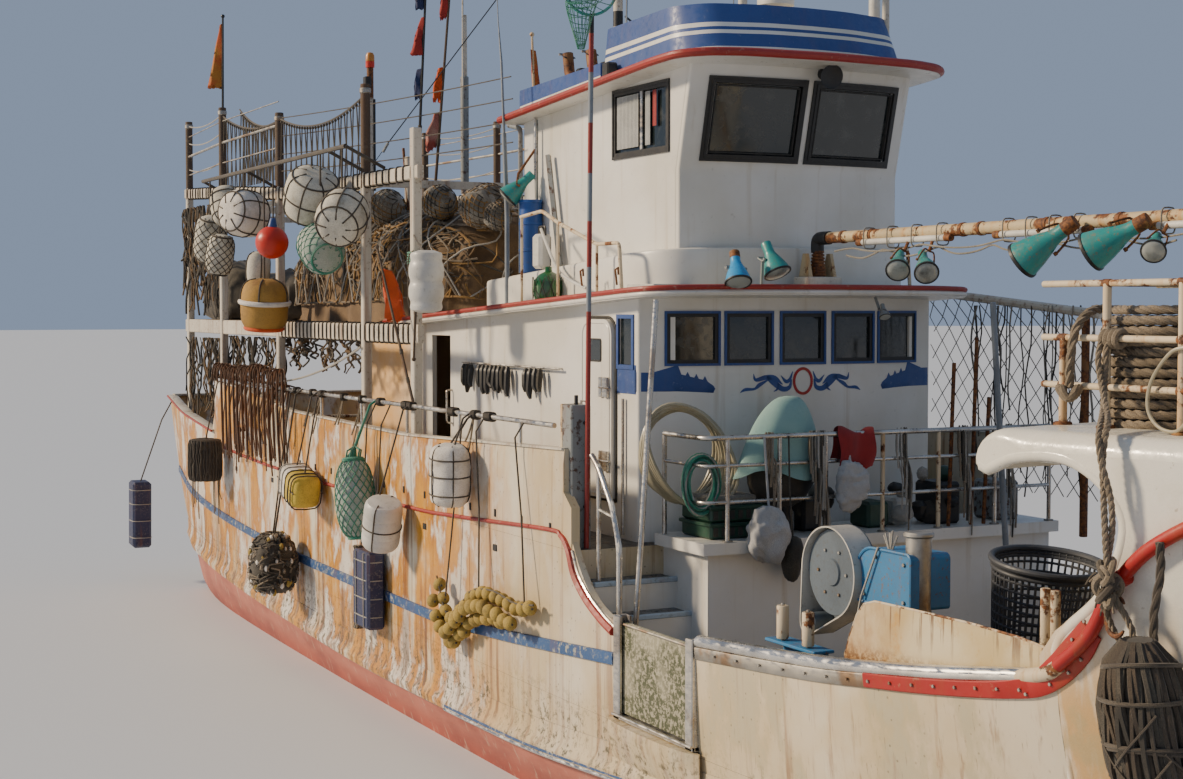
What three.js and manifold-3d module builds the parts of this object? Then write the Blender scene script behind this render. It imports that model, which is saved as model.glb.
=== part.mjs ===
// A 28 m glass-fibre line fishing boat, afloat.
// Millimetres. +X points to the bow, +Y to port, +Z up.
// The origin is amidships, on the centreline, at the waterline.

import * as THREE from 'three';
import { mergeVertices } from 'three/addons/utils/BufferGeometryUtils.js';
import Module from 'manifold-3d';

const wasm = await Module();
wasm.setup();

// Driving dimensions
const WELL_DECK = 1150;
const MAIN_DECK = 2600;
const WHALEBACK = 4120;
const WELL_AFT = 3450;
const WELL_FORE = 10400;
const HALF_BEAM = 2600;
const BULWARK = 90;
const WALL = 60;
const GAP = 0.5;
const RUNNING = 8;
const HOUSE_HALF = 1750;
const HOUSE_AFT = -4500;
const HOUSE_FORE = 3200;
const BRIDGE_HALF = 1300;
const BRIDGE_AFT = -400;
const GATE_AFT = 4420;
const GATE_FORE = 5730;
const GATE_SILL = 1200;
const GATE_TOP = 2080;
const SHAFT_Z = -1330;
const PROPELLER_X = -10600;
const RUDDER_X = -11500;
const BOOM_Z = 5580;
const FOREMAST_X = 11000;

// Heights that rise a little towards the bow
const roofTop = (x) => 4910 + 0.05 * x;
const roofUnder = (x) => roofTop(x) - 90;
const tierTop = (x) => 5275 + 0.064 * x;
const visorTop = (x) => 7140 + 0.0558 * x;
const visorUnder = (x) => visorTop(x) - 80;

// Hull stations. u is a station's x at the well deck, and a station leans by lean (x per z).
// The other columns are half breadths: garboard, bilge, waterline, rail, deck, upper, top.
const STATIONS = [
  { u: -12900, lean: -0.5, keel: -150, half: [60, 1200, 1850, 2060, 2150, 2200, 2250, 2250], rail: 920 },
  { u: -11500, lean: -0.3, keel: -400, half: [60, 1200, 1950, 2250, 2380, 2410, 2430, 2430], rail: 850 },
  { u: -9500, lean: -0.1, keel: -800, half: [60, 1200, 2050, 2350, 2500, 2520, 2540, 2540], rail: 740 },
  { u: -6000, lean: 0, keel: -1350, half: [60, 1200, 2100, 2420, 2560, 2580, 2600, 2600], rail: 610 },
  { u: -2000, lean: 0, keel: -1600, half: [60, 1200, 2150, 2450, 2580, 2600, 2600, 2600], rail: 520 },
  { u: 2000, lean: 0, keel: -1600, half: [60, 1150, 2100, 2430, 2580, 2600, 2600, 2600], rail: 570 },
  { u: 5000, lean: 0.05, keel: -1550, half: [60, 1000, 1900, 2310, 2530, 2570, 2600, 2600], rail: 730 },
  { u: 7500, lean: 0.12, keel: -1450, half: [60, 750, 1500, 2020, 2380, 2440, 2560, 2600], rail: 860 },
  { u: 9400, lean: 0.2, keel: -1280, half: [60, 450, 1000, 1500, 1960, 2060, 2300, 2430], rail: 950 },
  { u: 10700, lean: 0.32, keel: -1000, half: [60, 250, 600, 950, 1350, 1480, 1850, 2100], rail: 1000 },
  { u: 11600, lean: 0.42, keel: -600, half: [60, 120, 280, 480, 760, 850, 1200, 1450], rail: 1020 },
  { u: 12150, lean: 0.5, keel: -150, half: [60, 62, 66, 70, 76, 80, 90, 110], rail: 1040 },
];

// The heights of a station's points, from the keel up to the top of the bow
const levelsOf = (station) => [
  station.keel, station.keel * 0.9, station.keel * 0.5, 150, station.rail, WELL_DECK, MAIN_DECK, 5000,
];

const stationX = (station, z) => station.u + station.lean * (z - WELL_DECK);

function stationHalf(station, z) {
  const levels = levelsOf(station);
  let row = 1;
  while (row < levels.length - 1 && z > levels[row]) row += 1;
  const share = (z - levels[row - 1]) / (levels[row] - levels[row - 1]);
  return station.half[row - 1] + share * (station.half[row] - station.half[row - 1]);
}

// The hull side's half breadth at a place and height
function sideAt(x, z) {
  let next = 1;
  while (next < STATIONS.length - 1 && x > stationX(STATIONS[next], z)) next += 1;
  const [aft, fore] = [STATIONS[next - 1], STATIONS[next]];
  const share = (x - stationX(aft, z)) / (stationX(fore, z) - stationX(aft, z));
  return stationHalf(aft, z) + share * (stationHalf(fore, z) - stationHalf(aft, z));
}

// A height or width read from a short table of [place, value] pairs
function readTable(table, x) {
  let next = 1;
  while (next < table.length - 1 && x > table[next][0]) next += 1;
  const [[x0, v0], [x1, v1]] = [table[next - 1], table[next]];
  return v0 + ((x - x0) / (x1 - x0)) * (v1 - v0);
}

// Solids

function solidOf(geometry) {
  const bare = geometry.index ? geometry.toNonIndexed() : geometry.clone();
  bare.deleteAttribute('normal');
  bare.deleteAttribute('uv');
  const merged = mergeVertices(bare, 0.001);
  return new wasm.Manifold(new wasm.Mesh({
    numProp: 3,
    vertProperties: new Float32Array(merged.attributes.position.array),
    triVerts: new Uint32Array(merged.index.array),
  }));
}

// A body through rings of points, each ring with the same number of points
function loft(rings) {
  const count = rings[0].length;
  const triangles = [];
  for (let ring = 0; ring < rings.length - 1; ring += 1) {
    for (let i = 0; i < count; i += 1) {
      const a = ring * count + i;
      const b = ring * count + ((i + 1) % count);
      triangles.push([a, b, b + count], [a, b + count, a + count]);
    }
  }
  const last = (rings.length - 1) * count;
  for (const [a, b, c] of capOf(rings[0])) triangles.push([c, b, a]);
  for (const [a, b, c] of capOf(rings[rings.length - 1])) triangles.push([a + last, b + last, c + last]);
  const points = rings.flat();
  const volume = triangles.reduce((sum, [a, b, c]) => sum + volumeTerm(points[a], points[b], points[c]), 0);
  const inwards = volume < 0;
  const index = triangles.flatMap(([a, b, c]) => (inwards ? [a, c, b] : [a, b, c]));
  const geometry = new THREE.BufferGeometry();
  geometry.setAttribute('position', new THREE.Float32BufferAttribute(points.flat(), 3));
  geometry.setIndex(index);
  return solidOf(geometry);
}

const volumeTerm = (a, b, c) => {
  const across = new THREE.Vector3(...b).cross(new THREE.Vector3(...c));
  return across.dot(new THREE.Vector3(...a));
};

// The triangles that close a flat ring, turned as the ring is
function capOf(ring) {
  const normal = new THREE.Vector3();
  ring.forEach((p, i) => {
    const q = ring[(i + 1) % ring.length];
    normal.add(new THREE.Vector3(...p).cross(new THREE.Vector3(...q)));
  });
  const sizes = [Math.abs(normal.x), Math.abs(normal.y), Math.abs(normal.z)];
  const drop = sizes.indexOf(Math.max(...sizes));
  const flat = ring.map((p) => new THREE.Vector2(p[(drop + 1) % 3], p[(drop + 2) % 3]));
  const faces = THREE.ShapeUtils.triangulateShape(flat, []);
  const positive = normal.getComponent(drop) > 0;
  return faces.map(([a, b, c]) => {
    const turn = (flat[b].x - flat[a].x) * (flat[c].y - flat[a].y)
      - (flat[c].x - flat[a].x) * (flat[b].y - flat[a].y);
    return (turn > 0) === positive ? [a, b, c] : [a, c, b];
  });
}

function box([x0, x1], [y0, y1], [z0, z1]) {
  const geometry = new THREE.BoxGeometry(x1 - x0, y1 - y0, z1 - z0);
  geometry.translate((x0 + x1) / 2, (y0 + y1) / 2, (z0 + z1) / 2);
  return solidOf(geometry);
}

// A round bar from one point to another
function bar(from, to, radius, sides = 8, endRadius = radius) {
  const start = new THREE.Vector3(...from);
  const end = new THREE.Vector3(...to);
  const geometry = new THREE.CylinderGeometry(endRadius, radius, start.distanceTo(end), sides);
  const up = new THREE.Vector3(0, 1, 0);
  geometry.applyQuaternion(new THREE.Quaternion().setFromUnitVectors(up, end.clone().sub(start).normalize()));
  geometry.translate(...start.clone().add(end).multiplyScalar(0.5));
  return solidOf(geometry);
}

// Bars one after the other, with a ball at each bend
function pipe(points, radius, sides = 8) {
  const solids = points.slice(1).map((point, i) => bar(points[i], point, radius, sides));
  for (const point of points.slice(1, -1)) solids.push(ball(point, radius, 6, 4));
  return join(solids);
}

function ball(centre, radius, across = 10, down = 6, scale = [1, 1, 1]) {
  const geometry = new THREE.SphereGeometry(radius, across, down);
  geometry.rotateX(Math.PI / 2);
  geometry.scale(...scale);
  geometry.translate(...centre);
  return solidOf(geometry);
}

// A round body about an axis through its middle, from a profile of [radius, place along the axis] pairs
function turned(profile, centre, axis, sides = 12) {
  const points = profile.map(([radius, along]) => new THREE.Vector2(radius, along));
  const geometry = new THREE.LatheGeometry(points, sides);
  const up = new THREE.Vector3(0, 1, 0);
  const along = new THREE.Vector3(...axis).normalize();
  geometry.applyQuaternion(new THREE.Quaternion().setFromUnitVectors(up, along));
  geometry.translate(...centre);
  return solidOf(geometry);
}

// A drum with chamfered ends
function drum(centre, axis, radius, half, sides = 12) {
  const flat = radius * 0.65;
  const edge = half - radius * 0.35;
  const profile = [[0, -half], [flat, -half], [radius, -edge], [radius, edge], [flat, half], [0, half]];
  return turned(profile, centre, axis, sides);
}

// A point on the straight line between two points
const between = (from, to, share) => from.map((value, i) => value + share * (to[i] - value));

// A floodlamp: its long neck, the bowl that opens to the mouth, and the stem that carries it
function floodlamp({ neck, mouth, radius, foot }) {
  const waist = between(neck, mouth, 0.62);
  return join([
    bar(neck, mouth, radius * 0.38, 8),
    bar(waist, mouth, radius * 0.5, 12, radius),
    bar(between(neck, mouth, 0.4), foot, 14, 6),
  ]);
}

// A flat outline in x and z, as thick as the y range
function prism(outline, [y0, y1]) {
  return loft([outline.map(([x, z]) => [x, y0, z]), outline.map(([x, z]) => [x, y1, z])]);
}

// A flat outline in x and y, as tall as the z range
function slab(outline, [z0, z1]) {
  return loft([outline.map(([x, y]) => [x, y, z0]), outline.map(([x, y]) => [x, y, z1])]);
}

const join = (solids) => solids.slice(1).reduce((sum, solid) => sum.add(solid), solids[0]);
const cut = (solid, ...cutters) => cutters.reduce((rest, cutter) => rest.subtract(cutter), solid);
const mirror = (outline) => [...outline, ...outline.map(([x, y]) => [x, -y]).reverse()];

// Materials
function finish(color, roughness, metalness = 0) {
  return new THREE.MeshStandardMaterial({ color, roughness, metalness });
}
const MATERIALS = {
  topside: finish(0xd8cdb0, 0.55),
  bottom: finish(0xa8483a, 0.7),
  gelcoat: finish(0xd9d6cc, 0.5),
  red: finish(0xa02c26, 0.5),
  steel: finish(0xb3b1aa, 0.35, 0.9),
  rusty: finish(0x8a5a35, 0.85, 0.3),
  bronze: finish(0x9a7440, 0.4, 0.9),
  blue: finish(0x3a6a94, 0.6),
  rubber: finish(0x2b2a28, 0.9),
  foam: finish(0xd6d2c0, 0.8),
  net: finish(0x7a5c38, 0.95),
  glass: finish(0x1b2226, 0.1),
};

const boat = new THREE.Group();

function place(name, material, solid, position = [0, 0, 0]) {
  const { vertProperties, triVerts } = solid.getMesh();
  const geometry = new THREE.BufferGeometry();
  geometry.setAttribute('position', new THREE.BufferAttribute(new Float32Array(vertProperties), 3));
  geometry.setIndex(new THREE.BufferAttribute(new Uint32Array(triVerts), 1));
  geometry.computeVertexNormals();
  const mesh = new THREE.Mesh(geometry, MATERIALS[material]);
  mesh.name = name;
  mesh.position.set(...position);
  boat.add(mesh);
}

// Hull

// A ring round the hull at one station, between two of its levels
function hullRing(station, heights) {
  const side = heights.map((z) => [stationX(station, z), -stationHalf(station, z), z]);
  return [...side, ...side.map(([x, y, z]) => [x, -y, z]).reverse()];
}

const hull = loft(STATIONS.map((station) => hullRing(station, levelsOf(station).slice(0, 6))));

const upperRings = STATIONS.map((station) => hullRing(station, [WELL_DECK + GAP, MAIN_DECK]));

// A pair of mooring bitts with their cross bar, on a deck
const BITT = 160;
const bitts = (x, half, deck, high) => join([
  box([x, x + BITT], [half, half + BITT], [deck - 60, deck + high]),
  box([x, x + BITT], [-half - BITT, -half], [deck - 60, deck + high]),
  box([x + 50, x + 110], [-half - 2 * BITT, half + 2 * BITT], [deck + high * 0.6, deck + high * 0.6 + 60]),
]);

const afterBody = join([
  cut(loft(upperRings), box([WELL_AFT, 20000], [-4000, 4000], [0, 9000])),
  bitts(-13300, 1300, MAIN_DECK, 430),
]);

const BOW_LEVELS = [WELL_DECK + GAP, MAIN_DECK, WHALEBACK];
const bowRings = STATIONS.slice(6).map((station) => hullRing(station, BOW_LEVELS));

// The after edge of the forecastle: the whaleback's lip and the hollow curve below it
const LIP = [
  [9480, WHALEBACK + 5], [9330, 4030], [9260, 3900], [9330, 3850], [9600, 3950], [9990, 3960],
  [10280, 3800], [10390, 3550], [10200, 3130], [9900, 2850], [9820, 2720],
];
const LIP_CUT = [[0, WHALEBACK + 5], ...LIP, [9820, 0], [0, 0]];

// The space under the lip, inside the bulwarks
const UNDER_LIP = [[0, -2200], ...[9800, WELL_FORE].map((x) => [x, BULWARK - sideAt(x, WELL_DECK)])];

const forecastle = join([
  cut(
    loft(bowRings),
    prism(LIP_CUT, [-4000, 4000]),
    slab(mirror(UNDER_LIP), [0, 3860]),
  ),
  bitts(12850, 250, WHALEBACK, 430),
]);

place('hull', 'bottom', hull);
place('raised_afterbody', 'topside', afterBody);
place('forecastle', 'gelcoat', forecastle);

// Keel with the stern tube, and the heel under the rudder
const KEEL_OUTLINE = [
  [9000, -1250], [9300, -1500], [8700, -1900], [8100, -2100], [-11950, -2100], [-11950, -2000],
  [-10180, -2000], [-10000, -1400], [-9950, -780], [-9500, -700], [-6000, -1250], [-2000, -1500], [5000, -1450],
];
const keel = cut(
  join([
    prism(KEEL_OUTLINE, [-90, 90]),
    bar([-8200, 0, SHAFT_Z], [-10160, 0, SHAFT_Z], 150, 12),
  ]),
  hull,
  hull.translate([0, 0, -GAP]),
);
place('keel', 'bottom', keel);

const PROPELLER_TIP = 600;
const propellerBlade = (turn) => {
  const geometry = new THREE.BoxGeometry(60, 330, PROPELLER_TIP - 60);
  geometry.translate(0, 0, PROPELLER_TIP / 2 + 30);
  geometry.rotateZ(0.6);
  geometry.rotateX(turn);
  geometry.translate(PROPELLER_X, 0, SHAFT_Z);
  return solidOf(geometry);
};
place('propeller', 'bronze', join([
  bar([PROPELLER_X + 160, 0, SHAFT_Z], [PROPELLER_X - 260, 0, SHAFT_Z], 130, 12, 60),
  bar([PROPELLER_X + 420, 0, SHAFT_Z], [PROPELLER_X + 100, 0, SHAFT_Z], 60, 12),
  ...[0, 1, 2, 3].map((blade) => propellerBlade((blade * Math.PI) / 2)),
]));

const RUDDER_TOP = -540;
place('rudder', 'bottom', join([
  prism([
    [RUDDER_X + 180, -1930], [RUDDER_X + 180, -700], [RUDDER_X + 60, RUDDER_TOP], [RUDDER_X - 620, -580],
    [RUDDER_X - 560, -1930],
  ], [-50, 50]),
  bar([RUDDER_X, 0, -1980], [RUDDER_X, 0, RUDDER_TOP + 80], 60),
]));

// Rub rails, set on the hull's sides at the top of the bottom paint
const RAIL_PROUD = 90;
const RAIL_HALF = 75;
function rubRail(side) {
  const rings = STATIONS.slice(0, -1).map((station) => {
    const point = (z, out) => [stationX(station, z), side * (stationHalf(station, z) + out), z];
    const z = station.rail;
    return [
      point(z - RAIL_HALF, 6), point(z - RAIL_HALF, RAIL_PROUD), point(z + RAIL_HALF - 30, RAIL_PROUD),
      point(z + RAIL_HALF, RAIL_PROUD - 40), point(z + RAIL_HALF, 6), point(z, 6),
    ];
  });
  return cut(loft(rings), hull, hull.translate([0, side, 0]));
}
place('rub_rail_starboard', 'steel', rubRail(-1));
place('rub_rail_port', 'steel', rubRail(1));

// Bulwarks
const AFT_TOP = [
  [-13975, 3300], [-12000, 3080], [-9760, 2920], [-9700, 3720], [-7700, 3680], [-5500, 3470], [-1000, 3420],
  [3290, 3550],
];
const FORE_TOP = [[GATE_FORE + 60, 2080], [7400, 2200], [8600, 2330], [9800, 2500]];

// A plate that stands on a deck along the hull's side
function sidePlate(side, base, tops, thickness = BULWARK) {
  return loft(tops.map(([x, z]) => [
    [x, side * sideAt(x, base), base + GAP],
    [x, side * sideAt(x, z), z],
    [x, side * (sideAt(x, z) - thickness), z],
    [x, side * (sideAt(x, base) - thickness), base + GAP],
  ]));
}

const sternCut = prism([[-16000, 7000], [-15825, 7000], [-12600, 550], [-16000, 550]], [-4000, 4000]);
const SCUPPER_X = [-12000, -10500, -8500, -6500, -4500, -2500, -500, 1500];
const SCUPPER_Z = [MAIN_DECK + 20, MAIN_DECK + 100];
const scuppers = join(SCUPPER_X.map((x) => box([x, x + 320], [-4000, 4000], SCUPPER_Z)));
const aftBulwark = (side) => cut(sidePlate(side, MAIN_DECK, AFT_TOP), sternCut, scuppers);

// A landing net stands on its pole beside the square post that ends the starboard bulwark
const POLE = { foot: [3380, -2400, MAIN_DECK + 5], head: [3490, -2400, 7640], radius: 24 };
const HOOP = { centre: [3490, -2400, 7870], radius: 240, bar: 14, corners: 12 };
const hoopPoint = (corner) => {
  const turn = (corner * 2 * Math.PI) / HOOP.corners;
  const across = HOOP.radius * Math.cos(turn);
  const up = HOOP.radius * Math.sin(turn);
  return [HOOP.centre[0] + 0.6 * across, HOOP.centre[1] + 0.8 * across, HOOP.centre[2] + up];
};
const hoopCorners = Array.from({ length: HOOP.corners }, (unused, corner) => corner);
const landingNet = join([
  bar(POLE.foot, POLE.head, POLE.radius),
  ...hoopCorners.map((corner) => bar(hoopPoint(corner), hoopPoint(corner + 1), HOOP.bar, 6)),
  ...hoopCorners.map((corner) => ball(hoopPoint(corner), HOOP.bar, 6, 4)),
]);
const cornerPost = join([
  box([3120, 3340], [-2540, -2330], [MAIN_DECK + GAP, 3970]),
  bar([3300, -2400, 3800], [3400, -2400, 3800], 16, 6),
  bar([3300, -2400, 3000], [3390, -2400, 3000], 16, 6),
]);
place('bulwark_aft_starboard', 'topside', join([aftBulwark(-1), cornerPost, landingNet]));
place('bulwark_aft_port', 'topside', aftBulwark(1));

const transomX = (z) => -12900 - 0.5 * (z - WELL_DECK);
place('bulwark_stern', 'topside', join([
  prism([
    [transomX(MAIN_DECK) + 0.3, MAIN_DECK + GAP], [transomX(3300), 3300], [transomX(3300) + BULWARK, 3300],
    [transomX(MAIN_DECK) + BULWARK, MAIN_DECK + GAP],
  ], [-2155, 2155]),
  box([-13820, -13420], [-3050, -2720], [620, 1800]),
  pipe([[-13930, -2130, 3285], [-13930, -2150, 3345], [-13750, -2340, 3345], [-13620, -2880, 1760]], 18, 6),
]));

// The starboard side has the hauling gate, with the bulwark's curve down to it
const GATE_CURVE = [[WELL_AFT + GAP, 2700], [3600, 2480], [3850, 2240], [4100, 2120], [GATE_AFT - 70, 2060]];
const foreStarboard = join([
  sidePlate(-1, WELL_DECK, GATE_CURVE),
  sidePlate(-1, WELL_DECK, [[GATE_AFT - 75, GATE_SILL - 5], [GATE_FORE + 65, GATE_SILL - 5]]),
  sidePlate(-1, WELL_DECK, FORE_TOP),
]);
place('bulwark_fore_starboard', 'topside', foreStarboard);

// The port one carries the pole and the beam from which a net curtain hangs
const NET_POLE = [4800, 2460];
place('bulwark_fore_port', 'topside', join([
  sidePlate(1, WELL_DECK, [...GATE_CURVE.slice(0, 4), [4600, 2060], ...FORE_TOP]),
  bar([...NET_POLE, WELL_DECK + GAP], [...NET_POLE, 4870], 40),
  bar([5010, 2460, 4830], [2010, 2460, 5100], 45, 6),
]));

// Bow bulwark, on the whaleback
const BOW_TOP = [[10900, 4160], [11400, 4560], [12400, 4760], [13300, 4900], [14040, 5000]];
const bowSide = (side) => loft(BOW_TOP.map(([x, z]) => {
  const base = Math.min(x, 13610);
  return [
    [base, side * Math.max(sideAt(base, WHALEBACK), 40), WHALEBACK + GAP],
    [x, side * Math.max(sideAt(x, z), 60), z],
    [x, side * Math.max(sideAt(x, z) - BULWARK, -5), z],
    [base, side * Math.max(sideAt(base, WHALEBACK) - BULWARK, -5), WHALEBACK + GAP],
  ];
}));
const stemX = (z) => stationX(STATIONS[STATIONS.length - 1], z);
const stemPost = prism([
  [stemX(WHALEBACK) - 260, WHALEBACK + GAP], [stemX(WHALEBACK), WHALEBACK + GAP], [stemX(5050), 5050],
  [stemX(5050) - 260, 5000],
], [-85, 85]);
const bulwarkBow = join([bowSide(-1), bowSide(1), stemPost]);
place('bulwark_bow', 'topside', bulwarkBow);

// The rusty splash plate inside the cap rail
const SPLASH_TOP = [[7750, 2420], [8050, 2780], [9000, 2760], [9650, 2700]];
const splashPlate = (grow) => loft(SPLASH_TOP.map(([x, z]) => {
  const foot = readTable(FORE_TOP, x) - 120;
  const y = BULWARK + 1 - sideAt(x, foot);
  return [[x, y - grow, foot], [x, y - grow, z], [x, y + 22, z], [x, y + 22, foot]];
}));
place('splash_plate', 'rusty', cut(splashPlate(0), foreStarboard.translate([0, GAP, 0])));

// The rail that caps the fore bulwark and climbs the forecastle's side to the bow
const CAP = 55;
const CAP_ROUTE = [[GATE_FORE + 70, 2137], [7400, 2257], [8600, 2387], [9700, 2547]];
const CLIMB_ROUTE = [
  [9960, 2640], [10150, 2850], [10350, 3180], [10650, 3480], [11200, 3760], [12000, 4020], [12800, 4260],
  [13500, 4480],
];
function capRail(side) {
  const ring = ([x, z], inset) => [0, 1, 2, 3, 4, 5, 6, 7].map((corner) => {
    const turn = ((corner + 0.5) * Math.PI) / 4;
    return [x, side * (sideAt(x, z) - inset + CAP * Math.cos(turn)), z + CAP * Math.sin(turn)];
  });
  return loft([
    ...CAP_ROUTE.map((point) => ring(point, 35)),
    ...CLIMB_ROUTE.map((point) => ring(point, -CAP - 6)),
  ]);
}
for (const [word, side] of [['starboard', -1], ['port', 1]]) {
  place(`cap_rail_${word}`, 'steel', cut(
    capRail(side), forecastle.translate([0, side, 0]), bulwarkBow.translate([0, side, 0]), splashPlate(1),
  ));
}

// Gate in the starboard bulwark: two channel posts on a sill, and a board that lifts out
const GATE_Y = -HALF_BEAM - 20;
const GATE_DEEP = 130;
function gatePost(x0, x1) {
  return box([x0, x1], [GATE_Y, GATE_Y + GATE_DEEP], [GATE_SILL + 0.5, GATE_TOP + 60]);
}
const GATE_SLOT = [GATE_Y + 40, GATE_Y + 100];
place('gate_frame', 'steel', cut(
  join([
    gatePost(GATE_AFT - 60, GATE_AFT + 60),
    gatePost(GATE_FORE - 60, GATE_FORE + 60),
    box([GATE_AFT - 60, GATE_FORE + 60], [GATE_Y, GATE_Y + GATE_DEEP], [GATE_SILL + 0.5, GATE_SILL + 40]),
  ]),
  box([GATE_AFT + 10, GATE_FORE - 10], GATE_SLOT, [GATE_SILL + 50, 5000]),
));
place('gate_board', 'topside', box(
  [GATE_AFT + 10 + RUNNING, GATE_FORE - 10 - RUNNING],
  [GATE_SLOT[0] + RUNNING, GATE_SLOT[1] - RUNNING],
  [GATE_SILL + 58, GATE_TOP],
));

// Platform before the deckhouse, with the steps down to the well deck
const PLATFORM_FORE = 4400;
const STEP_COUNT = 4;
const STEP_RUN = 270;
const STEP_RISE = (MAIN_DECK - WELL_DECK) / (STEP_COUNT + 1);
const SECOND_STEP = WELL_DECK + STEP_RISE;
const HANDRAIL = [
  [4100, -2420, SECOND_STEP], [4100, -2420, 2700], [3960, -2420, 3060], [3640, -2400, 3400],
  [3480, -2390, 3500],
];
const LEANING_POLE = [[4180, -2330, SECOND_STEP], [4060, -2020, 4960]];
place('platform', 'gelcoat', join([
  box([WELL_AFT + GAP, PLATFORM_FORE - 100], [-1600, 2450], [WELL_DECK + GAP, MAIN_DECK + 20]),
  box([WELL_AFT + GAP, PLATFORM_FORE], [-1700, 2490], [MAIN_DECK + 10, MAIN_DECK + 120]),
  ...Array.from({ length: STEP_COUNT }, (unused, step) => box(
    [WELL_AFT + GAP, WELL_AFT + STEP_RUN * (STEP_COUNT - step)],
    [-2480, -1590],
    [WELL_DECK + GAP, WELL_DECK + STEP_RISE * (step + 1)],
  )),
  pipe(HANDRAIL, 26),
  bar([3640, -2400, MAIN_DECK - 300], [3640, -2400, 3400], 20, 6),
  bar(...LEANING_POLE, 24),
]));

const PLATFORM_TOP = MAIN_DECK + 120;
const PLATFORM_POSTS = [-1650, -1000, -330, 330, 1000, 1700, 2400];
const railX = PLATFORM_FORE - 50;
place('platform_railing', 'steel', join([
  ...PLATFORM_POSTS.map((y) => bar([railX, y, PLATFORM_TOP + GAP], [railX, y, 3690], 22)),
  bar([railX, -1672, 3690], [railX, 2422, 3690], 24),
  bar([railX, -1650, 3430], [railX, 2400, 3430], 18),
  bar([railX, -1650, 3090], [railX, 2400, 3090], 18),
  bar([railX, -1650, 3690], [3560, -1650, 3690], 24),
  bar([3560, -1650, PLATFORM_TOP + GAP], [3560, -1650, 3712], 22),
]));

// Deckhouse: a bowed front, two sides, a back and the roof
const FRONT_COLUMNS = [
  [-HOUSE_HALF, 3200], [-1480, 3300], [-870, 3400], [0, 3440], [870, 3400], [1480, 3300], [HOUSE_HALF, 3200],
];
const HOUSE_WINDOW_Z = [4350, 4840];
const FRONT_WINDOWS = [[-1480, -960], [-870, -370], [-250, 250], [370, 870], [960, 1480]];
const houseFront = cut(
  loft(FRONT_COLUMNS.map(([y, x]) => {
    const top = roofUnder(x - WALL) - GAP;
    return [[x, y, MAIN_DECK + GAP], [x, y, top], [x - WALL, y, top], [x - WALL, y, MAIN_DECK + GAP]];
  })),
  ...FRONT_WINDOWS.map((across) => box([3000, 3600], across, HOUSE_WINDOW_Z)),
);
place('deckhouse_front', 'gelcoat', houseFront);

const DOOR_X = [2060, 2720];
const DOOR_Z = [3000, 4760];
const AFT_DOORWAY_X = [-2250, -1650];
const sideEnd = HOUSE_FORE - WALL - GAP;
function houseSide(side) {
  const across = side < 0 ? [-HOUSE_HALF, -HOUSE_HALF + WALL] : [HOUSE_HALF - WALL, HOUSE_HALF];
  const wall = prism([
    [HOUSE_AFT, MAIN_DECK + GAP], [sideEnd, MAIN_DECK + GAP], [sideEnd, roofUnder(sideEnd) - GAP],
    [HOUSE_AFT, roofUnder(HOUSE_AFT) - GAP],
  ], across);
  const through = [across[0] - 10, across[1] + 10];
  return cut(
    wall,
    box(DOOR_X, through, DOOR_Z),
    box([2800, 3080], through, [4330, 4790]),
    box(AFT_DOORWAY_X, through, [3000, 4560]),
  );
}
place('deckhouse_side_starboard', 'gelcoat', houseSide(-1));
place('deckhouse_side_port', 'gelcoat', houseSide(1));
place('deckhouse_back', 'gelcoat', box(
  [HOUSE_AFT - WALL - GAP, HOUSE_AFT - GAP], [-HOUSE_HALF, HOUSE_HALF],
  [MAIN_DECK + GAP, roofUnder(HOUSE_AFT - WALL) - GAP],
));

const ROOF_COLUMNS = [[-4650, 1950], [3500, 1950], [3780, 1850], [3920, 1300], [3970, 650]];
const plateRing = ([x, half], under, top) => [
  [x, -half, under(x)], [x, -half, top(x)], [x, half, top(x)], [x, half, under(x)],
];
const ROOF_LAMPS = [
  { neck: [3860, -1060, 5430], mouth: [4020, -1110, 5130], radius: 130, foot: [3780, -1080, 5060] },
  { neck: [3860, -710, 5520], mouth: [4020, -670, 5220], radius: 135, foot: [3780, -700, 5060] },
];
place('deckhouse_roof', 'gelcoat', join([
  loft(ROOF_COLUMNS.map((column) => plateRing(column, roofUnder, roofTop))),
  ...ROOF_LAMPS.map(floodlamp),
]));

// The low tier that carries the wheelhouse
const TIER_COLUMNS = [[-870, 1600], [2900, 1600], [3250, 1350], [3450, 850]];
const onRoof = (x) => roofTop(x) + GAP;
place('wheelhouse_base', 'gelcoat', loft(TIER_COLUMNS.map((column) => plateRing(column, onRoof, tierTop))));

// Wheelhouse: its front stands to the knuckle and leans forward above it
const KNUCKLE_Z = 6250;
const FRONT_LEAN = 250;
const onTier = (x) => tierTop(x) + GAP;
const underVisor = (x) => visorUnder(x) - GAP;
const BRIDGE_COLUMNS = [
  [-BRIDGE_HALF, 3200], [-900, 3290], [0, 3340], [900, 3290], [BRIDGE_HALF, 3200],
];
const BRIDGE_WINDOW_Z = [6370, 7110];
const bridgeFront = cut(
  loft(BRIDGE_COLUMNS.map(([y, x]) => {
    const top = x + FRONT_LEAN;
    const high = underVisor(top - WALL);
    return [
      [x, y, onTier(x)], [x, y, KNUCKLE_Z], [top, y, high],
      [top - WALL, y, high], [x - WALL, y, KNUCKLE_Z], [x - WALL, y, onTier(x)],
    ];
  })),
  box([3000, 3800], [-1080, -70], BRIDGE_WINDOW_Z),
  box([3000, 3800], [70, 1080], BRIDGE_WINDOW_Z),
);
place('wheelhouse_front', 'gelcoat', bridgeFront);

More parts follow.
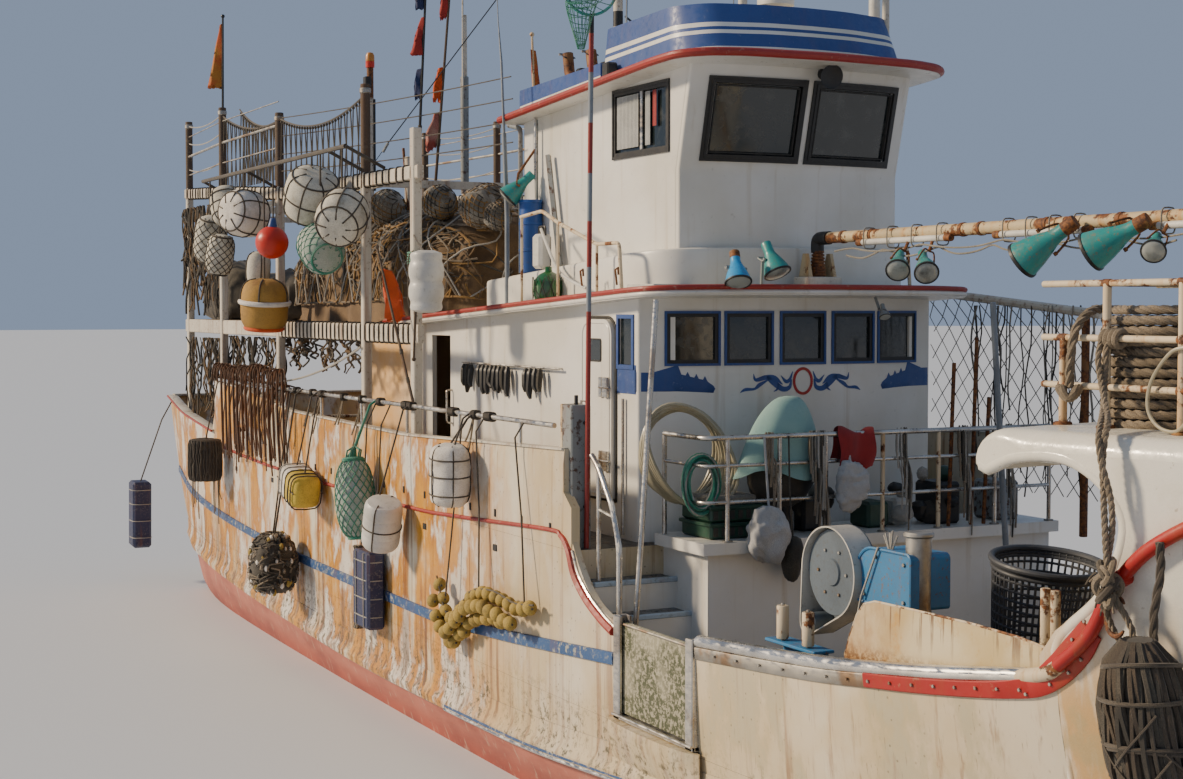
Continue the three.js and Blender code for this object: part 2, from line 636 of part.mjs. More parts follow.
function bridgeSide(side) {
  const across = side < 0 ? [-BRIDGE_HALF, -BRIDGE_HALF + WALL] : [BRIDGE_HALF - WALL, BRIDGE_HALF];
  const low = 3200 - WALL - GAP;
  const high = low + FRONT_LEAN;
  return cut(
    prism([
      [BRIDGE_AFT, onTier(BRIDGE_AFT)], [low, onTier(low)], [low, KNUCKLE_Z], [high, underVisor(high)],
      [BRIDGE_AFT, underVisor(BRIDGE_AFT)],
    ], across),
    box([1830, 2990], [across[0] - 10, across[1] + 10], [6470, 7130]),
  );
}
place('wheelhouse_side_starboard', 'gelcoat', bridgeSide(-1));
place('wheelhouse_side_port', 'gelcoat', bridgeSide(1));

const BACK_DOOR_Y = [-320, 320];
const BACK_DOOR_Z = [5300, 6980];
place('wheelhouse_back', 'gelcoat', cut(
  box(
    [BRIDGE_AFT - WALL - GAP, BRIDGE_AFT - GAP], [-BRIDGE_HALF, BRIDGE_HALF],
    [onTier(BRIDGE_AFT) + 1, underVisor(BRIDGE_AFT - WALL) - 1],
  ),
  box([BRIDGE_AFT - 200, BRIDGE_AFT + 50], BACK_DOOR_Y, BACK_DOOR_Z),
));

// Wheelhouse roof: the visor, the parapet round the fore part and the low curb behind it
const VISOR_COLUMNS = [[-600, 1550], [3300, 1600], [3750, 1500], [3900, 1150], [3970, 600]];
const PARAPET_FOOT = mirror([[1500, -1330], [3250, -1330], [3560, -1100], [3700, -500]]);
const parapetRing = (shrink, lean, z) => PARAPET_FOOT.map(([x, y]) => [
  x - (x > 3000 ? lean : 0) - (x > 1600 ? shrink : -shrink), y * (1 - shrink / 1330), z(x),
]);
const parapetTop = (x) => 7780 + 0.02 * x;
const curbTop = (x) => 7440 + 0.03 * x;
const RADAR = { x: 2900, z: 8380 };
const EXHAUSTS = [{ x: 60, y: -960, top: 7800 }, { x: 650, y: -960, top: 7760 }];
const EXHAUST_Z = 7500;
place('wheelhouse_roof', 'gelcoat', join([
  loft(VISOR_COLUMNS.map((column) => plateRing(column, visorUnder, visorTop))),
  cut(
    loft([parapetRing(0, 0, (x) => visorTop(x) - 30), parapetRing(0, 220, parapetTop)]),
    loft([parapetRing(70, 0, () => 7400), parapetRing(70, 220, (x) => parapetTop(x) + 50)]),
  ),
  loft([[-580, 1300], [1540, 1320]].map((column) => plateRing(column, (x) => visorTop(x) - 30, curbTop))),
  bar([RADAR.x, 0, visorTop(RADAR.x) - 30], [RADAR.x, 0, 8000], 90, 10),
  bar([RADAR.x, 0, 7960], [RADAR.x, 0, RADAR.z - 60 - RUNNING], 190, 12, 170),
  ...EXHAUSTS.map(({ x, y, top }) => pipe([[x + 330, y, EXHAUST_Z], [x, y, EXHAUST_Z], [x - 60, y, top]], 62)),
]));

// Doors: each leaf stands just proud of its wall, and turns on its forward or outer edge
const LEAF = 45;
function houseLeaf(side) {
  const face = side * (HOUSE_HALF + RUNNING);
  const across = side < 0 ? [face - LEAF, face] : [face, face + LEAF];
  return box([DOOR_X[0] - 10, DOOR_X[1] + 10], across, [DOOR_Z[0] - 20, DOOR_Z[1] + 20]);
}
place('door_starboard', 'gelcoat', houseLeaf(-1));
place('door_port', 'gelcoat', houseLeaf(1));
place('door_wheelhouse', 'gelcoat', box(
  [BRIDGE_AFT - WALL - RUNNING - LEAF, BRIDGE_AFT - WALL - RUNNING],
  [BACK_DOOR_Y[0] - 20, BACK_DOOR_Y[1] + 20],
  [BACK_DOOR_Z[0] - 15, BACK_DOOR_Z[1] + 15],
));

// Goalpost mast on the wheelhouse roof, and the radar's bar that turns on its pedestal
const MAST_X = 940;
const MAST_HALF = 800;
const MAST_FOOT = curbTop(MAST_X) + 3;
place('mast', 'gelcoat', join([
  bar([MAST_X, -MAST_HALF, MAST_FOOT], [MAST_X, -MAST_HALF, 9300], 52, 10),
  bar([MAST_X, MAST_HALF, MAST_FOOT], [MAST_X, MAST_HALF, 9300], 52, 10),
  bar([MAST_X, -1100, 9200], [MAST_X, 1100, 9200], 45, 8),
  bar([MAST_X, 0, 9200], [MAST_X, 0, 10400], 50, 10, 35),
]));
place('radar_bar', 'gelcoat', join([
  box([RADAR.x - 70, RADAR.x + 70], [-600, 600], [RADAR.z, RADAR.z + 120]),
  bar([RADAR.x, 0, RADAR.z - 60], [RADAR.x, 0, RADAR.z + 20], 90, 12),
]));

// Lamp boom from the deckhouse roof to the foremast
const BOOM_AFT = 3580;
const BOOM_LAMPS = [
  { neck: [5150, -70, 5395], mouth: [5360, -250, 5230], radius: 110, foot: [5230, 0, BOOM_Z] },
  { neck: [5480, -70, 5390], mouth: [5760, -230, 5200], radius: 110, foot: [5580, 0, BOOM_Z] },
  { neck: [7570, -150, 5580], mouth: [7160, -350, 5270], radius: 160, foot: [7400, 0, BOOM_Z] },
  { neck: [8370, -150, 5560], mouth: [7960, -350, 5320], radius: 160, foot: [8200, 0, BOOM_Z] },
  { neck: [8400, -90, 5440], mouth: [8560, -280, 5310], radius: 95, foot: [8460, 0, BOOM_Z] },
];
const TUBE_LIGHTS = [[4440, 5870], [6450, 7640], [8280, 9600]];
const TUBE_PLACE = [-45, 5515];
place('lamp_boom', 'rusty', join([
  bar([BOOM_AFT, 0, BOOM_Z], [FOREMAST_X - 130, 0, BOOM_Z], 55, 10),
  box([3580, 3820], [-210, 210], [roofTop(3820) + GAP + 3, 5200]),
  bar([3700, 0, 5150], [3700, 0, BOOM_Z], 90, 8, 50),
  ...TUBE_LIGHTS.map(([aft, fore]) => bar([aft, ...TUBE_PLACE], [fore, ...TUBE_PLACE], 32)),
  ...BOOM_LAMPS.map(floodlamp),
]));
place('foremast', 'gelcoat', join([
  bar([FOREMAST_X, 0, WHALEBACK + GAP], [FOREMAST_X, 0, 8600], 120, 10, 70),
  box([FOREMAST_X - 129, FOREMAST_X], [-100, 100], [BOOM_Z - 90, BOOM_Z + 90]),
  bar([FOREMAST_X, -900, 7800], [FOREMAST_X, 900, 7800], 30),
]));

// Aft shelter: two side frames, the deck between them and the beams over it
const SHELTER_AFT = -12600;
const SHELTER_DECK_Z = 4640;
const shelterY = (x) => readTable([[SHELTER_AFT, 2195], [-9700, 2380], [-1000, 2380]], x);
const SHELTER_TOP = [[-12800, 6970], [-9650, 6810], [-6200, 6600], [-1000, 6560]];
const POSTS = [
  { x: SHELTER_AFT, top: 8130 }, { x: -9700, top: 8080 }, { x: -6600, top: 7700 }, { x: -2900, top: 7700 },
];
const SHORT_POST_X = -1150;
function shelterFrame(side) {
  const post = (x, top) => {
    const y = side * shelterY(x);
    return box([x - 60, x + 60], [y - 55, y + 55], [MAIN_DECK + GAP, top]);
  };
  const beam = (levels) => loft(SHELTER_TOP.map(([x, high]) => {
    const y = side * shelterY(x);
    const [z0, z1] = levels(high);
    return [[x, y - 40, z0], [x, y - 40, z1], [x, y + 40, z1], [x, y + 40, z0]];
  }));
  return join([
    ...POSTS.map(({ x, top }) => post(x, top)),
    post(SHORT_POST_X, 7000),
    beam(() => [SHELTER_DECK_Z - 160, SHELTER_DECK_Z + 60]),
    beam((high) => [high - 160, high]),
    pipe([SHELTER_AFT, -9700, -6600].map((x) => [x, side * shelterY(x), 7520]), 22),
  ]);
}
const frameStarboard = shelterFrame(-1);
const framePort = shelterFrame(1);
place('shelter_frame_starboard', 'gelcoat', frameStarboard);
place('shelter_frame_port', 'gelcoat', framePort);

const clearOfFrames = (solid) => cut(
  solid, frameStarboard, framePort, frameStarboard.translate([0, GAP, 0]), framePort.translate([0, -GAP, 0]),
);
const inside = (x) => shelterY(x) - 40 - GAP;
const deckX = [-12750, -9700, -4700];
place('shelter_deck', 'gelcoat', clearOfFrames(slab(
  mirror(deckX.map((x) => [x, -inside(x)])),
  [SHELTER_DECK_Z - 60, SHELTER_DECK_Z + 60],
)));
const stringer = (side) => box([SHELTER_AFT, -2900], side < 0 ? [-2090, -2030] : [2030, 2090], [6440, 6520]);
const AFT_MASTS = [{ y: -1000, top: 8570 }, { y: 500, top: 9300 }];
place('shelter_beams', 'gelcoat', clearOfFrames(join([
  ...AFT_MASTS.map(({ y, top }) => bar([-6600, y, 6430], [-6600, y, top], 55, 8, 40)),
  ...POSTS.map(({ x }) => box([x - 45, x + 45], [-inside(x), inside(x)], [6420, 6520])),
  stringer(-1),
  stringer(1),
])));

// The heap of nets and lines on the shelter deck and the roof before it
const HEAP = [
  { x: -8700, half: 900, top: 5300 }, { x: -7900, half: 1800, top: 5850 }, { x: -6000, half: 2050, top: 6200 },
  { x: -4650, half: 2000, top: 6250 }, { x: -3000, half: 1950, top: 6200 }, { x: -1900, half: 1500, top: 6050 },
  { x: -1350, half: 900, top: 5400 },
];
const heapBase = (x) => Math.max(SHELTER_DECK_Z + 61, roofTop(x) + 1);
place('net_heap', 'net', loft(HEAP.map(({ x, half, top }) => [
  [x, -half, heapBase(x)], [x, -half * 0.95, top - 500], [x, -half * 0.55, top], [x, half * 0.55, top],
  [x, half * 0.95, top - 500], [x, half, heapBase(x)],
])));

// Floats hung outboard of the starboard shelter frame, on the line that carries them.
// Each is a drum: its middle, radius, half length and axis.
const FLOATS = [
  { x: -8600, z: 5940, r: 250, half: 360, axis: [0.35, 0, 1] },
  { x: -7650, z: 6400, r: 240, half: 290, axis: [-0.5, 0, 1] },
  { x: -8050, z: 5690, r: 210, half: 310, axis: [0.2, 0.1, 1] },
  { x: -6700, z: 6250, r: 340, half: 300, axis: [0.5, -1, 0.1] },
  { x: -5700, z: 4930, r: 340, half: 370, axis: [0.12, 0, 1] },
  { x: -3550, z: 6320, r: 360, half: 340, axis: [0.6, 0, 0.8] },
  { x: -2350, z: 6000, r: 320, half: 310, axis: [0.7, -0.5, -0.5] },
  { x: -3200, z: 5640, r: 280, half: 320, axis: [1, 0, -0.5] },
];
const RED_BALL = { x: -5320, z: 5810, r: 230 };
const FLOAT_Y = -2880;
const FLOAT_LINE_Z = 6850;
place('floats_starboard', 'foam', join([
  ...FLOATS.map(({ x, z, r, half, axis }) => drum([x, FLOAT_Y, z], axis, r, half)),
  ball([RED_BALL.x, FLOAT_Y, RED_BALL.z], RED_BALL.r, 12, 8),
  ...[...FLOATS, RED_BALL].map(({ x, z }) => bar([x, FLOAT_Y, z], [x, FLOAT_Y, FLOAT_LINE_Z], 20, 6)),
  bar([-9000, FLOAT_Y, FLOAT_LINE_Z], [-2200, FLOAT_Y, FLOAT_LINE_Z], 30, 6),
]));

// The rail on the starboard bulwark and the fenders, buoys, floats and grapnels hung from it.
// Each hanger is a drum: its middle, radius, half length and axis.
const FENDER_RAIL_Z = 3760;
const FENDER_RAIL_Y = -HALF_BEAM + 45;
const HANGERS = [
  { x: 1060, z: 3130, r: 235, half: 330, axis: [0.08, 0, 1] },
  { x: -930, z: 2400, r: 225, half: 310, axis: [0.42, 0, 1] },
  { x: -1950, z: 2600, r: 235, half: 500, axis: [-0.16, 0, 1] },
  { x: -4170, z: 2550, r: 230, half: 370, axis: [1, 0, -0.25] },
  { x: -5090, z: 1400, r: 350, half: 420, axis: [0, 0, 1] },
  { x: -9040, z: 2530, r: 250, half: 330, axis: [0.03, 0, 1] },
];
// The string of small floats: the points it sags through
const FLOAT_STRING = [
  [420, 1920], [560, 1720], [720, 1560], [900, 1580], [1100, 1660], [1280, 1790], [1450, 1900], [1640, 1950],
  [1820, 1970], [2000, 1980], [2180, 1970], [2360, 1940], [2560, 1920],
];
const STRING_FLOAT = 98;
const STRING_Y = -HALF_BEAM - 130;
const GRAPNELS = { count: 15, aft: -8600, step: 230, prong: 190, y: -HALF_BEAM - 135 };
function grapnel(x) {
  const head = [x, GRAPNELS.y, FENDER_RAIL_Z + 240];
  const prongs = [[1, 0], [-1, 0], [0, -1]].map(([along, out]) => bar(
    head, [x + GRAPNELS.prong * along, head[1] + GRAPNELS.prong * out, head[2] - 120], 9, 4,
  ));
  return join([
    bar(head, [x + 40, GRAPNELS.y + 15, FENDER_RAIL_Z - 900], 17, 6),
    bar([x, GRAPNELS.y, FENDER_RAIL_Z + 60], [x, FENDER_RAIL_Y, FENDER_RAIL_Z + 15], 10, 4),
    ...prongs,
  ]);
}
const stanchionX = [-8900, -7400, -5800, -4200, -2600, -1000, 600, 2200];
place('fender_rail_starboard', 'steel', cut(join([
  bar([-9400, FENDER_RAIL_Y, FENDER_RAIL_Z], [3000, FENDER_RAIL_Y, FENDER_RAIL_Z], 26),
  ...stanchionX.map((x) => bar(
    [x, FENDER_RAIL_Y, readTable(AFT_TOP, x) - 5], [x, FENDER_RAIL_Y, FENDER_RAIL_Z], 20, 6,
  )),
  ...HANGERS.flatMap(({ x, z, r, half, axis }) => {
    const y = -HALF_BEAM - r - 30;
    return [
      drum([x, y, z], axis, r, half),
      pipe([[x, FENDER_RAIL_Y, FENDER_RAIL_Z], [x, -HALF_BEAM - 60, FENDER_RAIL_Z - 40], [x, y, z]], 16, 6),
    ];
  }),
  ...FLOAT_STRING.map(([x, z]) => ball([x, STRING_Y, z], STRING_FLOAT, 8, 5)),
  ...FLOAT_STRING.slice(1).map((point, i) => bar(
    [FLOAT_STRING[i][0], STRING_Y, FLOAT_STRING[i][1]], [point[0], STRING_Y, point[1]], 14, 6,
  )),
  ...[FLOAT_STRING[1], FLOAT_STRING[6], FLOAT_STRING[12]].map(([x, z]) => pipe([
    [x, FENDER_RAIL_Y, FENDER_RAIL_Z], [x, -HALF_BEAM - 60, FENDER_RAIL_Z - 40], [x, STRING_Y, z],
  ], 12, 6)),
  box([-2100, -1560], [-2880, -2650], [1050, 1980]),
  pipe([
    [-1640, FENDER_RAIL_Y, FENDER_RAIL_Z], [-1640, -HALF_BEAM - 60, FENDER_RAIL_Z - 40], [-1640, -2760, 1950],
  ], 14, 6),
  ...Array.from({ length: GRAPNELS.count }, (unused, i) => grapnel(GRAPNELS.aft + GRAPNELS.step * i)),
]), aftBulwark(-1), aftBulwark(-1).translate([0, 0, GAP]), aftBulwark(-1).translate([0, -GAP, 0])));

// Line hauler on its post inside the starboard bulwark, with the sheave that turns
const HAULER = { x: 7000, y: -1900, z: 2830 };
place('hauler_stand', 'blue', join([
  bar([7900, HAULER.y, WELL_DECK + GAP], [7900, HAULER.y, 3220], 95, 12),
  box([7230, 7980], [HAULER.y - 130, HAULER.y + 230], [2660, 3070]),
  bar([HAULER.x, HAULER.y + 100, HAULER.z], [7300, HAULER.y + 100, HAULER.z], 60),
]).subtract(bar([HAULER.x, HAULER.y - 400, HAULER.z], [HAULER.x, HAULER.y + 20, HAULER.z], 420, 12)));
place('hauler_sheave', 'steel', join([
  bar([HAULER.x, HAULER.y - 150, HAULER.z], [HAULER.x, HAULER.y - 80, HAULER.z], 340, 20, 280),
  bar([HAULER.x, HAULER.y - 80, HAULER.z], [HAULER.x, HAULER.y - 10, HAULER.z], 280, 20, 340),
]));

// Two upright fairlead rollers on the bulwark
const ROLLERS = [6770, 7130];
const ROLLER_Y = -2360;
const ROLLER_Z = [2300, 2560];
place('roller_frame', 'steel', join([
  box([6600, 7300], [ROLLER_Y - 60, ROLLER_Y + 130], [2260, 2285]),
  ...ROLLERS.map((x) => bar([x, ROLLER_Y, 2270], [x, ROLLER_Y, ROLLER_Z[1] + 20], 15)),
  box([6650, 7250], [ROLLER_Y + 80, ROLLER_Y + 110], [WELL_DECK + GAP, 2270]),
]));
ROLLERS.forEach((x, i) => {
  place(`side_roller_${i + 1}`, 'steel', cut(
    bar([x, ROLLER_Y, ROLLER_Z[0]], [x, ROLLER_Y, ROLLER_Z[1]], 48, 14),
    bar([x, ROLLER_Y, 2200], [x, ROLLER_Y, 2700], 15 + RUNNING, 10),
  ));
});

// Fish hatch in the well deck, its lid hinged on the fore edge
const HATCH_X = [5200, 6500];
const HATCH_Y = [-650, 650];
place('hatch_coaming', 'gelcoat', cut(
  box(HATCH_X, HATCH_Y, [WELL_DECK + GAP, 1600]),
  box([HATCH_X[0] + 70, HATCH_X[1] - 70], [HATCH_Y[0] + 70, HATCH_Y[1] - 70], [1230, 1700]),
));
place('hatch_lid', 'gelcoat', box(
  [HATCH_X[0] - 20, HATCH_X[1] + 20], [HATCH_Y[0] - 20, HATCH_Y[1] + 20], [1600 + RUNNING, 1680],
));

// The rack of pipes on the whaleback with its coils of mooring rope
const RACK_Y = [-1950, -950];
const RACK_POSTS = [
  { x: 9500, top: 4700 }, { x: 9900, top: 5050 }, { x: 10550, top: 5050 }, { x: 10850, top: 5050 },
];
const RACK_LEVELS = [4390, 4700, 5050];
const RACK_ENDS = [9300, 10850];
place('rope_rack', 'rusty', join([
  ...RACK_POSTS.flatMap(({ x, top }) => RACK_Y.map((y) => bar([x, y, WHALEBACK + GAP], [x, y, top], 28))),
  ...RACK_Y.flatMap((y) => RACK_LEVELS.map((z) => bar([RACK_ENDS[0], y, z], [RACK_ENDS[1], y, z], 22))),
  ...RACK_LEVELS.map((z) => bar([RACK_ENDS[1], RACK_Y[0], z], [RACK_ENDS[1], RACK_Y[1], z], 22)),
  bar([9900, RACK_Y[0], 5050], [9900, RACK_Y[1], 5050], 22),
]));

// Mooring rope in a round coil, two turns wide and twelve high
const ROPE = 66;
const COIL = { x: 9950, y: -1450, middle: 380, high: 12 };
place('rope_coil', 'net', turned([
  [COIL.middle - ROPE, 0], [COIL.middle + ROPE, 0], [COIL.middle + ROPE, COIL.high * ROPE],
  [COIL.middle - ROPE, COIL.high * ROPE], [COIL.middle - ROPE, 0],
], [COIL.x, COIL.y, WHALEBACK + 1], [0, 0, 1], 24));

// Windlass on the whaleback
place('windlass_frame', 'rusty', join([
  box([11850, 12500], [-700, 700], [WHALEBACK + GAP, WHALEBACK + 60]),
  box([12000, 12350], [-560, -440], [WHALEBACK + 50, 4650]),
  box([12000, 12350], [440, 560], [WHALEBACK + 50, 4650]),
]));
place('windlass_drum', 'rusty', join([
  bar([12175, -430, 4480], [12175, 430, 4480], 110, 12),
  bar([12175, -430, 4480], [12175, -390, 4480], 190, 14),
  bar([12175, 390, 4480], [12175, 430, 4480], 190, 14),
]));

// Blue drum on the deckhouse roof's after end
place('barrel', 'blue', bar([0, -1430, tierTop(120) + 2], [0, -1430, 6150], 120, 14));

// The open-topped mesh basket in the well, tipped forward a little on the box it stands on
const BASKET = { x: 7950, y: -800, foot: 2200, tall: 800, tip: 8 };
function basketCup(foot, low, high, top) {
  return turned([[0, foot], [low, foot], [high, top], [0, top]], [0, 0, 0], [0, 0, 1], 16);
}
place('basket', 'rubber', join([
  box([7550, 8350], [-1150, -450], [WELL_DECK + GAP, BASKET.foot]),
  cut(basketCup(0, 370, 440, BASKET.tall), basketCup(40, 335, 405, BASKET.tall + 40))
    .rotate([0, BASKET.tip, 0])
    .translate([BASKET.x, BASKET.y, BASKET.foot - 40]),
]));

// The thick rope-bound fender at the starboard bow
const BOW_FENDER = { x: 10750, radius: 300, clear: 95, heights: [1500, 2200, 2950] };
const fenderAt = (z, out) => [BOW_FENDER.x, -sideAt(BOW_FENDER.x, z) - out, z];
const fenderMiddle = (z) => fenderAt(z, BOW_FENDER.radius + BOW_FENDER.clear);
place('bow_fender', 'net', join([
  pipe(BOW_FENDER.heights.map(fenderMiddle), BOW_FENDER.radius, 12),
  bar(fenderMiddle(2940), fenderAt(3500, 150), 28, 6),
]));

export default boat;
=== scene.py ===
# A glass-fibre line fishing boat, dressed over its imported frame.
# Metres. +X points to the bow, +Y to port, +Z up, and the origin is amidships at the waterline.

import math
import random

import bpy
import numpy as np
from mathutils import Matrix, Vector
from mathutils.geometry import delaunay_2d_cdt


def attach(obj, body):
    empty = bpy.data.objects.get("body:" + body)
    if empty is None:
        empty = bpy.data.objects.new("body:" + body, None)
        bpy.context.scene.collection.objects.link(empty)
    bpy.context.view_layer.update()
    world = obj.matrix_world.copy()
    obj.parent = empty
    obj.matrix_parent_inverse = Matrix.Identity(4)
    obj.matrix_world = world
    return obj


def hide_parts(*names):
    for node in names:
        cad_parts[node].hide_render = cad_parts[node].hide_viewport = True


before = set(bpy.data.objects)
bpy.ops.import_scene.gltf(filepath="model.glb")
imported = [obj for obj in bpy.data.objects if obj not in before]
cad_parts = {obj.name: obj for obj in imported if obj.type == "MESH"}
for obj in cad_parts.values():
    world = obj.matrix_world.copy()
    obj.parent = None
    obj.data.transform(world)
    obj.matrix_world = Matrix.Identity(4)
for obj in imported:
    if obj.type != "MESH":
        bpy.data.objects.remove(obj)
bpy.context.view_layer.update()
DRAW = random.Random(11)

# Driving dimensions, as in the frame
WELL_DECK = 1.15
MAIN_DECK = 2.6
WHALEBACK = 4.12
WELL_AFT = 3.45
BULWARK = 0.09
HOUSE_HALF = 1.75
BRIDGE_HALF = 1.3


def roof_top(x):
    return 4.91 + 0.05 * x


def tier_top(x):
    return 5.275 + 0.064 * x


def visor_top(x):
    return 7.14 + 0.0558 * x


# Camera, floor and lights

CAMERA_SPOT = (18.62, -9.96, 4.89)
CAMERA_WAY = (-0.8937, 0.4465, -0.0452)
LENS_MM = 54.59
SENSOR_MM = 36
SUN_WAY = (0.466, 0.762, -0.449)
SUN_POWER = 5.2
SUN_DEGREES = 7
SKY_POWER = 0.46
FLOOR_REACH = 400


def make_camera():
    camera = bpy.data.objects.new("camera", bpy.data.cameras.new("camera"))
    camera.data.sensor_width = SENSOR_MM
    camera.data.lens = LENS_MM
    camera.data.clip_end = 500
    camera.location = CAMERA_SPOT
    camera.rotation_euler = Vector(CAMERA_WAY).to_track_quat("-Z", "Y").to_euler()
    bpy.context.scene.collection.objects.link(camera)
    bpy.context.scene.camera = camera


def make_stage():
    mesh = bpy.data.meshes.new("floor")
    corners = [(x * FLOOR_REACH, y * FLOOR_REACH, 0) for x, y in ((-1, -1), (1, -1), (1, 1), (-1, 1))]
    mesh.from_pydata(corners, [], [(0, 1, 2, 3)])
    floor = bpy.data.objects.new("floor", mesh)
    bpy.context.scene.collection.objects.link(floor)
    pale = bpy.data.materials.new("floor_pale")
    pale.use_nodes = True
    shader = pale.node_tree.nodes["Principled BSDF"]
    shader.inputs["Base Color"].default_value = (0.62, 0.66, 0.70, 1)
    shader.inputs["Roughness"].default_value = 0.55
    mesh.materials.append(pale)


def make_lights():
    key = bpy.data.objects.new("key", bpy.data.lights.new("key", "SUN"))
    key.data.energy = SUN_POWER
    key.data.angle = math.radians(SUN_DEGREES)
    key.data.color = (1.0, 0.80, 0.56)
    key.rotation_euler = Vector(SUN_WAY).to_track_quat("-Z", "Y").to_euler()
    bpy.context.scene.collection.objects.link(key)
    world = bpy.data.worlds.new("sky")
    bpy.context.scene.world = world
    world.use_nodes = True
    back = world.node_tree.nodes["Background"]
    back.inputs["Color"].default_value = (0.52, 0.66, 0.92, 1)
    back.inputs["Strength"].default_value = SKY_POWER


# Curves through tables

def smooth(xs, ys, x):
    """A curve through the points of a table that doesn't overshoot them."""
    xs = np.asarray(xs, float)
    ys = np.asarray(ys, float)
    gap = np.diff(xs)
    tall = gap.reshape((-1,) + (1,) * (ys.ndim - 1))
    slope = np.diff(ys, axis=0) / tall
    bend = np.zeros_like(ys)
    same = slope[:-1] * slope[1:] > 0
    safe = np.where(same, slope[:-1] + slope[1:], 1)
    bend[1:-1] = np.where(same, 2 * slope[:-1] * slope[1:] / safe, 0)
    bend[0] = slope[0]
    bend[-1] = slope[-1]
    x = np.clip(np.asarray(x, float), xs[0], xs[-1])
    i = np.clip(np.searchsorted(xs, x) - 1, 0, len(xs) - 2)
    width = gap[i]
    t = (x - xs[i]) / width
    if ys.ndim > 1:
        width = width[..., None]
        t = t[..., None]
    return (
        (1 + 2 * t) * (1 - t) ** 2 * ys[i]
        + t * (1 - t) ** 2 * width * bend[i]
        + t * t * (3 - 2 * t) * ys[i + 1]
        + t * t * (t - 1) * width * bend[i + 1]
    )


def from_table(table, x):
    """A height read from a table of (place, height) pairs, with straight runs between them."""
    places, heights = zip(*table)
    return np.interp(x, places, heights)


def flowing(points, steps=6):
    """A smooth line through points, with steps to each stretch."""
    points = np.asarray(points, float)
    at = np.arange(len(points))
    fine = np.linspace(0, len(points) - 1, (len(points) - 1) * steps + 1)
    padded = np.vstack([2 * points[0] - points[1], points, 2 * points[-1] - points[-2]])
    i = np.clip(fine.astype(int), 0, len(at) - 2)
    t = (fine - i)[:, None]
    a, b, c, d = (padded[i + k] for k in range(4))
    return 0.5 * (
        2 * b + (c - a) * t + (2 * a - 5 * b + 4 * c - d) * t ** 2 + (3 * b - a - 3 * c + d) * t ** 3
    )


def filleted(points, radius, steps=5):
    """Straight runs between points, with the corners rounded."""
    points = [np.asarray(p, float) for p in points]
    line = [points[0]]
    for before, corner, after in zip(points, points[1:], points[2:]):
        back = before - corner
        on = after - corner
        reach = min(radius, 0.45 * np.linalg.norm(back), 0.45 * np.linalg.norm(on))
        start = corner + back / np.linalg.norm(back) * reach
        end = corner + on / np.linalg.norm(on) * reach
        for k in range(steps + 1):
            t = k / steps
            line.append((1 - t) ** 2 * start + 2 * t * (1 - t) * corner + t * t * end)
    line.append(points[-1])
    return np.array(line)


def sagging(a, b, sag, steps=10):
    """A line from a to b that hangs by sag in its middle."""
    t = np.linspace(0, 1, steps + 1)[:, None]
    line = np.asarray(a, float) * (1 - t) + np.asarray(b, float) * t
    line[:, 2] -= 4 * sag * (t * (1 - t))[:, 0]
    return line


# Shapes: each is (corners, faces)

def grid_faces(rows, columns, wrap=False):
    faces = []
    for r in range(rows - 1):
        for c in range(columns if wrap else columns - 1):
            d = (c + 1) % columns
            faces.append((r * columns + c, r * columns + d, (r + 1) * columns + d, (r + 1) * columns + c))
    return faces


def tube(points, radius, sides=8, closed=False):
    """A round tube along points. The radius is one number, or one for each point."""
    p = np.asarray(points, float)
    count = len(p)
    radii = np.broadcast_to(np.asarray(radius, float), (count,))
    along = np.roll(p, -1, 0) - np.roll(p, 1, 0) if closed else np.gradient(p, axis=0)
    along = along / np.maximum(np.linalg.norm(along, axis=1), 1e-9)[:, None]
    across = np.cross(along[0], (0, 0, 1) if abs(along[0][2]) < 0.9 else (1, 0, 0))
    frames = []
    for direction in along:
        across = across - direction * across.dot(direction)
        across = across / np.linalg.norm(across)
        frames.append(across)
    first = np.array(frames)
    second = np.cross(along, first)
    turn = np.arange(sides) * math.tau / sides
    ring = first[:, None] * np.cos(turn)[None, :, None] + second[:, None] * np.sin(turn)[None, :, None]
    verts = (p[:, None] + radii[:, None, None] * ring).reshape(-1, 3)
    faces = grid_faces(count, sides, True)
    if closed:
        last = (count - 1) * sides
        faces += [(last + k, last + (k + 1) % sides, (k + 1) % sides, k) for k in range(sides)]
    else:
        faces.append(tuple(range(sides))[::-1])
        faces.append(tuple((count - 1) * sides + k for k in range(sides)))
    return verts, faces


def rod(a, b, radius, sides=10, end=None):
    """A straight round bar with softened ends."""
    a = np.asarray(a, float)
    b = np.asarray(b, float)
    end = radius if end is None else end
    soft = min(0.15 * max(radius, end), 0.3 * np.linalg.norm(b - a))
    way = (b - a) / np.linalg.norm(b - a)
    stops = [a, a + way * soft, b - way * soft, b]
    return tube(stops, [radius - soft * 0.9, radius, end, end - soft * 0.9], sides)


def outward(shape):
    """Turns the faces of a convex shape to point out."""
    verts, faces = shape
    middle = verts.mean(0)
    fixed = []
    for face in faces:
        a, b, c = verts[face[0]], verts[face[1]], verts[face[2]]
        centre = verts[list(face)].mean(0)
        out = np.cross(b - a, c - a).dot(centre - middle) > 0
        fixed.append(tuple(face) if out else tuple(face)[::-1])
    return verts, fixed


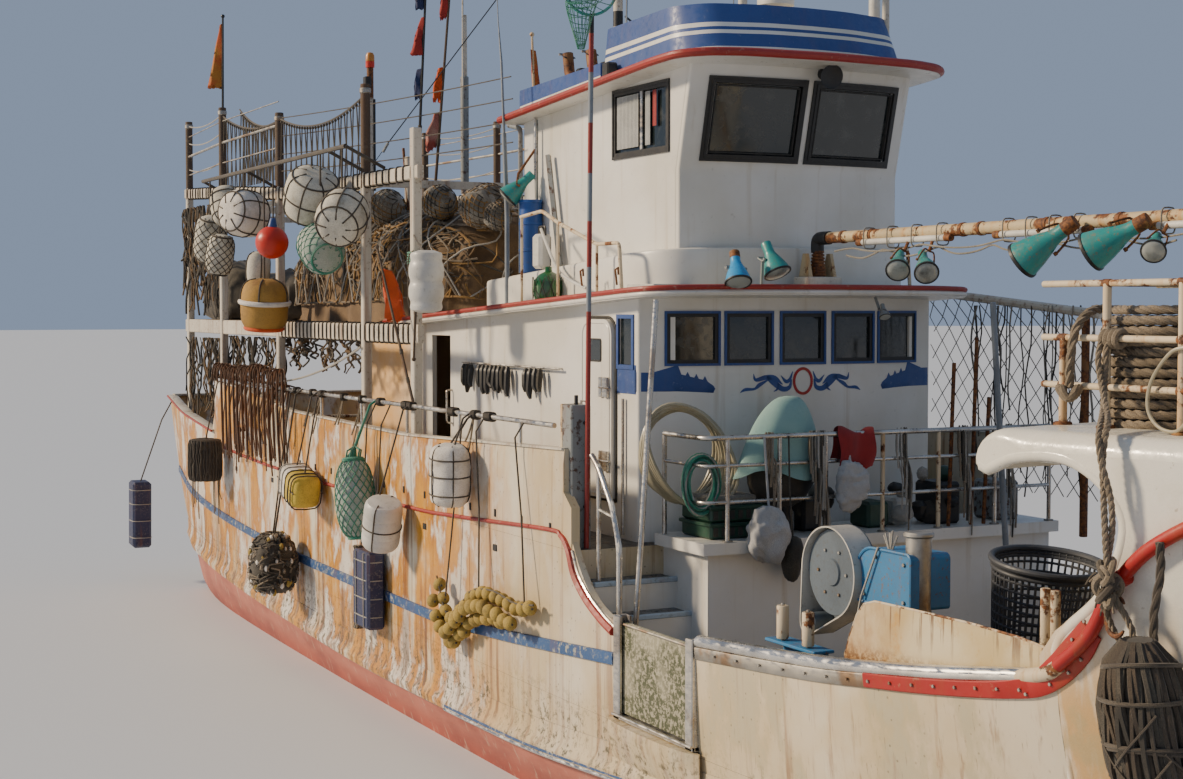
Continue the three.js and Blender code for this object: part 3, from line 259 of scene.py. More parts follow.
def block(low, high, edge=0.006):
    """A box with chamfered edges."""
    low = np.asarray(low, float)
    high = np.asarray(high, float)
    centre = (low + high) / 2
    half = (high - low) / 2
    edge = min(edge, 0.45 * float(half.min()))
    verts = []
    index = {}
    signs = [(x, y, z) for x in (-1, 1) for y in (-1, 1) for z in (-1, 1)]
    for sign in signs:
        for axis in range(3):
            inset = half - edge
            inset[axis] = half[axis]
            index[sign, axis] = len(verts)
            verts.append(centre + np.array(sign) * inset)
    faces = [tuple(index[sign, axis] for axis in range(3)) for sign in signs]
    for axis in range(3):
        one, two = [k for k in range(3) if k != axis]
        for side in (-1, 1):
            quad = []
            for first, second in ((-1, -1), (1, -1), (1, 1), (-1, 1)):
                sign = [0, 0, 0]
                sign[axis], sign[one], sign[two] = side, first, second
                quad.append(index[tuple(sign), axis])
            faces.append(tuple(quad))
        for first in (-1, 1):
            for second in (-1, 1):
                ends = []
                for side in (-1, 1):
                    sign = [0, 0, 0]
                    sign[axis], sign[one], sign[two] = side, first, second
                    ends.append(tuple(sign))
                faces.append((index[ends[0], one], index[ends[1], one], index[ends[1], two],
                              index[ends[0], two]))
    return outward((np.array(verts), faces))


def revolve(profile, at=(0, 0, 0), sides=20):
    """A profile of (radius, height) pairs turned about an upright axis."""
    rings = []
    turn = np.arange(sides) * math.tau / sides
    for radius, height in profile:
        r = max(radius, 0.0005)
        rings.append(np.stack([r * np.cos(turn), r * np.sin(turn), np.full(sides, height)], 1))
    verts = np.vstack(rings) + np.asarray(at, float)
    faces = grid_faces(len(profile), sides, True)
    faces.append(tuple(range(sides))[::-1])
    faces.append(tuple((len(profile) - 1) * sides + k for k in range(sides)))
    return verts, faces


def ball(centre, radii, around=16, rows=10, power=1.0):
    """A ball, or a squarer lump where the power is under 1."""
    lift = np.linspace(-math.pi / 2, math.pi / 2, rows + 1)
    turn = np.arange(around) * math.tau / around

    def curve(value):
        return np.sign(value) * np.abs(value) ** power

    lift[0], lift[-1] = -math.pi / 2 + 0.02, math.pi / 2 - 0.02
    x = curve(np.cos(lift))[:, None] * curve(np.cos(turn))[None]
    y = curve(np.cos(lift))[:, None] * curve(np.sin(turn))[None]
    z = np.broadcast_to(curve(np.sin(lift))[:, None], x.shape)
    verts = np.stack([x, y, z], -1).reshape(-1, 3) * np.broadcast_to(np.asarray(radii, float), (3,))
    faces = grid_faces(rows + 1, around, True)
    faces.append(tuple(range(around))[::-1])
    faces.append(tuple(rows * around + k for k in range(around)))
    return verts + np.asarray(centre, float), faces


def loft(rings, caps=True):
    """A skin through rings of points, each ring with the same number."""
    rings = np.asarray(rings, float)
    count = rings.shape[1]
    faces = grid_faces(len(rings), count, True)
    if caps:
        faces.append(tuple(range(count))[::-1])
        faces.append(tuple((len(rings) - 1) * count + k for k in range(count)))
    return rings.reshape(-1, 3), faces


def shell(outer, inner, keep=None):
    """A wall between two grids of points, closed round its edges and round the cells left out."""
    outer = np.asarray(outer, float)
    inner = np.asarray(inner, float)
    rows, columns = outer.shape[:2]
    keep = np.ones((rows - 1, columns - 1), bool) if keep is None else keep
    count = rows * columns
    verts = np.vstack([outer.reshape(-1, 3), inner.reshape(-1, 3)])
    faces = []

    def kept(r, c):
        return 0 <= r < rows - 1 and 0 <= c < columns - 1 and keep[r, c]

    for r in range(rows - 1):
        for c in range(columns - 1):
            if not keep[r, c]:
                continue
            a, b = r * columns + c, r * columns + c + 1
            d, e = a + columns, b + columns
            faces.append((a, b, e, d))
            faces.append((a + count, d + count, e + count, b + count))
            for p, q, near in ((a, b, (r - 1, c)), (b, e, (r, c + 1)), (e, d, (r + 1, c)),
                               (d, a, (r, c - 1))):
                if not kept(*near):
                    faces.append((q, p, p + count, q + count))
    used = sorted({k for face in faces for k in face})
    place = {k: n for n, k in enumerate(used)}
    return verts[used], [tuple(place[k] for k in face) for face in faces]


def flat_shape(outline, put, depth, spacing=None):
    """A plate of any outline. put(u, v, w) places its points, with w from 0 to depth."""
    outline = [tuple(p) for p in outline]
    points = [Vector(p) for p in outline]
    if spacing:
        us, vs = zip(*outline)
        for u in np.arange(min(us) + spacing / 2, max(us), spacing):
            for v in np.arange(min(vs) + spacing / 2, max(vs), spacing):
                if inside_outline(outline, u, v, spacing * 0.35):
                    points.append(Vector((u, v)))
    edges = [(i, (i + 1) % len(outline)) for i in range(len(outline))]
    verts2, unused, tris, *unused = delaunay_2d_cdt(points, edges, [], 1, 1e-6)
    count = len(verts2)
    verts = [put(p.x, p.y, 0.0) for p in verts2] + [put(p.x, p.y, depth) for p in verts2]
    faces = [tuple(t) for t in tris] + [tuple(k + count for k in reversed(t)) for t in tris]
    rim = {}
    for face in tris:
        for k in range(len(face)):
            rim[face[k], face[(k + 1) % len(face)]] = True
    for a, b in list(rim):
        if (b, a) not in rim:
            faces.append((b, a, a + count, b + count))
    return np.array([tuple(v) for v in verts], float), faces


def inside_outline(outline, u, v, clear):
    """Whether a point is within an outline and clear of its corners' runs."""
    inside = False
    for (u0, v0), (u1, v1) in zip(outline, outline[1:] + outline[:1]):
        if (v0 > v) != (v1 > v) and u < u0 + (v - v0) / (v1 - v0) * (u1 - u0):
            inside = not inside
        du, dv = u1 - u0, v1 - v0
        t = max(0, min(1, ((u - u0) * du + (v - v0) * dv) / max(du * du + dv * dv, 1e-12)))
        if math.hypot(u0 + t * du - u, v0 + t * dv - v) < clear:
            return False
    return inside


def turned(shape, degrees, axis, about=(0, 0, 0)):
    about = Vector(about)
    matrix = Matrix.Translation(about) @ Matrix.Rotation(math.radians(degrees), 4, axis)
    matrix = np.array(matrix @ Matrix.Translation(-about))
    verts, faces = shape
    return verts @ matrix[:3, :3].T + matrix[:3, 3], faces


def mirrored(shape):
    """The same shape on the boat's other side."""
    verts, faces = shape
    return verts * (1, -1, 1), [tuple(face)[::-1] for face in faces]


def lumpy(shape, size, amount, seed=0):
    """Pushes a shape's points in and out by a few sine waves."""
    verts, faces = shape
    wild = random.Random(seed)
    middle = verts.mean(0)
    out = verts - middle
    out = out / np.maximum(np.linalg.norm(out, axis=1), 1e-9)[:, None]
    push = np.zeros(len(verts))
    for octave in (1, 1.9, 3.3):
        way = np.array([wild.uniform(-1, 1) for unused in range(3)]) * math.tau * octave / size
        other = np.array([wild.uniform(-1, 1) for unused in range(3)]) * math.tau * octave / size
        push += (np.sin(verts @ way + wild.uniform(0, 6))
                 * np.cos(verts @ other + wild.uniform(0, 6)) / octave)
    return verts + out * (amount * push)[:, None], faces


class Piece:
    """Shapes gathered into one mesh that rides on a body."""

    def __init__(self, name, *materials, body="root", slot=None, replaces=(), sharp=35):
        self.name = name
        self.materials = materials
        self.body = body
        self.slot = slot
        self.replaces = replaces
        self.sharp = sharp
        self.verts = []
        self.faces = []
        self.indices = []
        self.count = 0

    def add(self, shape, material=0):
        verts, faces = shape
        self.verts.append(np.asarray(verts, float))
        self.faces += [tuple(k + self.count for k in face) for face in faces]
        if isinstance(material, int):
            self.indices += [material] * len(faces)
        else:
            self.indices += list(material)
        self.count += len(verts)
        return self

    def both(self, shape, material=0):
        """Adds the shape, and its mirror image on the other side."""
        self.add(shape, material)
        return self.add(mirrored(shape), material)

    def done(self):
        mesh = bpy.data.meshes.new(self.name)
        mesh.from_pydata(np.vstack(self.verts).tolist(), [], self.faces)
        mesh.polygons.foreach_set("material_index", self.indices)
        mesh.polygons.foreach_set("use_smooth", [True] * len(mesh.polygons))
        mesh.set_sharp_from_angle(angle=math.radians(self.sharp))
        for name in self.materials:
            mesh.materials.append(material_of(name))
        mesh.validate()
        piece = bpy.data.objects.new(self.name, mesh)
        bpy.context.scene.collection.objects.link(piece)
        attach(piece, self.body)
        if self.replaces:
            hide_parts(*self.replaces)
        return piece


# Materials

class Look:
    """One material's nodes, with short calls for those used here."""

    def __init__(self, name, rough=0.5, metal=0.0):
        self.material = bpy.data.materials.new(name)
        self.material.use_nodes = True
        self.tree = self.material.node_tree
        self.shader = self.tree.nodes["Principled BSDF"]
        self.shader.inputs["Roughness"].default_value = rough
        self.shader.inputs["Metallic"].default_value = metal
        self.place = self.node("ShaderNodeTexCoord").outputs["Object"]

    def node(self, kind, **settings):
        made = self.tree.nodes.new(kind)
        for key, value in settings.items():
            setattr(made, key, value)
        return made

    def put(self, socket, value):
        if isinstance(value, bpy.types.NodeSocket):
            self.tree.links.new(value, socket)
        elif isinstance(value, tuple) and len(value) == 3 and socket.type == "RGBA":
            socket.default_value = (*value, 1)
        else:
            socket.default_value = value

    def stretched(self, stretch):
        mapping = self.node("ShaderNodeMapping")
        self.put(mapping.inputs["Vector"], self.place)
        mapping.inputs["Scale"].default_value = stretch
        return mapping.outputs["Vector"]

    def noise(self, scale, detail=5.0, rough=0.55, stretch=None, twist=0.0):
        made = self.node("ShaderNodeTexNoise")
        self.put(made.inputs["Vector"], self.stretched(stretch) if stretch else self.place)
        made.inputs["Scale"].default_value = scale
        made.inputs["Detail"].default_value = detail
        made.inputs["Roughness"].default_value = rough
        made.inputs["Distortion"].default_value = twist
        return made.outputs["Fac"]

    def cells(self, scale):
        made = self.node("ShaderNodeTexVoronoi")
        self.put(made.inputs["Vector"], self.place)
        made.inputs["Scale"].default_value = scale
        return made.outputs["Distance"]

    def axis(self, letter):
        parts = self.node("ShaderNodeSeparateXYZ")
        self.put(parts.inputs[0], self.place)
        return parts.outputs[letter]

    def band(self, value, low, high, out_low=0.0, out_high=1.0):
        """Runs smoothly from out_low to out_high as the value goes from low to high."""
        made = self.node("ShaderNodeMapRange", interpolation_type="SMOOTHSTEP")
        for socket, number in zip(made.inputs, (value, low, high, out_low, out_high)):
            self.put(socket, number)
        return made.outputs[0]

    def math(self, kind, a, b):
        made = self.node("ShaderNodeMath", operation=kind, use_clamp=True)
        self.put(made.inputs[0], a)
        self.put(made.inputs[1], b)
        return made.outputs[0]

    def times(self, a, b):
        return self.math("MULTIPLY", a, b)

    def mix(self, share, a, b):
        made = self.node("ShaderNodeMix", data_type="RGBA")
        self.put(made.inputs[0], share)
        self.put(made.inputs[6], a)
        self.put(made.inputs[7], b)
        return made.outputs[2]

    def finish(self, colour, rough=None, bump=None, depth=0.002, strength=0.6):
        self.put(self.shader.inputs["Base Color"], colour)
        if rough is not None:
            self.put(self.shader.inputs["Roughness"], rough)
        if bump is not None:
            made = self.node("ShaderNodeBump")
            made.inputs["Strength"].default_value = strength
            made.inputs["Distance"].default_value = depth
            self.put(made.inputs["Height"], bump)
            self.put(self.shader.inputs["Normal"], made.outputs["Normal"])
        return self.material


def shade(colour, share):
    return tuple(c * share for c in colour)


RUST = (0.24, 0.085, 0.018)
DARK_RUST = (0.06, 0.022, 0.010)
GRIME = (0.085, 0.07, 0.045)


def painted(name, coat, worn=GRIME, stain=RUST, wear=0.3, streaks=0.3, grain=2.0, rough=0.45, metal=0.0,
            depth=0.0015):
    """Old paint: the coat varies, runs of stain hang down it, and the worn colour shows in chips."""
    look = Look(name, rough, metal)
    broad = look.noise(grain * 0.4, detail=4)
    fine = look.noise(grain * 7, detail=7, rough=0.7)
    runs = look.noise(1.0, detail=5, stretch=(grain * 3, grain * 3, grain * 0.16))
    colour = look.mix(look.band(broad, 0.35, 0.68), coat, shade(coat, 0.80))
    run_share = look.times(look.band(runs, 0.50, 0.72), streaks)
    colour = look.mix(run_share, colour, stain)
    chips = look.times(look.band(fine, 0.66 - 0.22 * wear, 0.74 - 0.22 * wear),
                       look.band(broad, 0.40, 0.56, 0.35, 1.0))
    colour = look.mix(look.times(chips, min(1.0, wear * 1.6)), colour, worn)
    return look.finish(colour, look.band(fine, 0.3, 0.7, rough - 0.08, rough + 0.2), fine, depth)


def topside(name):
    """The hull's sides: cream, orange with rust towards the stern, and green and brown where water lies."""
    look = Look(name, 0.42)
    x = look.axis("X")
    z = look.axis("Z")
    broad = look.noise(0.55, detail=4, twist=0.4)
    middle = look.noise(2.2, detail=6, rough=0.62, stretch=(1, 1, 0.5))
    fine = look.noise(16, detail=7, rough=0.7)
    curtain = look.noise(1.0, detail=5, rough=0.6, stretch=(1.5, 1.5, 0.16))
    runs = look.noise(1.0, detail=4, rough=0.6, stretch=(9, 9, 0.28))
    hairs = look.noise(1.0, detail=3, rough=0.6, stretch=(42, 42, 0.5))
    cream = look.mix(look.band(broad, 0.38, 0.64), (0.66, 0.61, 0.48), (0.55, 0.46, 0.29))
    aft = look.times(look.band(x, 3.4, -0.6), look.band(x, -15.2, -12.6))
    ochre = look.mix(look.band(middle, 0.38, 0.62), (0.58, 0.26, 0.008), (0.36, 0.12, 0.005))
    wash = look.times(look.band(look.math("ADD", look.times(curtain, 0.55), look.times(middle, 0.45)),
                                0.385, 0.485),
                      look.band(aft, 0, 1, 0.10, 0.95))
    colour = look.mix(wash, cream, ochre)
    fore = look.band(x, 4.6, 6.4)
    mottle = look.times(look.times(look.band(middle, 0.46, 0.60), fore), 0.75)
    colour = look.mix(mottle, colour, (0.36, 0.29, 0.13))
    run_share = look.times(look.band(runs, 0.56, 0.70), look.band(aft, 0, 1, 0.5, 0.9))
    colour = look.mix(run_share, colour, (0.20, 0.06, 0.008))
    colour = look.mix(look.times(look.band(hairs, 0.62, 0.74), 0.55), colour, (0.12, 0.07, 0.03))
    pale = look.times(look.band(middle, 0.50, 0.60), look.band(aft, 0, 1, 0.2, 0.85))
    colour = look.mix(pale, colour, (0.74, 0.72, 0.64))
    low = look.band(z, 1.42, 0.86)
    grime = look.times(look.band(runs, 0.48, 0.62), look.band(z, 1.9, 0.8, 0.0, 0.75))
    colour = look.mix(look.times(grime, look.band(aft, 0, 1, 0.3, 1.0)), colour, (0.16, 0.075, 0.025))
    algae = look.times(look.band(fine, 0.50, 0.62), look.times(low, look.band(middle, 0.34, 0.52)))
    colour = look.mix(look.times(algae, 0.9), colour, (0.055, 0.05, 0.022))
    specks = look.times(look.band(look.cells(13), 0.16, 0.09), look.band(middle, 0.42, 0.60))
    colour = look.mix(look.times(specks, 0.6), colour, (0.09, 0.07, 0.035))
    return look.finish(colour, look.band(fine, 0.35, 0.7, 0.30, 0.62), middle, 0.006, 0.5)


def bottom(name):
    """Faded red bottom paint, paler and scuffed near the rail."""
    look = Look(name, 0.55)
    z = look.axis("Z")
    broad = look.noise(0.9, detail=5, stretch=(1, 1, 2.5))
    fine = look.noise(11, detail=7, rough=0.7, stretch=(0.4, 0.4, 1))
    runs = look.noise(1.0, detail=4, stretch=(11, 11, 0.5))
    colour = look.mix(look.band(broad, 0.35, 0.65), (0.36, 0.075, 0.045), (0.24, 0.045, 0.032))
    colour = look.mix(look.times(look.band(z, 0.02, 0.34), look.band(broad, 0.3, 0.7, 0.7, 0.2)), colour,
                      (0.50, 0.20, 0.14))
    colour = look.mix(look.times(look.band(runs, 0.58, 0.72), 0.6), colour, (0.52, 0.36, 0.26))
    colour = look.mix(look.times(look.band(fine, 0.62, 0.70), 0.5), colour, (0.16, 0.05, 0.035))
    return look.finish(colour, None, fine, 0.002)


def gelcoat(name):
    """The house's white gelcoat: a little yellow, streaked under its edges, ochre at its after end."""
    look = Look(name, 0.36)
    x = look.axis("X")
    broad = look.noise(0.7, detail=5)
    fine = look.noise(9, detail=7, rough=0.7)
    runs = look.noise(1.0, detail=5, stretch=(6, 6, 0.3))
    colour = look.mix(look.band(broad, 0.35, 0.68), (0.74, 0.725, 0.68), (0.63, 0.60, 0.52))
    aft = look.band(x, -2.2, -3.4)
    colour = look.mix(look.times(aft, look.band(broad, 0.25, 0.6, 0.9, 0.5)), colour, (0.78, 0.40, 0.05))
    colour = look.mix(look.times(look.band(runs, 0.57, 0.74), 0.42), colour, (0.42, 0.33, 0.20))
    colour = look.mix(look.times(look.band(fine, 0.64, 0.72), 0.35), colour, (0.30, 0.26, 0.19))
    return look.finish(colour, look.band(fine, 0.3, 0.7, 0.26, 0.5), broad, 0.004, 0.4)


def white_bow(name):
    """The bow's glossy cream, with rust that has run down from its fittings."""
    look = Look(name, 0.25)
    z = look.axis("Z")
    broad = look.noise(0.8, detail=4)
    middle = look.noise(3.0, detail=6, rough=0.62)
    runs = look.noise(1.0, detail=5, stretch=(5, 5, 0.22))
    fine = look.noise(18, detail=7, rough=0.7)
    colour = look.mix(look.band(broad, 0.36, 0.66), (0.74, 0.72, 0.64), (0.66, 0.62, 0.50))
    low = look.band(z, 3.3, 2.3)
    stained = look.times(look.band(runs, 0.36, 0.56), low)
    colour = look.mix(look.times(stained, 0.85), colour, (0.50, 0.27, 0.05))
    colour = look.mix(look.times(look.band(middle, 0.52, 0.66), look.band(low, 0, 1, 0.1, 0.6)), colour,
                      (0.40, 0.32, 0.16))
    colour = look.mix(look.times(look.band(fine, 0.63, 0.70), 0.5), colour, (0.20, 0.15, 0.08))
    return look.finish(colour, look.band(fine, 0.35, 0.7, 0.16, 0.42), middle, 0.012, 0.5)


def bare_metal(name, tone=(0.62, 0.60, 0.56), stain=(0.24, 0.13, 0.05), share=0.35, rough=0.3):
    """Bare metal with brown tea stains and fine scratches."""
    look = Look(name, rough, 0.92)
    broad = look.noise(3.0, detail=5)
    fine = look.noise(30, detail=5, stretch=(0.3, 1, 1))
    colour = look.mix(look.band(broad, 0.3, 0.7), tone, shade(tone, 0.7))
    colour = look.mix(look.times(look.band(broad, 0.50, 0.66), share), colour, stain)
    return look.finish(colour, look.band(fine, 0.3, 0.7, rough - 0.1, rough + 0.22), fine, 0.0006)


def rusty(name, coat, share=0.5, rough=0.7):
    """Paint that has gone to rust in patches."""
    look = Look(name, rough, 0.05)
    patch = look.noise(5.0, detail=7, rough=0.68)
    fine = look.noise(28, detail=6, rough=0.7)
    runs = look.noise(1.0, detail=4, stretch=(12, 12, 0.7))
    gone = look.band(patch, 0.62 - 0.25 * share, 0.68 - 0.25 * share)
    rust = look.mix(look.band(fine, 0.38, 0.62), RUST, DARK_RUST)
    colour = look.mix(look.times(look.band(runs, 0.48, 0.66), 0.6), coat, (0.48, 0.25, 0.07))
    return look.finish(look.mix(gone, colour, rust), None, patch, 0.003)


def streaked(name):
    """A cream plate, brown with rust at its after end, with drips from its top and dirt along its foot."""
    look = Look(name, 0.5)
    x = look.axis("X")
    z = look.axis("Z")
    broad = look.noise(1.4, detail=5, twist=0.5)
    middle = look.noise(4.0, detail=7, rough=0.68, stretch=(1, 1, 0.6))
    drips = look.noise(1.0, detail=5, rough=0.62, stretch=(15, 15, 1.1))
    fine = look.noise(24, detail=6, rough=0.7)
    colour = look.mix(look.band(broad, 0.35, 0.66), (0.66, 0.56, 0.36), (0.55, 0.42, 0.20))
    haze = look.times(look.band(x, 8.7, 7.6), look.band(middle, 0.34, 0.58, 0.45, 1.0))
    colour = look.mix(haze, colour, (0.36, 0.17, 0.035))
    patches = look.times(look.band(middle, 0.54, 0.66), 0.75)
    colour = look.mix(patches, colour, (0.50, 0.26, 0.04))
    falling = look.times(look.band(drips, 0.53, 0.62), look.band(z, 2.42, 2.78))
    colour = look.mix(look.times(falling, 0.9), colour, (0.13, 0.05, 0.014))
    foot = look.times(look.band(z, 2.50, 2.32), look.band(fine, 0.40, 0.55))
    colour = look.mix(foot, colour, (0.16, 0.065, 0.012))
    return look.finish(colour, None, fine, 0.002)


def fabric(name, tone, other, weave=260.0, rough=0.85):
    """Cloth or netting: two tones in patches, over a fine weave."""
    look = Look(name, rough)
    look.shader.inputs["Sheen Weight"].default_value = 0.15
    broad = look.noise(3.5, detail=5)
    fine = look.noise(weave, detail=2)
    colour = look.mix(look.band(broad, 0.36, 0.66), tone, other)
    colour = look.mix(look.band(fine, 0.42, 0.60), colour, shade(tone, 0.5))
    return look.finish(colour, None, fine, 0.001)


def foam(name, tone=(0.63, 0.60, 0.50), dirt=(0.26, 0.21, 0.12)):
    """Dirty expanded foam, with its beads and its scuffs."""
    look = Look(name, 0.8)
    broad = look.noise(3.2, detail=6, rough=0.65)
    beads = look.cells(95)
    colour = look.mix(look.band(broad, 0.42, 0.64), tone, shade(tone, 0.72))
    colour = look.mix(look.times(look.band(broad, 0.56, 0.70), 0.7), colour, dirt)
    colour = look.mix(look.band(beads, 0.55, 0.75, 0.0, 0.35), colour, dirt)
    return look.finish(colour, None, beads, 0.004)


def plastic(name, tone, rough=0.4, dirt=GRIME, share=0.35):
    """Moulded plastic with dust and scratches."""
    look = Look(name, rough)
    broad = look.noise(2.6, detail=5)
    fine = look.noise(26, detail=6, rough=0.7)
    colour = look.mix(look.band(broad, 0.32, 0.68), tone, shade(tone, 0.72))
    colour = look.mix(look.times(look.band(fine, 0.55, 0.70), share), colour, dirt)
    return look.finish(colour, look.band(fine, 0.3, 0.7, rough - 0.08, rough + 0.18), fine, 0.0008)


def glass(name, tone=(0.012, 0.018, 0.02), rough=0.08):
    """Glass with a film of salt. Its default near-black tone is painted shade: the dark rooms seen through
    the windows.
    """
    look = Look(name, rough)
    look.shader.inputs["Specular IOR Level"].default_value = 0.8
    salt = look.noise(7, detail=6)
    colour = look.mix(look.band(salt, 0.45, 0.8), tone, (0.05, 0.055, 0.052))
    return look.finish(colour, look.band(salt, 0.4, 0.7, rough, rough + 0.16), salt, 0.0004)


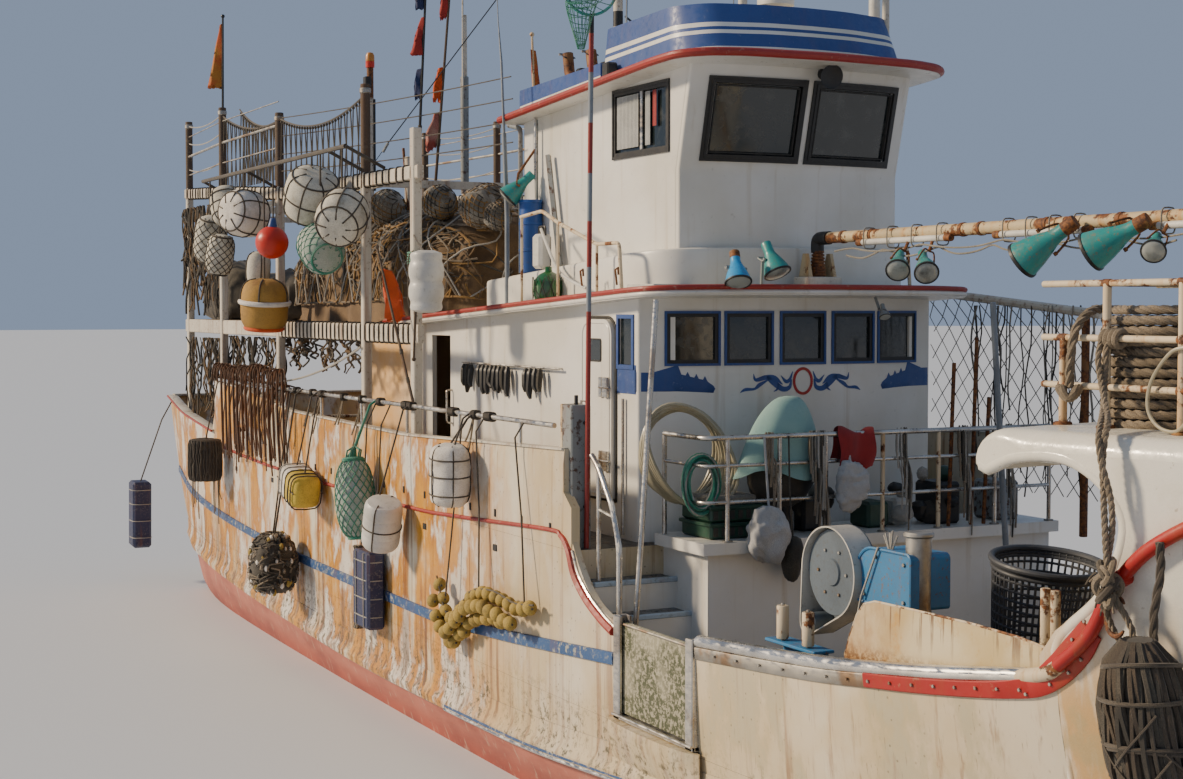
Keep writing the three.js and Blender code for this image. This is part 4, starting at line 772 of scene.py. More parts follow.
BLUE = (0.028, 0.075, 0.26)
LOOKS = {
    "topside": (topside, {}),
    "bottom": (bottom, {}),
    "gelcoat": (gelcoat, {}),
    "white_bow": (white_bow, {}),
    "stainless": (bare_metal, {}),
    "bright_pipe": (bare_metal, {"tone": (0.74, 0.73, 0.70), "share": 0.15, "rough": 0.2}),
    "worn_steel": (bare_metal, {"tone": (0.42, 0.40, 0.36), "share": 0.7, "rough": 0.42}),
    "bronze": (bare_metal, {"tone": (0.42, 0.25, 0.10), "stain": (0.08, 0.10, 0.06), "share": 0.5}),
    "rail_grey": (painted, {"coat": (0.27, 0.30, 0.33), "worn": (0.30, 0.24, 0.16), "wear": 0.8,
                            "streaks": 0.5}),
    "splash": (streaked, {}),
    "rusty_cream": (rusty, {"coat": (0.62, 0.52, 0.36), "share": 0.38}),
    "rusty_brown": (rusty, {"coat": (0.20, 0.09, 0.03), "share": 0.9}),
    "stripe_blue": (painted, {"coat": (0.03, 0.09, 0.24), "worn": (0.34, 0.34, 0.30), "wear": 0.6,
                              "streaks": 0.25}),
    "trim_blue": (painted, {"coat": BLUE, "worn": (0.20, 0.24, 0.32), "wear": 0.25, "streaks": 0.1}),
    "trim_red": (painted, {"coat": (0.34, 0.028, 0.02), "worn": (0.40, 0.24, 0.18), "wear": 0.4,
                           "streaks": 0.15}),
    "rail_red": (painted, {"coat": (0.40, 0.010, 0.008), "worn": (0.34, 0.20, 0.12), "wear": 0.3,
                           "streaks": 0.4, "rough": 0.42}),
    "white_paint": (painted, {"coat": (0.62, 0.57, 0.47), "worn": (0.20, 0.13, 0.07), "wear": 0.5,
                              "streaks": 0.55, "grain": 3.0}),
    "grey_paint": (painted, {"coat": (0.25, 0.27, 0.27), "worn": DARK_RUST, "wear": 0.6, "streaks": 0.5}),
    "grey_step": (painted, {"coat": (0.17, 0.18, 0.18), "worn": (0.06, 0.055, 0.05), "wear": 0.8,
                            "grain": 3.5}),
    "pale_edge": (painted, {"coat": (0.40, 0.50, 0.58), "worn": (0.2, 0.22, 0.22), "wear": 0.6}),
    "deck": (painted, {"coat": (0.16, 0.14, 0.11), "worn": (0.07, 0.06, 0.05), "wear": 0.7, "rough": 0.7}),
    "plank": (painted, {"coat": (0.27, 0.19, 0.11), "worn": (0.10, 0.08, 0.055), "wear": 0.8,
                        "rough": 0.75}),
    "hauler_blue": (painted, {"coat": (0.035, 0.20, 0.42), "worn": (0.16, 0.10, 0.06), "wear": 0.5,
                              "streaks": 0.3, "grain": 4.0}),
    "teal": (painted, {"coat": (0.02, 0.27, 0.26), "worn": (0.22, 0.14, 0.07), "wear": 0.5, "streaks": 0.2,
                       "grain": 4.0, "rough": 0.35}),
    "barrel_blue": (plastic, {"tone": (0.015, 0.08, 0.32)}),
    "white_plastic": (plastic, {"tone": (0.66, 0.65, 0.60)}),
    "mast_grey": (plastic, {"tone": (0.22, 0.25, 0.28), "rough": 0.5}),
    "black": (plastic, {"tone": (0.02, 0.02, 0.02), "rough": 0.45, "dirt": (0.09, 0.08, 0.07)}),
    "rubber": (plastic, {"tone": (0.035, 0.033, 0.03), "rough": 0.7, "dirt": (0.12, 0.10, 0.08)}),
    # Window glass: opaque and near black, painted shade for the rooms behind it.
    "glass": (glass, {}),
    "bottle_green": (glass, {"tone": (0.01, 0.10, 0.02)}),
    "curtain": (fabric, {"tone": (0.42, 0.43, 0.42), "other": (0.30, 0.31, 0.30)}),
    "foam": (foam, {}),
    "foam_white": (foam, {"tone": (0.74, 0.70, 0.63), "dirt": (0.40, 0.33, 0.24)}),
    "foam_yellow": (foam, {"tone": (0.62, 0.46, 0.06), "dirt": (0.22, 0.14, 0.03)}),
    "foam_dark": (foam, {"tone": (0.035, 0.03, 0.025), "dirt": (0.12, 0.09, 0.05)}),
    "float_olive": (foam, {"tone": (0.40, 0.28, 0.06), "dirt": (0.12, 0.08, 0.02)}),
    "float_ochre": (foam, {"tone": (0.42, 0.24, 0.05), "dirt": (0.16, 0.08, 0.03)}),
    "fender_dark": (fabric, {"tone": (0.055, 0.042, 0.030), "other": (0.11, 0.08, 0.05)}),
    "ball_red": (plastic, {"tone": (0.68, 0.03, 0.01), "rough": 0.35, "dirt": (0.3, 0.05, 0.02)}),
    "flag_orange": (fabric, {"tone": (0.78, 0.11, 0.01), "other": (0.66, 0.07, 0.01)}),
    "flag_red": (fabric, {"tone": (0.42, 0.03, 0.02), "other": (0.30, 0.02, 0.02)}),
    "flag_navy": (fabric, {"tone": (0.02, 0.03, 0.10), "other": (0.03, 0.05, 0.15)}),
    "flag_yellow": (fabric, {"tone": (0.52, 0.09, 0.015), "other": (0.52, 0.26, 0.03)}),
    "cloth_red": (fabric, {"tone": (0.36, 0.02, 0.02), "other": (0.22, 0.015, 0.015)}),
    "cloth_white": (fabric, {"tone": (0.50, 0.50, 0.49), "other": (0.36, 0.36, 0.36)}),
    "tarp_aqua": (fabric, {"tone": (0.30, 0.50, 0.46), "other": (0.25, 0.45, 0.43), "weave": 420.0}),
    "net_brown": (fabric, {"tone": (0.15, 0.09, 0.04), "other": (0.26, 0.16, 0.07)}),
    "net_dark": (fabric, {"tone": (0.045, 0.04, 0.032), "other": (0.10, 0.085, 0.06)}),
    "net_green": (fabric, {"tone": (0.03, 0.26, 0.17), "other": (0.16, 0.33, 0.24)}),
    "net_grey": (fabric, {"tone": (0.24, 0.22, 0.18), "other": (0.36, 0.33, 0.27)}),
    "rope_brown": (fabric, {"tone": (0.20, 0.155, 0.10), "other": (0.30, 0.24, 0.17)}),
    "rope_white": (fabric, {"tone": (0.45, 0.43, 0.38), "other": (0.33, 0.31, 0.27)}),
    "rope_dark": (fabric, {"tone": (0.07, 0.055, 0.04), "other": (0.12, 0.10, 0.07)}),
    "net_ochre": (fabric, {"tone": (0.36, 0.20, 0.05), "other": (0.22, 0.12, 0.04)}),
    "net_pale": (fabric, {"tone": (0.50, 0.53, 0.47), "other": (0.30, 0.42, 0.34)}),
    "dark_wood": (painted, {"coat": (0.09, 0.06, 0.04), "worn": (0.16, 0.12, 0.08), "wear": 0.6,
                            "rough": 0.75}),
    "navy_board": (painted, {"coat": (0.02, 0.03, 0.09), "worn": (0.10, 0.10, 0.12), "wear": 0.6,
                             "grain": 4.0}),
    "iron_dark": (painted, {"coat": (0.085, 0.040, 0.020), "worn": (0.17, 0.065, 0.02), "wear": 0.6,
                            "rough": 0.7}),
    "boom_cream": (rusty, {"coat": (0.50, 0.40, 0.24), "share": 0.5}),
    "basket_grey": (plastic, {"tone": (0.055, 0.06, 0.07), "rough": 0.5, "dirt": (0.16, 0.15, 0.12)}),
    "lamp_azure": (painted, {"coat": (0.03, 0.30, 0.62), "worn": (0.18, 0.10, 0.05), "wear": 0.4,
                             "grain": 4.0, "rough": 0.3}),
    "lamp_amber": (plastic, {"tone": (0.62, 0.24, 0.03), "rough": 0.3}),
    "flag_pink": (fabric, {"tone": (0.42, 0.08, 0.06), "other": (0.62, 0.42, 0.34)}),
    "lens": (glass, {"tone": (0.34, 0.36, 0.33), "rough": 0.15}),
    "pole_red": (painted, {"coat": (0.28, 0.03, 0.025), "worn": (0.2, 0.15, 0.12), "wear": 0.4}),
    "crate_green": (plastic, {"tone": (0.02, 0.07, 0.045)}),
    "hose_pale": (plastic, {"tone": (0.42, 0.38, 0.26), "rough": 0.35}),
    "orange_gear": (plastic, {"tone": (0.50, 0.09, 0.02)}),
    # The hauler guard: its pale rim is painted light. The dark blue-grey of the sheave and of the guard's
    # face is partly their own colour and partly painted shade.
    "pale_belt": (plastic, {"tone": (0.56, 0.54, 0.48), "share": 0.5}),
    "sheave_blue": (plastic, {"tone": (0.10, 0.13, 0.16), "rough": 0.5, "share": 0.6}),
    "gate_cream": (painted, {"coat": (0.42, 0.39, 0.28), "worn": (0.06, 0.07, 0.03), "wear": 1.0,
                             "streaks": 0.3, "grain": 3.0, "stain": (0.13, 0.13, 0.06)}),
}
MADE = {}


def material_of(name):
    if name not in MADE:
        maker, settings = LOOKS[name]
        MADE[name] = maker(name, **settings)
    return MADE[name]


# Hull stations. u is a station's x at the well deck, and it leans by lean (x per z). keel and rail are
# heights. half are the half breadths at the keel, 0.9 keel, 0.5 keel, 0.15, the rail, 1.15, 2.6 and 5.0.
STATIONS = [
    {"u": -12.9, "lean": -0.5, "keel": -0.15, "rail": 0.92,
     "half": (0.06, 1.2, 1.85, 2.06, 2.15, 2.2, 2.25, 2.25)},
    {"u": -11.5, "lean": -0.3, "keel": -0.4, "rail": 0.85,
     "half": (0.06, 1.2, 1.95, 2.25, 2.38, 2.41, 2.43, 2.43)},
    {"u": -9.5, "lean": -0.1, "keel": -0.8, "rail": 0.74,
     "half": (0.06, 1.2, 2.05, 2.35, 2.5, 2.52, 2.54, 2.54)},
    {"u": -6.0, "lean": 0, "keel": -1.35, "rail": 0.61,
     "half": (0.06, 1.2, 2.1, 2.42, 2.56, 2.58, 2.6, 2.6)},
    {"u": -2.0, "lean": 0, "keel": -1.6, "rail": 0.52,
     "half": (0.06, 1.2, 2.15, 2.45, 2.58, 2.6, 2.6, 2.6)},
    {"u": 2.0, "lean": 0, "keel": -1.6, "rail": 0.57, "half": (0.06, 1.15, 2.1, 2.43, 2.58, 2.6, 2.6, 2.6)},
    {"u": 5.0, "lean": 0.05, "keel": -1.55, "rail": 0.73,
     "half": (0.06, 1.0, 1.9, 2.31, 2.53, 2.57, 2.6, 2.6)},
    {"u": 7.5, "lean": 0.12, "keel": -1.45, "rail": 0.86,
     "half": (0.06, 0.75, 1.5, 2.02, 2.38, 2.44, 2.56, 2.6)},
    {"u": 9.4, "lean": 0.2, "keel": -1.28, "rail": 0.95,
     "half": (0.06, 0.45, 1.0, 1.5, 1.96, 2.06, 2.3, 2.43)},
    {"u": 10.7, "lean": 0.32, "keel": -1.0, "rail": 1.0,
     "half": (0.06, 0.25, 0.6, 0.95, 1.35, 1.48, 1.85, 2.1)},
    {"u": 11.6, "lean": 0.42, "keel": -0.6, "rail": 1.02,
     "half": (0.06, 0.12, 0.28, 0.48, 0.76, 0.85, 1.2, 1.45)},
    {"u": 12.15, "lean": 0.5, "keel": -0.15, "rail": 1.04,
     "half": (0.06, 0.062, 0.066, 0.07, 0.076, 0.08, 0.09, 0.11)},
]
STATION_U = np.array([s["u"] for s in STATIONS])
STATION_ROWS = np.array([(s["lean"], s["keel"], s["rail"], *s["half"]) for s in STATIONS])
FINE_U = np.linspace(-12.9, 12.15, 252)
FINE_Z = np.linspace(-1.7, 5.2, 139)
FINE_ROWS = smooth(STATION_U, STATION_ROWS, FINE_U)


def levels_of(row):
    keel, rail = row[1], row[2]
    return [keel, keel * 0.9, keel * 0.5, 0.15, rail, WELL_DECK, MAIN_DECK, 5.0]


HALF_GRID = np.array([smooth(levels_of(row), row[3:], FINE_Z) for row in FINE_ROWS])


def hull_half(u, z):
    """The half breadth at a station and height."""
    u = np.asarray(u, float)
    z = np.asarray(z, float)
    a = np.clip((u - FINE_U[0]) / (FINE_U[1] - FINE_U[0]), 0, len(FINE_U) - 1.001)
    b = np.clip((z - FINE_Z[0]) / (FINE_Z[1] - FINE_Z[0]), 0, len(FINE_Z) - 1.001)
    i, j = a.astype(int), b.astype(int)
    p, q = a - i, b - j
    low = HALF_GRID[i, j] * (1 - p) + HALF_GRID[i + 1, j] * p
    high = HALF_GRID[i, j + 1] * (1 - p) + HALF_GRID[i + 1, j + 1] * p
    return low * (1 - q) + high * q


def lean_at(u):
    return np.interp(u, FINE_U, FINE_ROWS[:, 0])


def rail_at(u):
    return np.interp(u, FINE_U, FINE_ROWS[:, 2])


def side_at(x, z):
    """The half breadth at a place and height."""
    x = np.asarray(x, float)
    z = np.asarray(z, float)
    u = x.copy() if x.ndim else x
    for unused in range(6):
        u = x - lean_at(u) * (z - WELL_DECK)
    return hull_half(u, z)


def on_side(x, z, out=0.0):
    """A point on the starboard side, out metres outboard of it."""
    return np.array([x, -float(side_at(x, z)) - out, z])


def transom_x(z):
    return -12.9 - 0.5 * (z - WELL_DECK)


def stem_x(z):
    return 12.15 + 0.5 * (z - WELL_DECK)


# Hull and topsides

def make_hull():
    """The underbody and lower topside, painted red below the rub rail."""
    columns = np.concatenate([np.linspace(-12.9, -9, 22), np.linspace(-8.6, 5, 35),
                              np.linspace(5.3, 12.15, 46)])
    rings = []
    for u in columns:
        keel = np.interp(u, FINE_U, FINE_ROWS[:, 1])
        rail = rail_at(u)
        heights = np.concatenate([[keel], np.linspace(keel * 0.95, rail, 15),
                                  np.linspace(rail, WELL_DECK, 4)[1:]])
        x = u + lean_at(u) * (heights - WELL_DECK)
        half = hull_half(u, heights)
        half[0] = 0.06
        starboard = np.stack([x, -half, heights], 1)
        rings.append(np.vstack([starboard, (starboard * (1, -1, 1))[::-1]]))
    count = len(rings[0])
    verts, faces = loft(rings)
    paints = []
    for face in faces[:-2]:
        place = face[0] % count
        row = min(place, count - 1 - (face[1] % count)) if place != count // 2 - 1 else count // 2
        paints.append(0 if row < 15 else 1 if row < count // 2 - 1 else 2)
    paints += [0, 0]
    hull = Piece("hull_shell", "bottom", "topside", "deck", slot="hull_paint", replaces=["hull"])
    hull.add((verts, faces), paints).done()


def side_plate(low, high, aft, fore, columns, rows=8, dense=1.0):
    """A plate along the starboard side. low and high are heights by x, aft and fore are places by height."""
    share = np.linspace(0, 1, columns) ** dense
    middle_z = 0.5 * (low(aft(0)) + high(fore(0)))
    outer = []
    inner = []
    for s in share:
        x0 = aft(middle_z) + s * (fore(middle_z) - aft(middle_z))
        z = np.linspace(low(x0), high(x0), rows)
        x = np.array([aft(h) + s * (fore(h) - aft(h)) for h in z])
        half = side_at(x, z)
        soft = 0.012 * (np.arange(rows) == rows - 1)
        outer.append(np.stack([x, -half + soft, z], 1))
        inner.append(np.stack([x, -half + BULWARK - soft, z], 1))
    return shell(np.array(outer).swapaxes(0, 1), np.array(inner).swapaxes(0, 1))


def make_afterbody():
    """The raised after body between the well deck's height and the main deck."""
    share = np.linspace(0, 1, 70) ** 1.25
    rings = []
    for s in share:
        z = np.linspace(WELL_DECK + 0.002, MAIN_DECK, 8)
        x = transom_x(z) + s * (WELL_AFT - transom_x(z))
        starboard = np.stack([x, -side_at(x, z), z], 1)
        rings.append(np.vstack([starboard, (starboard * (1, -1, 1))[::-1]]))
    count = len(rings[0])
    verts, faces = loft(rings)
    decks = [1 if face[0] % count == count // 2 - 1 else 0 for face in faces[:-2]] + [0, 0]
    body = Piece("afterbody_shell", "topside", "deck", "rusty_cream", slot="topside_paint",
                 replaces=["raised_afterbody"])
    body.add((verts, faces), decks)
    for side in (-1, 1):
        add_bitt(body, -13.3, side * 1.38, MAIN_DECK)
    body.add(rod((-13.22, -1.62, 2.89), (-13.22, 1.62, 2.89), 0.03, 12), 2)
    body.done()


def add_bitt(piece, x, y, deck):
    piece.add(block((x, y - 0.08, deck - 0.02), (x + 0.16, y + 0.08, deck + 0.43), 0.02), 2)
    piece.add(block((x - 0.03, y - 0.11, deck + 0.36), (x + 0.19, y + 0.11, deck + 0.40), 0.01), 2)


AFT_TOP = [(-13.975, 3.3), (-12.0, 3.08), (-9.76, 2.92), (-9.7, 3.72), (-7.7, 3.68), (-5.5, 3.47),
           (-1.0, 3.42), (3.29, 3.55)]
FORE_TOP = [(5.79, 2.08), (7.4, 2.2), (8.6, 2.33), (9.8, 2.5)]
GATE_CURVE = [(3.45, 2.7), (3.6, 2.48), (3.85, 2.24), (4.1, 2.12), (4.35, 2.06)]
SCUPPER_X = [-12.0, -10.5, -8.5, -6.5, -4.5, -2.5, -0.5, 1.5]


def deck_level(x):
    return MAIN_DECK + 0.002


def aft_top(x):
    return float(from_table(AFT_TOP, x))


def make_after_bulwarks():
    """The bulwarks along the after deck, with white caps and a red edge, and the one across the stern."""
    low_fore = -9.73
    for side, word in ((-1, "starboard"), (1, "port")):
        piece = Piece(f"aft_bulwark_{word}", "topside", "trim_red", "white_paint", slot="topside_paint",
                      replaces=[f"bulwark_aft_{word}"])
        parts = [
            (side_plate(deck_level, aft_top, transom_x, lambda z: low_fore, 26, dense=1.3), 0),
            (side_plate(deck_level, lambda x: float(from_table(AFT_TOP, max(x, -9.69))),
                        lambda z: low_fore + 0.003, lambda z: 3.29 + 0.17 * (z < 3.1), 50), 0),
        ]
        cap = [on_side(x, aft_top(x), -0.045) + (0, 0, 0.012) for x in np.linspace(-13.93, -9.78, 24)]
        parts.append((ribbon(cap, 0.17, 0.035), 2))
        edge = [on_side(x, aft_top(x) + 0.005, 0.045) for x in np.linspace(-13.93, -9.78, 24)]
        parts.append((tube(edge, 0.02, 6), 1))
        high = [on_side(x, aft_top(x), -0.045) + (0, 0, 0.004) for x in np.linspace(-9.68, 3.27, 40)]
        parts.append((ribbon(high, 0.115, 0.022), 2))
        for shape, paint in parts:
            piece.add(shape if side < 0 else mirrored(shape), paint)
        piece.done()
    stern = Piece("stern_bulwark", "topside", "white_paint", slot="topside_paint",
                  replaces=["bulwark_stern"])
    z0, z1 = MAIN_DECK + 0.002, 3.3
    outline = [(transom_x(z0), z0), (transom_x(z1), z1), (transom_x(z1) + BULWARK, z1),
               (transom_x(z0) + BULWARK, z0)]
    stern.add(flat_shape(outline, lambda u, v, w: (u, w - 2.155, v), 4.31))
    stern.add(block((transom_x(z1) - 0.03, -2.2, z1 + 0.002), (transom_x(z1) + 0.15, 2.2, z1 + 0.04),
                    0.012), 1)
    stern.done()


def ribbon(line, width, thick):
    """A flat strip that lies along a line, width across it and thick upwards."""
    line = np.asarray(line, float)
    side = np.array([0, width / 2, 0])
    lift = np.array([0, 0, thick / 2])
    rings = [[p - side - lift, p + side - lift, p + side + lift * 0.6, p + side * 0.85 + lift,
              p - side * 0.85 + lift, p - side + lift * 0.6] for p in line]
    return loft(rings)


def make_rub_rails():
    """The ledge along the hull at the top of the bottom paint, with its bright strip before amidships."""
    section = [(-0.075, -0.01), (-0.075, 0.07), (-0.055, 0.092), (0.02, 0.095), (0.055, 0.075),
               (0.09, 0.05), (0.16, 0.022), (0.26, 0.006), (0.26, -0.02), (0.0, -0.03)]
    for side, word in ((-1, "starboard"), (1, "port")):
        rail = Piece(f"rub_ledge_{word}", "rail_grey", "topside", "bright_pipe", "stripe_blue",
                     slot="rail_grey", replaces=[f"rub_rail_{word}"])
        rings = []
        for u in np.linspace(-12.9, 11.6, 110):
            rail_z = rail_at(u)
            ring = []
            for dz, out in section:
                z = rail_z + dz
                x = u + float(lean_at(u)) * (z - WELL_DECK)
                ring.append((x, side * (float(hull_half(u, z)) + out), z))
            rings.append(ring)
        verts, faces = loft(rings if side > 0 else [ring[::-1] for ring in rings])
        upper = {3, 4, 5, 6, 7} if side > 0 else {2, 3, 4, 5, 6}
        paints = [1 if face[0] % len(section) in upper else 0 for face in faces]
        rail.add((verts, faces), paints)
        strip = []
        for u in np.linspace(0.4, 11.5, 60):
            z = rail_at(u) - 0.055
            strip.append((u + float(lean_at(u)) * (z - WELL_DECK), side * (float(hull_half(u, z)) + 0.093),
                          z))
        rail.add(tube(strip, 0.018, 6), 2)
        band = [np.array(p) + (0, side * 0.004, 0.05) for p in strip]
        rail.add(ribbon(band, 0.008, 0.05), 3)
        rail.done()


STRIPE = [(-14.0, 2.15), (-11.2, 1.74), (-8.0, 1.56), (-4.8, 1.47), (-1.8, 1.45), (-0.3, 1.44), (1.8, 1.54),
          (2.9, 1.62), (4.34, 1.73)]
SEAM = [(-9.6, 2.72), (-6.0, 2.62), (-1.1, 2.59), (0.7, 2.64), (2.9, 2.75), (3.25, 2.72), (3.42, 2.6),
        (3.56, 2.38), (3.8, 2.2), (4.1, 2.06), (4.34, 1.98)]


def make_mouldings():
    """The blue strake along the side, and the red bead at the deck's height that sweeps down to the gate."""
    blue = Piece("blue_strakes", "stripe_blue", slot="blue_paint")
    xs, zs = zip(*STRIPE)
    line = []
    for x in np.linspace(-13.25, 4.34, 120):
        line.append(on_side(x, float(smooth(xs, zs, x)), 0.012))
    rings = [[p + (0, 0.02, -0.062), p + (0, -0.012, -0.055), p + (0, -0.018, 0), p + (0, -0.012, 0.055),
              p + (0, 0.02, 0.062)]
             for p in line]
    blue.both(loft(rings)).done()
    red = Piece("red_beads", "trim_red", "stainless", slot="blue_paint")
    line = []
    for x, z in flowing(SEAM, 8):
        line.append(on_side(x, z, 0.006))
    width = [0.022 + 0.026 * float(np.clip((p[0] - 3.2) / 0.3, 0, 1)) for p in line]
    red.both(tube(line, width, 7))
    edge = [p + (0.045, 0.004, 0.03) for p in line if p[0] > 3.42]
    red.both(tube(edge, 0.014, 6), 1)
    red.done()
    # Drain holes and scuppers: black blocks on the side whose black is painted shade for the dark insides of
    # the openings.
    drains = Piece("deck_drains", "black", slot="black_plastic")
    for x in np.linspace(-9.0, 3.0, 19):
        if -9.0 < x < 3.2:
            spot = on_side(x, 2.78, 0.002)
            drains.both(block(spot - (0.018, 0.01, 0.04), spot + (0.018, 0.012, 0.04), 0.006))
    for x in SCUPPER_X:
        spot = on_side(x + 0.16, 2.42 - 0.002 * x, 0.0)
        drains.both(block(spot - (0.05, 0.01, 0.035), spot + (0.05, 0.014, 0.035), 0.006))
    drains.done()


# Mooring rope

ROPE = 0.066
COIL = {"x": 9.95, "y": -1.45, "low": 4.121, "inner": 0.347, "outer": 0.413, "layers": 12}
COIL_START = 180.8
TURN_SWEEP = 320
STEP_SWEEP = 35
LAST_SWEEP = 219.2
TURN_STEPS = 26
STRANDS = 3
LINE = 0.045


def coil_line():
    """The coil's turns, each a little short of a full round, so that the steps between them never meet."""
    middle = np.array([COIL["x"], COIL["y"], 0])
    line = []
    angle = COIL_START
    radii = [COIL["outer"], COIL["inner"]]
    for layer in range(COIL["layers"]):
        height = COIL["low"] + ROPE * (layer + 0.5)
        for turn in (0, 1):
            last = layer == COIL["layers"] - 1 and turn == 1
            sweep = LAST_SWEEP if last else TURN_SWEEP
            for share in np.arange(1, TURN_STEPS + 1) / TURN_STEPS:
                step = min(1.0, max(0.0, (sweep * share - sweep + STEP_SWEEP) / STEP_SWEEP))
                step = step * step * (3 - 2 * step)
                radius, rise = radii[turn], 0.0
                if turn == 0:
                    radius += (radii[1] - radii[0]) * step
                elif not last:
                    rise = ROPE * step
                a = math.radians(angle + sweep * share)
                line.append(middle + (radius * math.cos(a), radius * math.sin(a), height + rise))
            angle += sweep
        radii.reverse()
    return line


def strands_along(line, radius, pitch):
    """The strands of a laid rope that follows a line, as one shape."""
    line = np.asarray(line, float)
    run = np.concatenate([[0], np.cumsum(np.linalg.norm(np.diff(line, axis=0), axis=1))])
    fine = np.linspace(0, run[-1], max(8, int(run[-1] / pitch * 7)))
    path = np.stack([np.interp(fine, run, line[:, k]) for k in range(3)], 1)
    along = np.gradient(path, axis=0)
    along = along / np.maximum(np.linalg.norm(along, axis=1), 1e-9)[:, None]
    side = np.cross(along, (0.31, 0.2, 0.93))
    side = side / np.maximum(np.linalg.norm(side, axis=1), 1e-9)[:, None]
    other = np.cross(along, side)
    shapes = []
    for k in range(STRANDS):
        turn = (fine / pitch * math.tau + k * math.tau / STRANDS)[:, None]
        shapes.append(tube(path + (side * np.cos(turn) + other * np.sin(turn)) * radius * 0.47,
                           radius * 0.53, 6))
    return shapes


def make_mooring_rope():
    """The heavy rope coiled inside its rack. Its tail hangs out over the rail and ends in a knot."""
    lead = [(9.53, -0.98, 4.154), (9.531, -1.1, 4.154), (9.534, -1.25, 4.154), (9.536, -1.38, 4.154),
            (9.537, -1.45, 4.154)]
    tail = flowing([(9.566, -1.605, 4.88), (9.60, -1.72, 4.885), (9.635, -1.83, 4.875), (9.66, -1.93, 4.83),
                    (9.675, -2.01, 4.74), (9.68, -2.045, 4.62), (9.675, -2.05, 4.5), (9.67, -2.045, 4.38)],
                   4)
    line = np.vstack([lead, coil_line(), tail])
    rope = Piece("mooring_rope", "rope_brown", slot="net", replaces=["rope_coil"])
    for shape in strands_along(line, ROPE / 2, 0.23):
        rope.add(shape)
    knot = Piece("rope_knot", "rope_brown", slot="net")
    for tilt in (0.0, 0.9, 1.8):
        loop = [(9.67 + 0.05 * math.cos(a), -2.05 + 0.045 * math.sin(a + tilt),
                 4.345 + 0.035 * math.sin(2 * a + tilt))
                for a in np.linspace(0, math.tau, 21)[:-1]]
        knot.add(tube(loop, 0.026, 8, closed=True))
    rope.done()
    knot.done()


def make_hanging_line():
    """The doubled line that hangs from the rack's rail over the bow's side, with its knot and iron hook."""
    middle = flowing([(9.92, -1.985, 4.70), (9.935, -2.02, 4.58), (9.97, -2.04, 4.43), (10.12, -2.16, 4.26),
                      (10.30, -2.33, 4.185), (10.38, -2.42, 4.10), (10.40, -2.43, 3.95),
                      (10.41, -2.405, 3.78), (10.42, -2.395, 3.6), (10.40, -2.38, 3.43),
                      (10.39, -2.38, 3.3)], 6)
    turn = np.linspace(0.0, 9.0, len(middle))
    swing = 0.026 * np.stack([np.cos(turn), 0.75 * np.sin(turn), 0.5 * np.sin(turn)], 1)
    eye = flowing([middle[-1] + swing[-1], (10.44, -2.37, 3.17), (10.52, -2.33, 3.03),
                   (10.545, -2.31, 2.94), (10.50, -2.30, 2.87), (10.42, -2.31, 2.90), (10.37, -2.34, 3.02),
                   (10.352, -2.37, 3.17), middle[-1] - swing[-1]], 6)
    line = np.vstack([middle + swing, eye[1:-1], (middle - swing)[::-1]])
    rope = Piece("hanging_line", "rope_brown", slot="net")
    for shape in strands_along(line, LINE / 2, 0.15):
        rope.add(shape)
    knot = Piece("line_knot", "rope_brown", "rope_dark", slot="net")
    wild = random.Random(71)
    centre = np.array([10.40, -2.375, 3.24])
    for k in range(7):
        start = wild.uniform(0, math.tau)
        loop = [centre + (0.062 * math.cos(a + start), 0.05 * math.sin(a),
                          0.07 * math.sin(a + k * 0.9) + 0.022 * (k - 3))
                for a in np.linspace(0, math.tau, 20)[:-1]]
        knot.add(tube(loop, wild.uniform(0.016, 0.024), 7, closed=True), k % 2)
    for k in range(26):
        start = centre + (wild.uniform(-0.05, 0.05), wild.uniform(-0.05, 0.03), wild.uniform(-0.1, 0.08))
        end = start + (wild.uniform(-0.09, 0.09), wild.uniform(-0.04, 0.03), wild.uniform(-0.16, -0.04))
        knot.add(tube(sagging(start, end, -0.015, 5), wild.uniform(0.004, 0.008), 5), k % 2)
    for k in range(4):
        hitch = [(9.90 + 0.04 * k + 0.036 * math.sin(a) * 0.2, -1.95 + 0.048 * math.cos(a),
                  4.70 + 0.048 * math.sin(a))
                 for a in np.linspace(0, math.tau, 16)[:-1]]
        knot.add(tube(hitch, 0.0215, 7, closed=True), 0)
    hook = Piece("line_hook", "rusty_brown", slot="rusty_plate")
    bend = [(10.43 + 0.085 * math.cos(a), -2.33 + 0.01 * math.sin(a), 3.03 + 0.115 * math.sin(a))
            for a in np.linspace(0.9, 5.6, 18)]
    hook.add(tube(bend, np.interp(np.linspace(0, 1, 18), [0, 0.1, 0.9, 1], [0.008, 0.017, 0.017, 0.008]),
                  8))
    rope.done()
    knot.done()
    hook.done()


# Bow

LIP = [(9.82, 2.72), (9.9, 2.85), (10.2, 3.13), (10.39, 3.55), (10.28, 3.8), (9.99, 3.96), (9.6, 3.95),
       (9.33, 3.85)]
NOSE_X = 9.26


def nose_drop(x):
    """How far the whaleback's deck has rolled down at its after edge."""
    t = min(1.0, max(0.0, (9.5 - x) / 0.24))
    return 0.22 * (1 - math.sqrt(max(0.0, 1 - t * t)))


def edge_roll(x):
    return 0.025 + 0.105 * min(1.0, max(0.0, (x - NOSE_X) / 0.4))


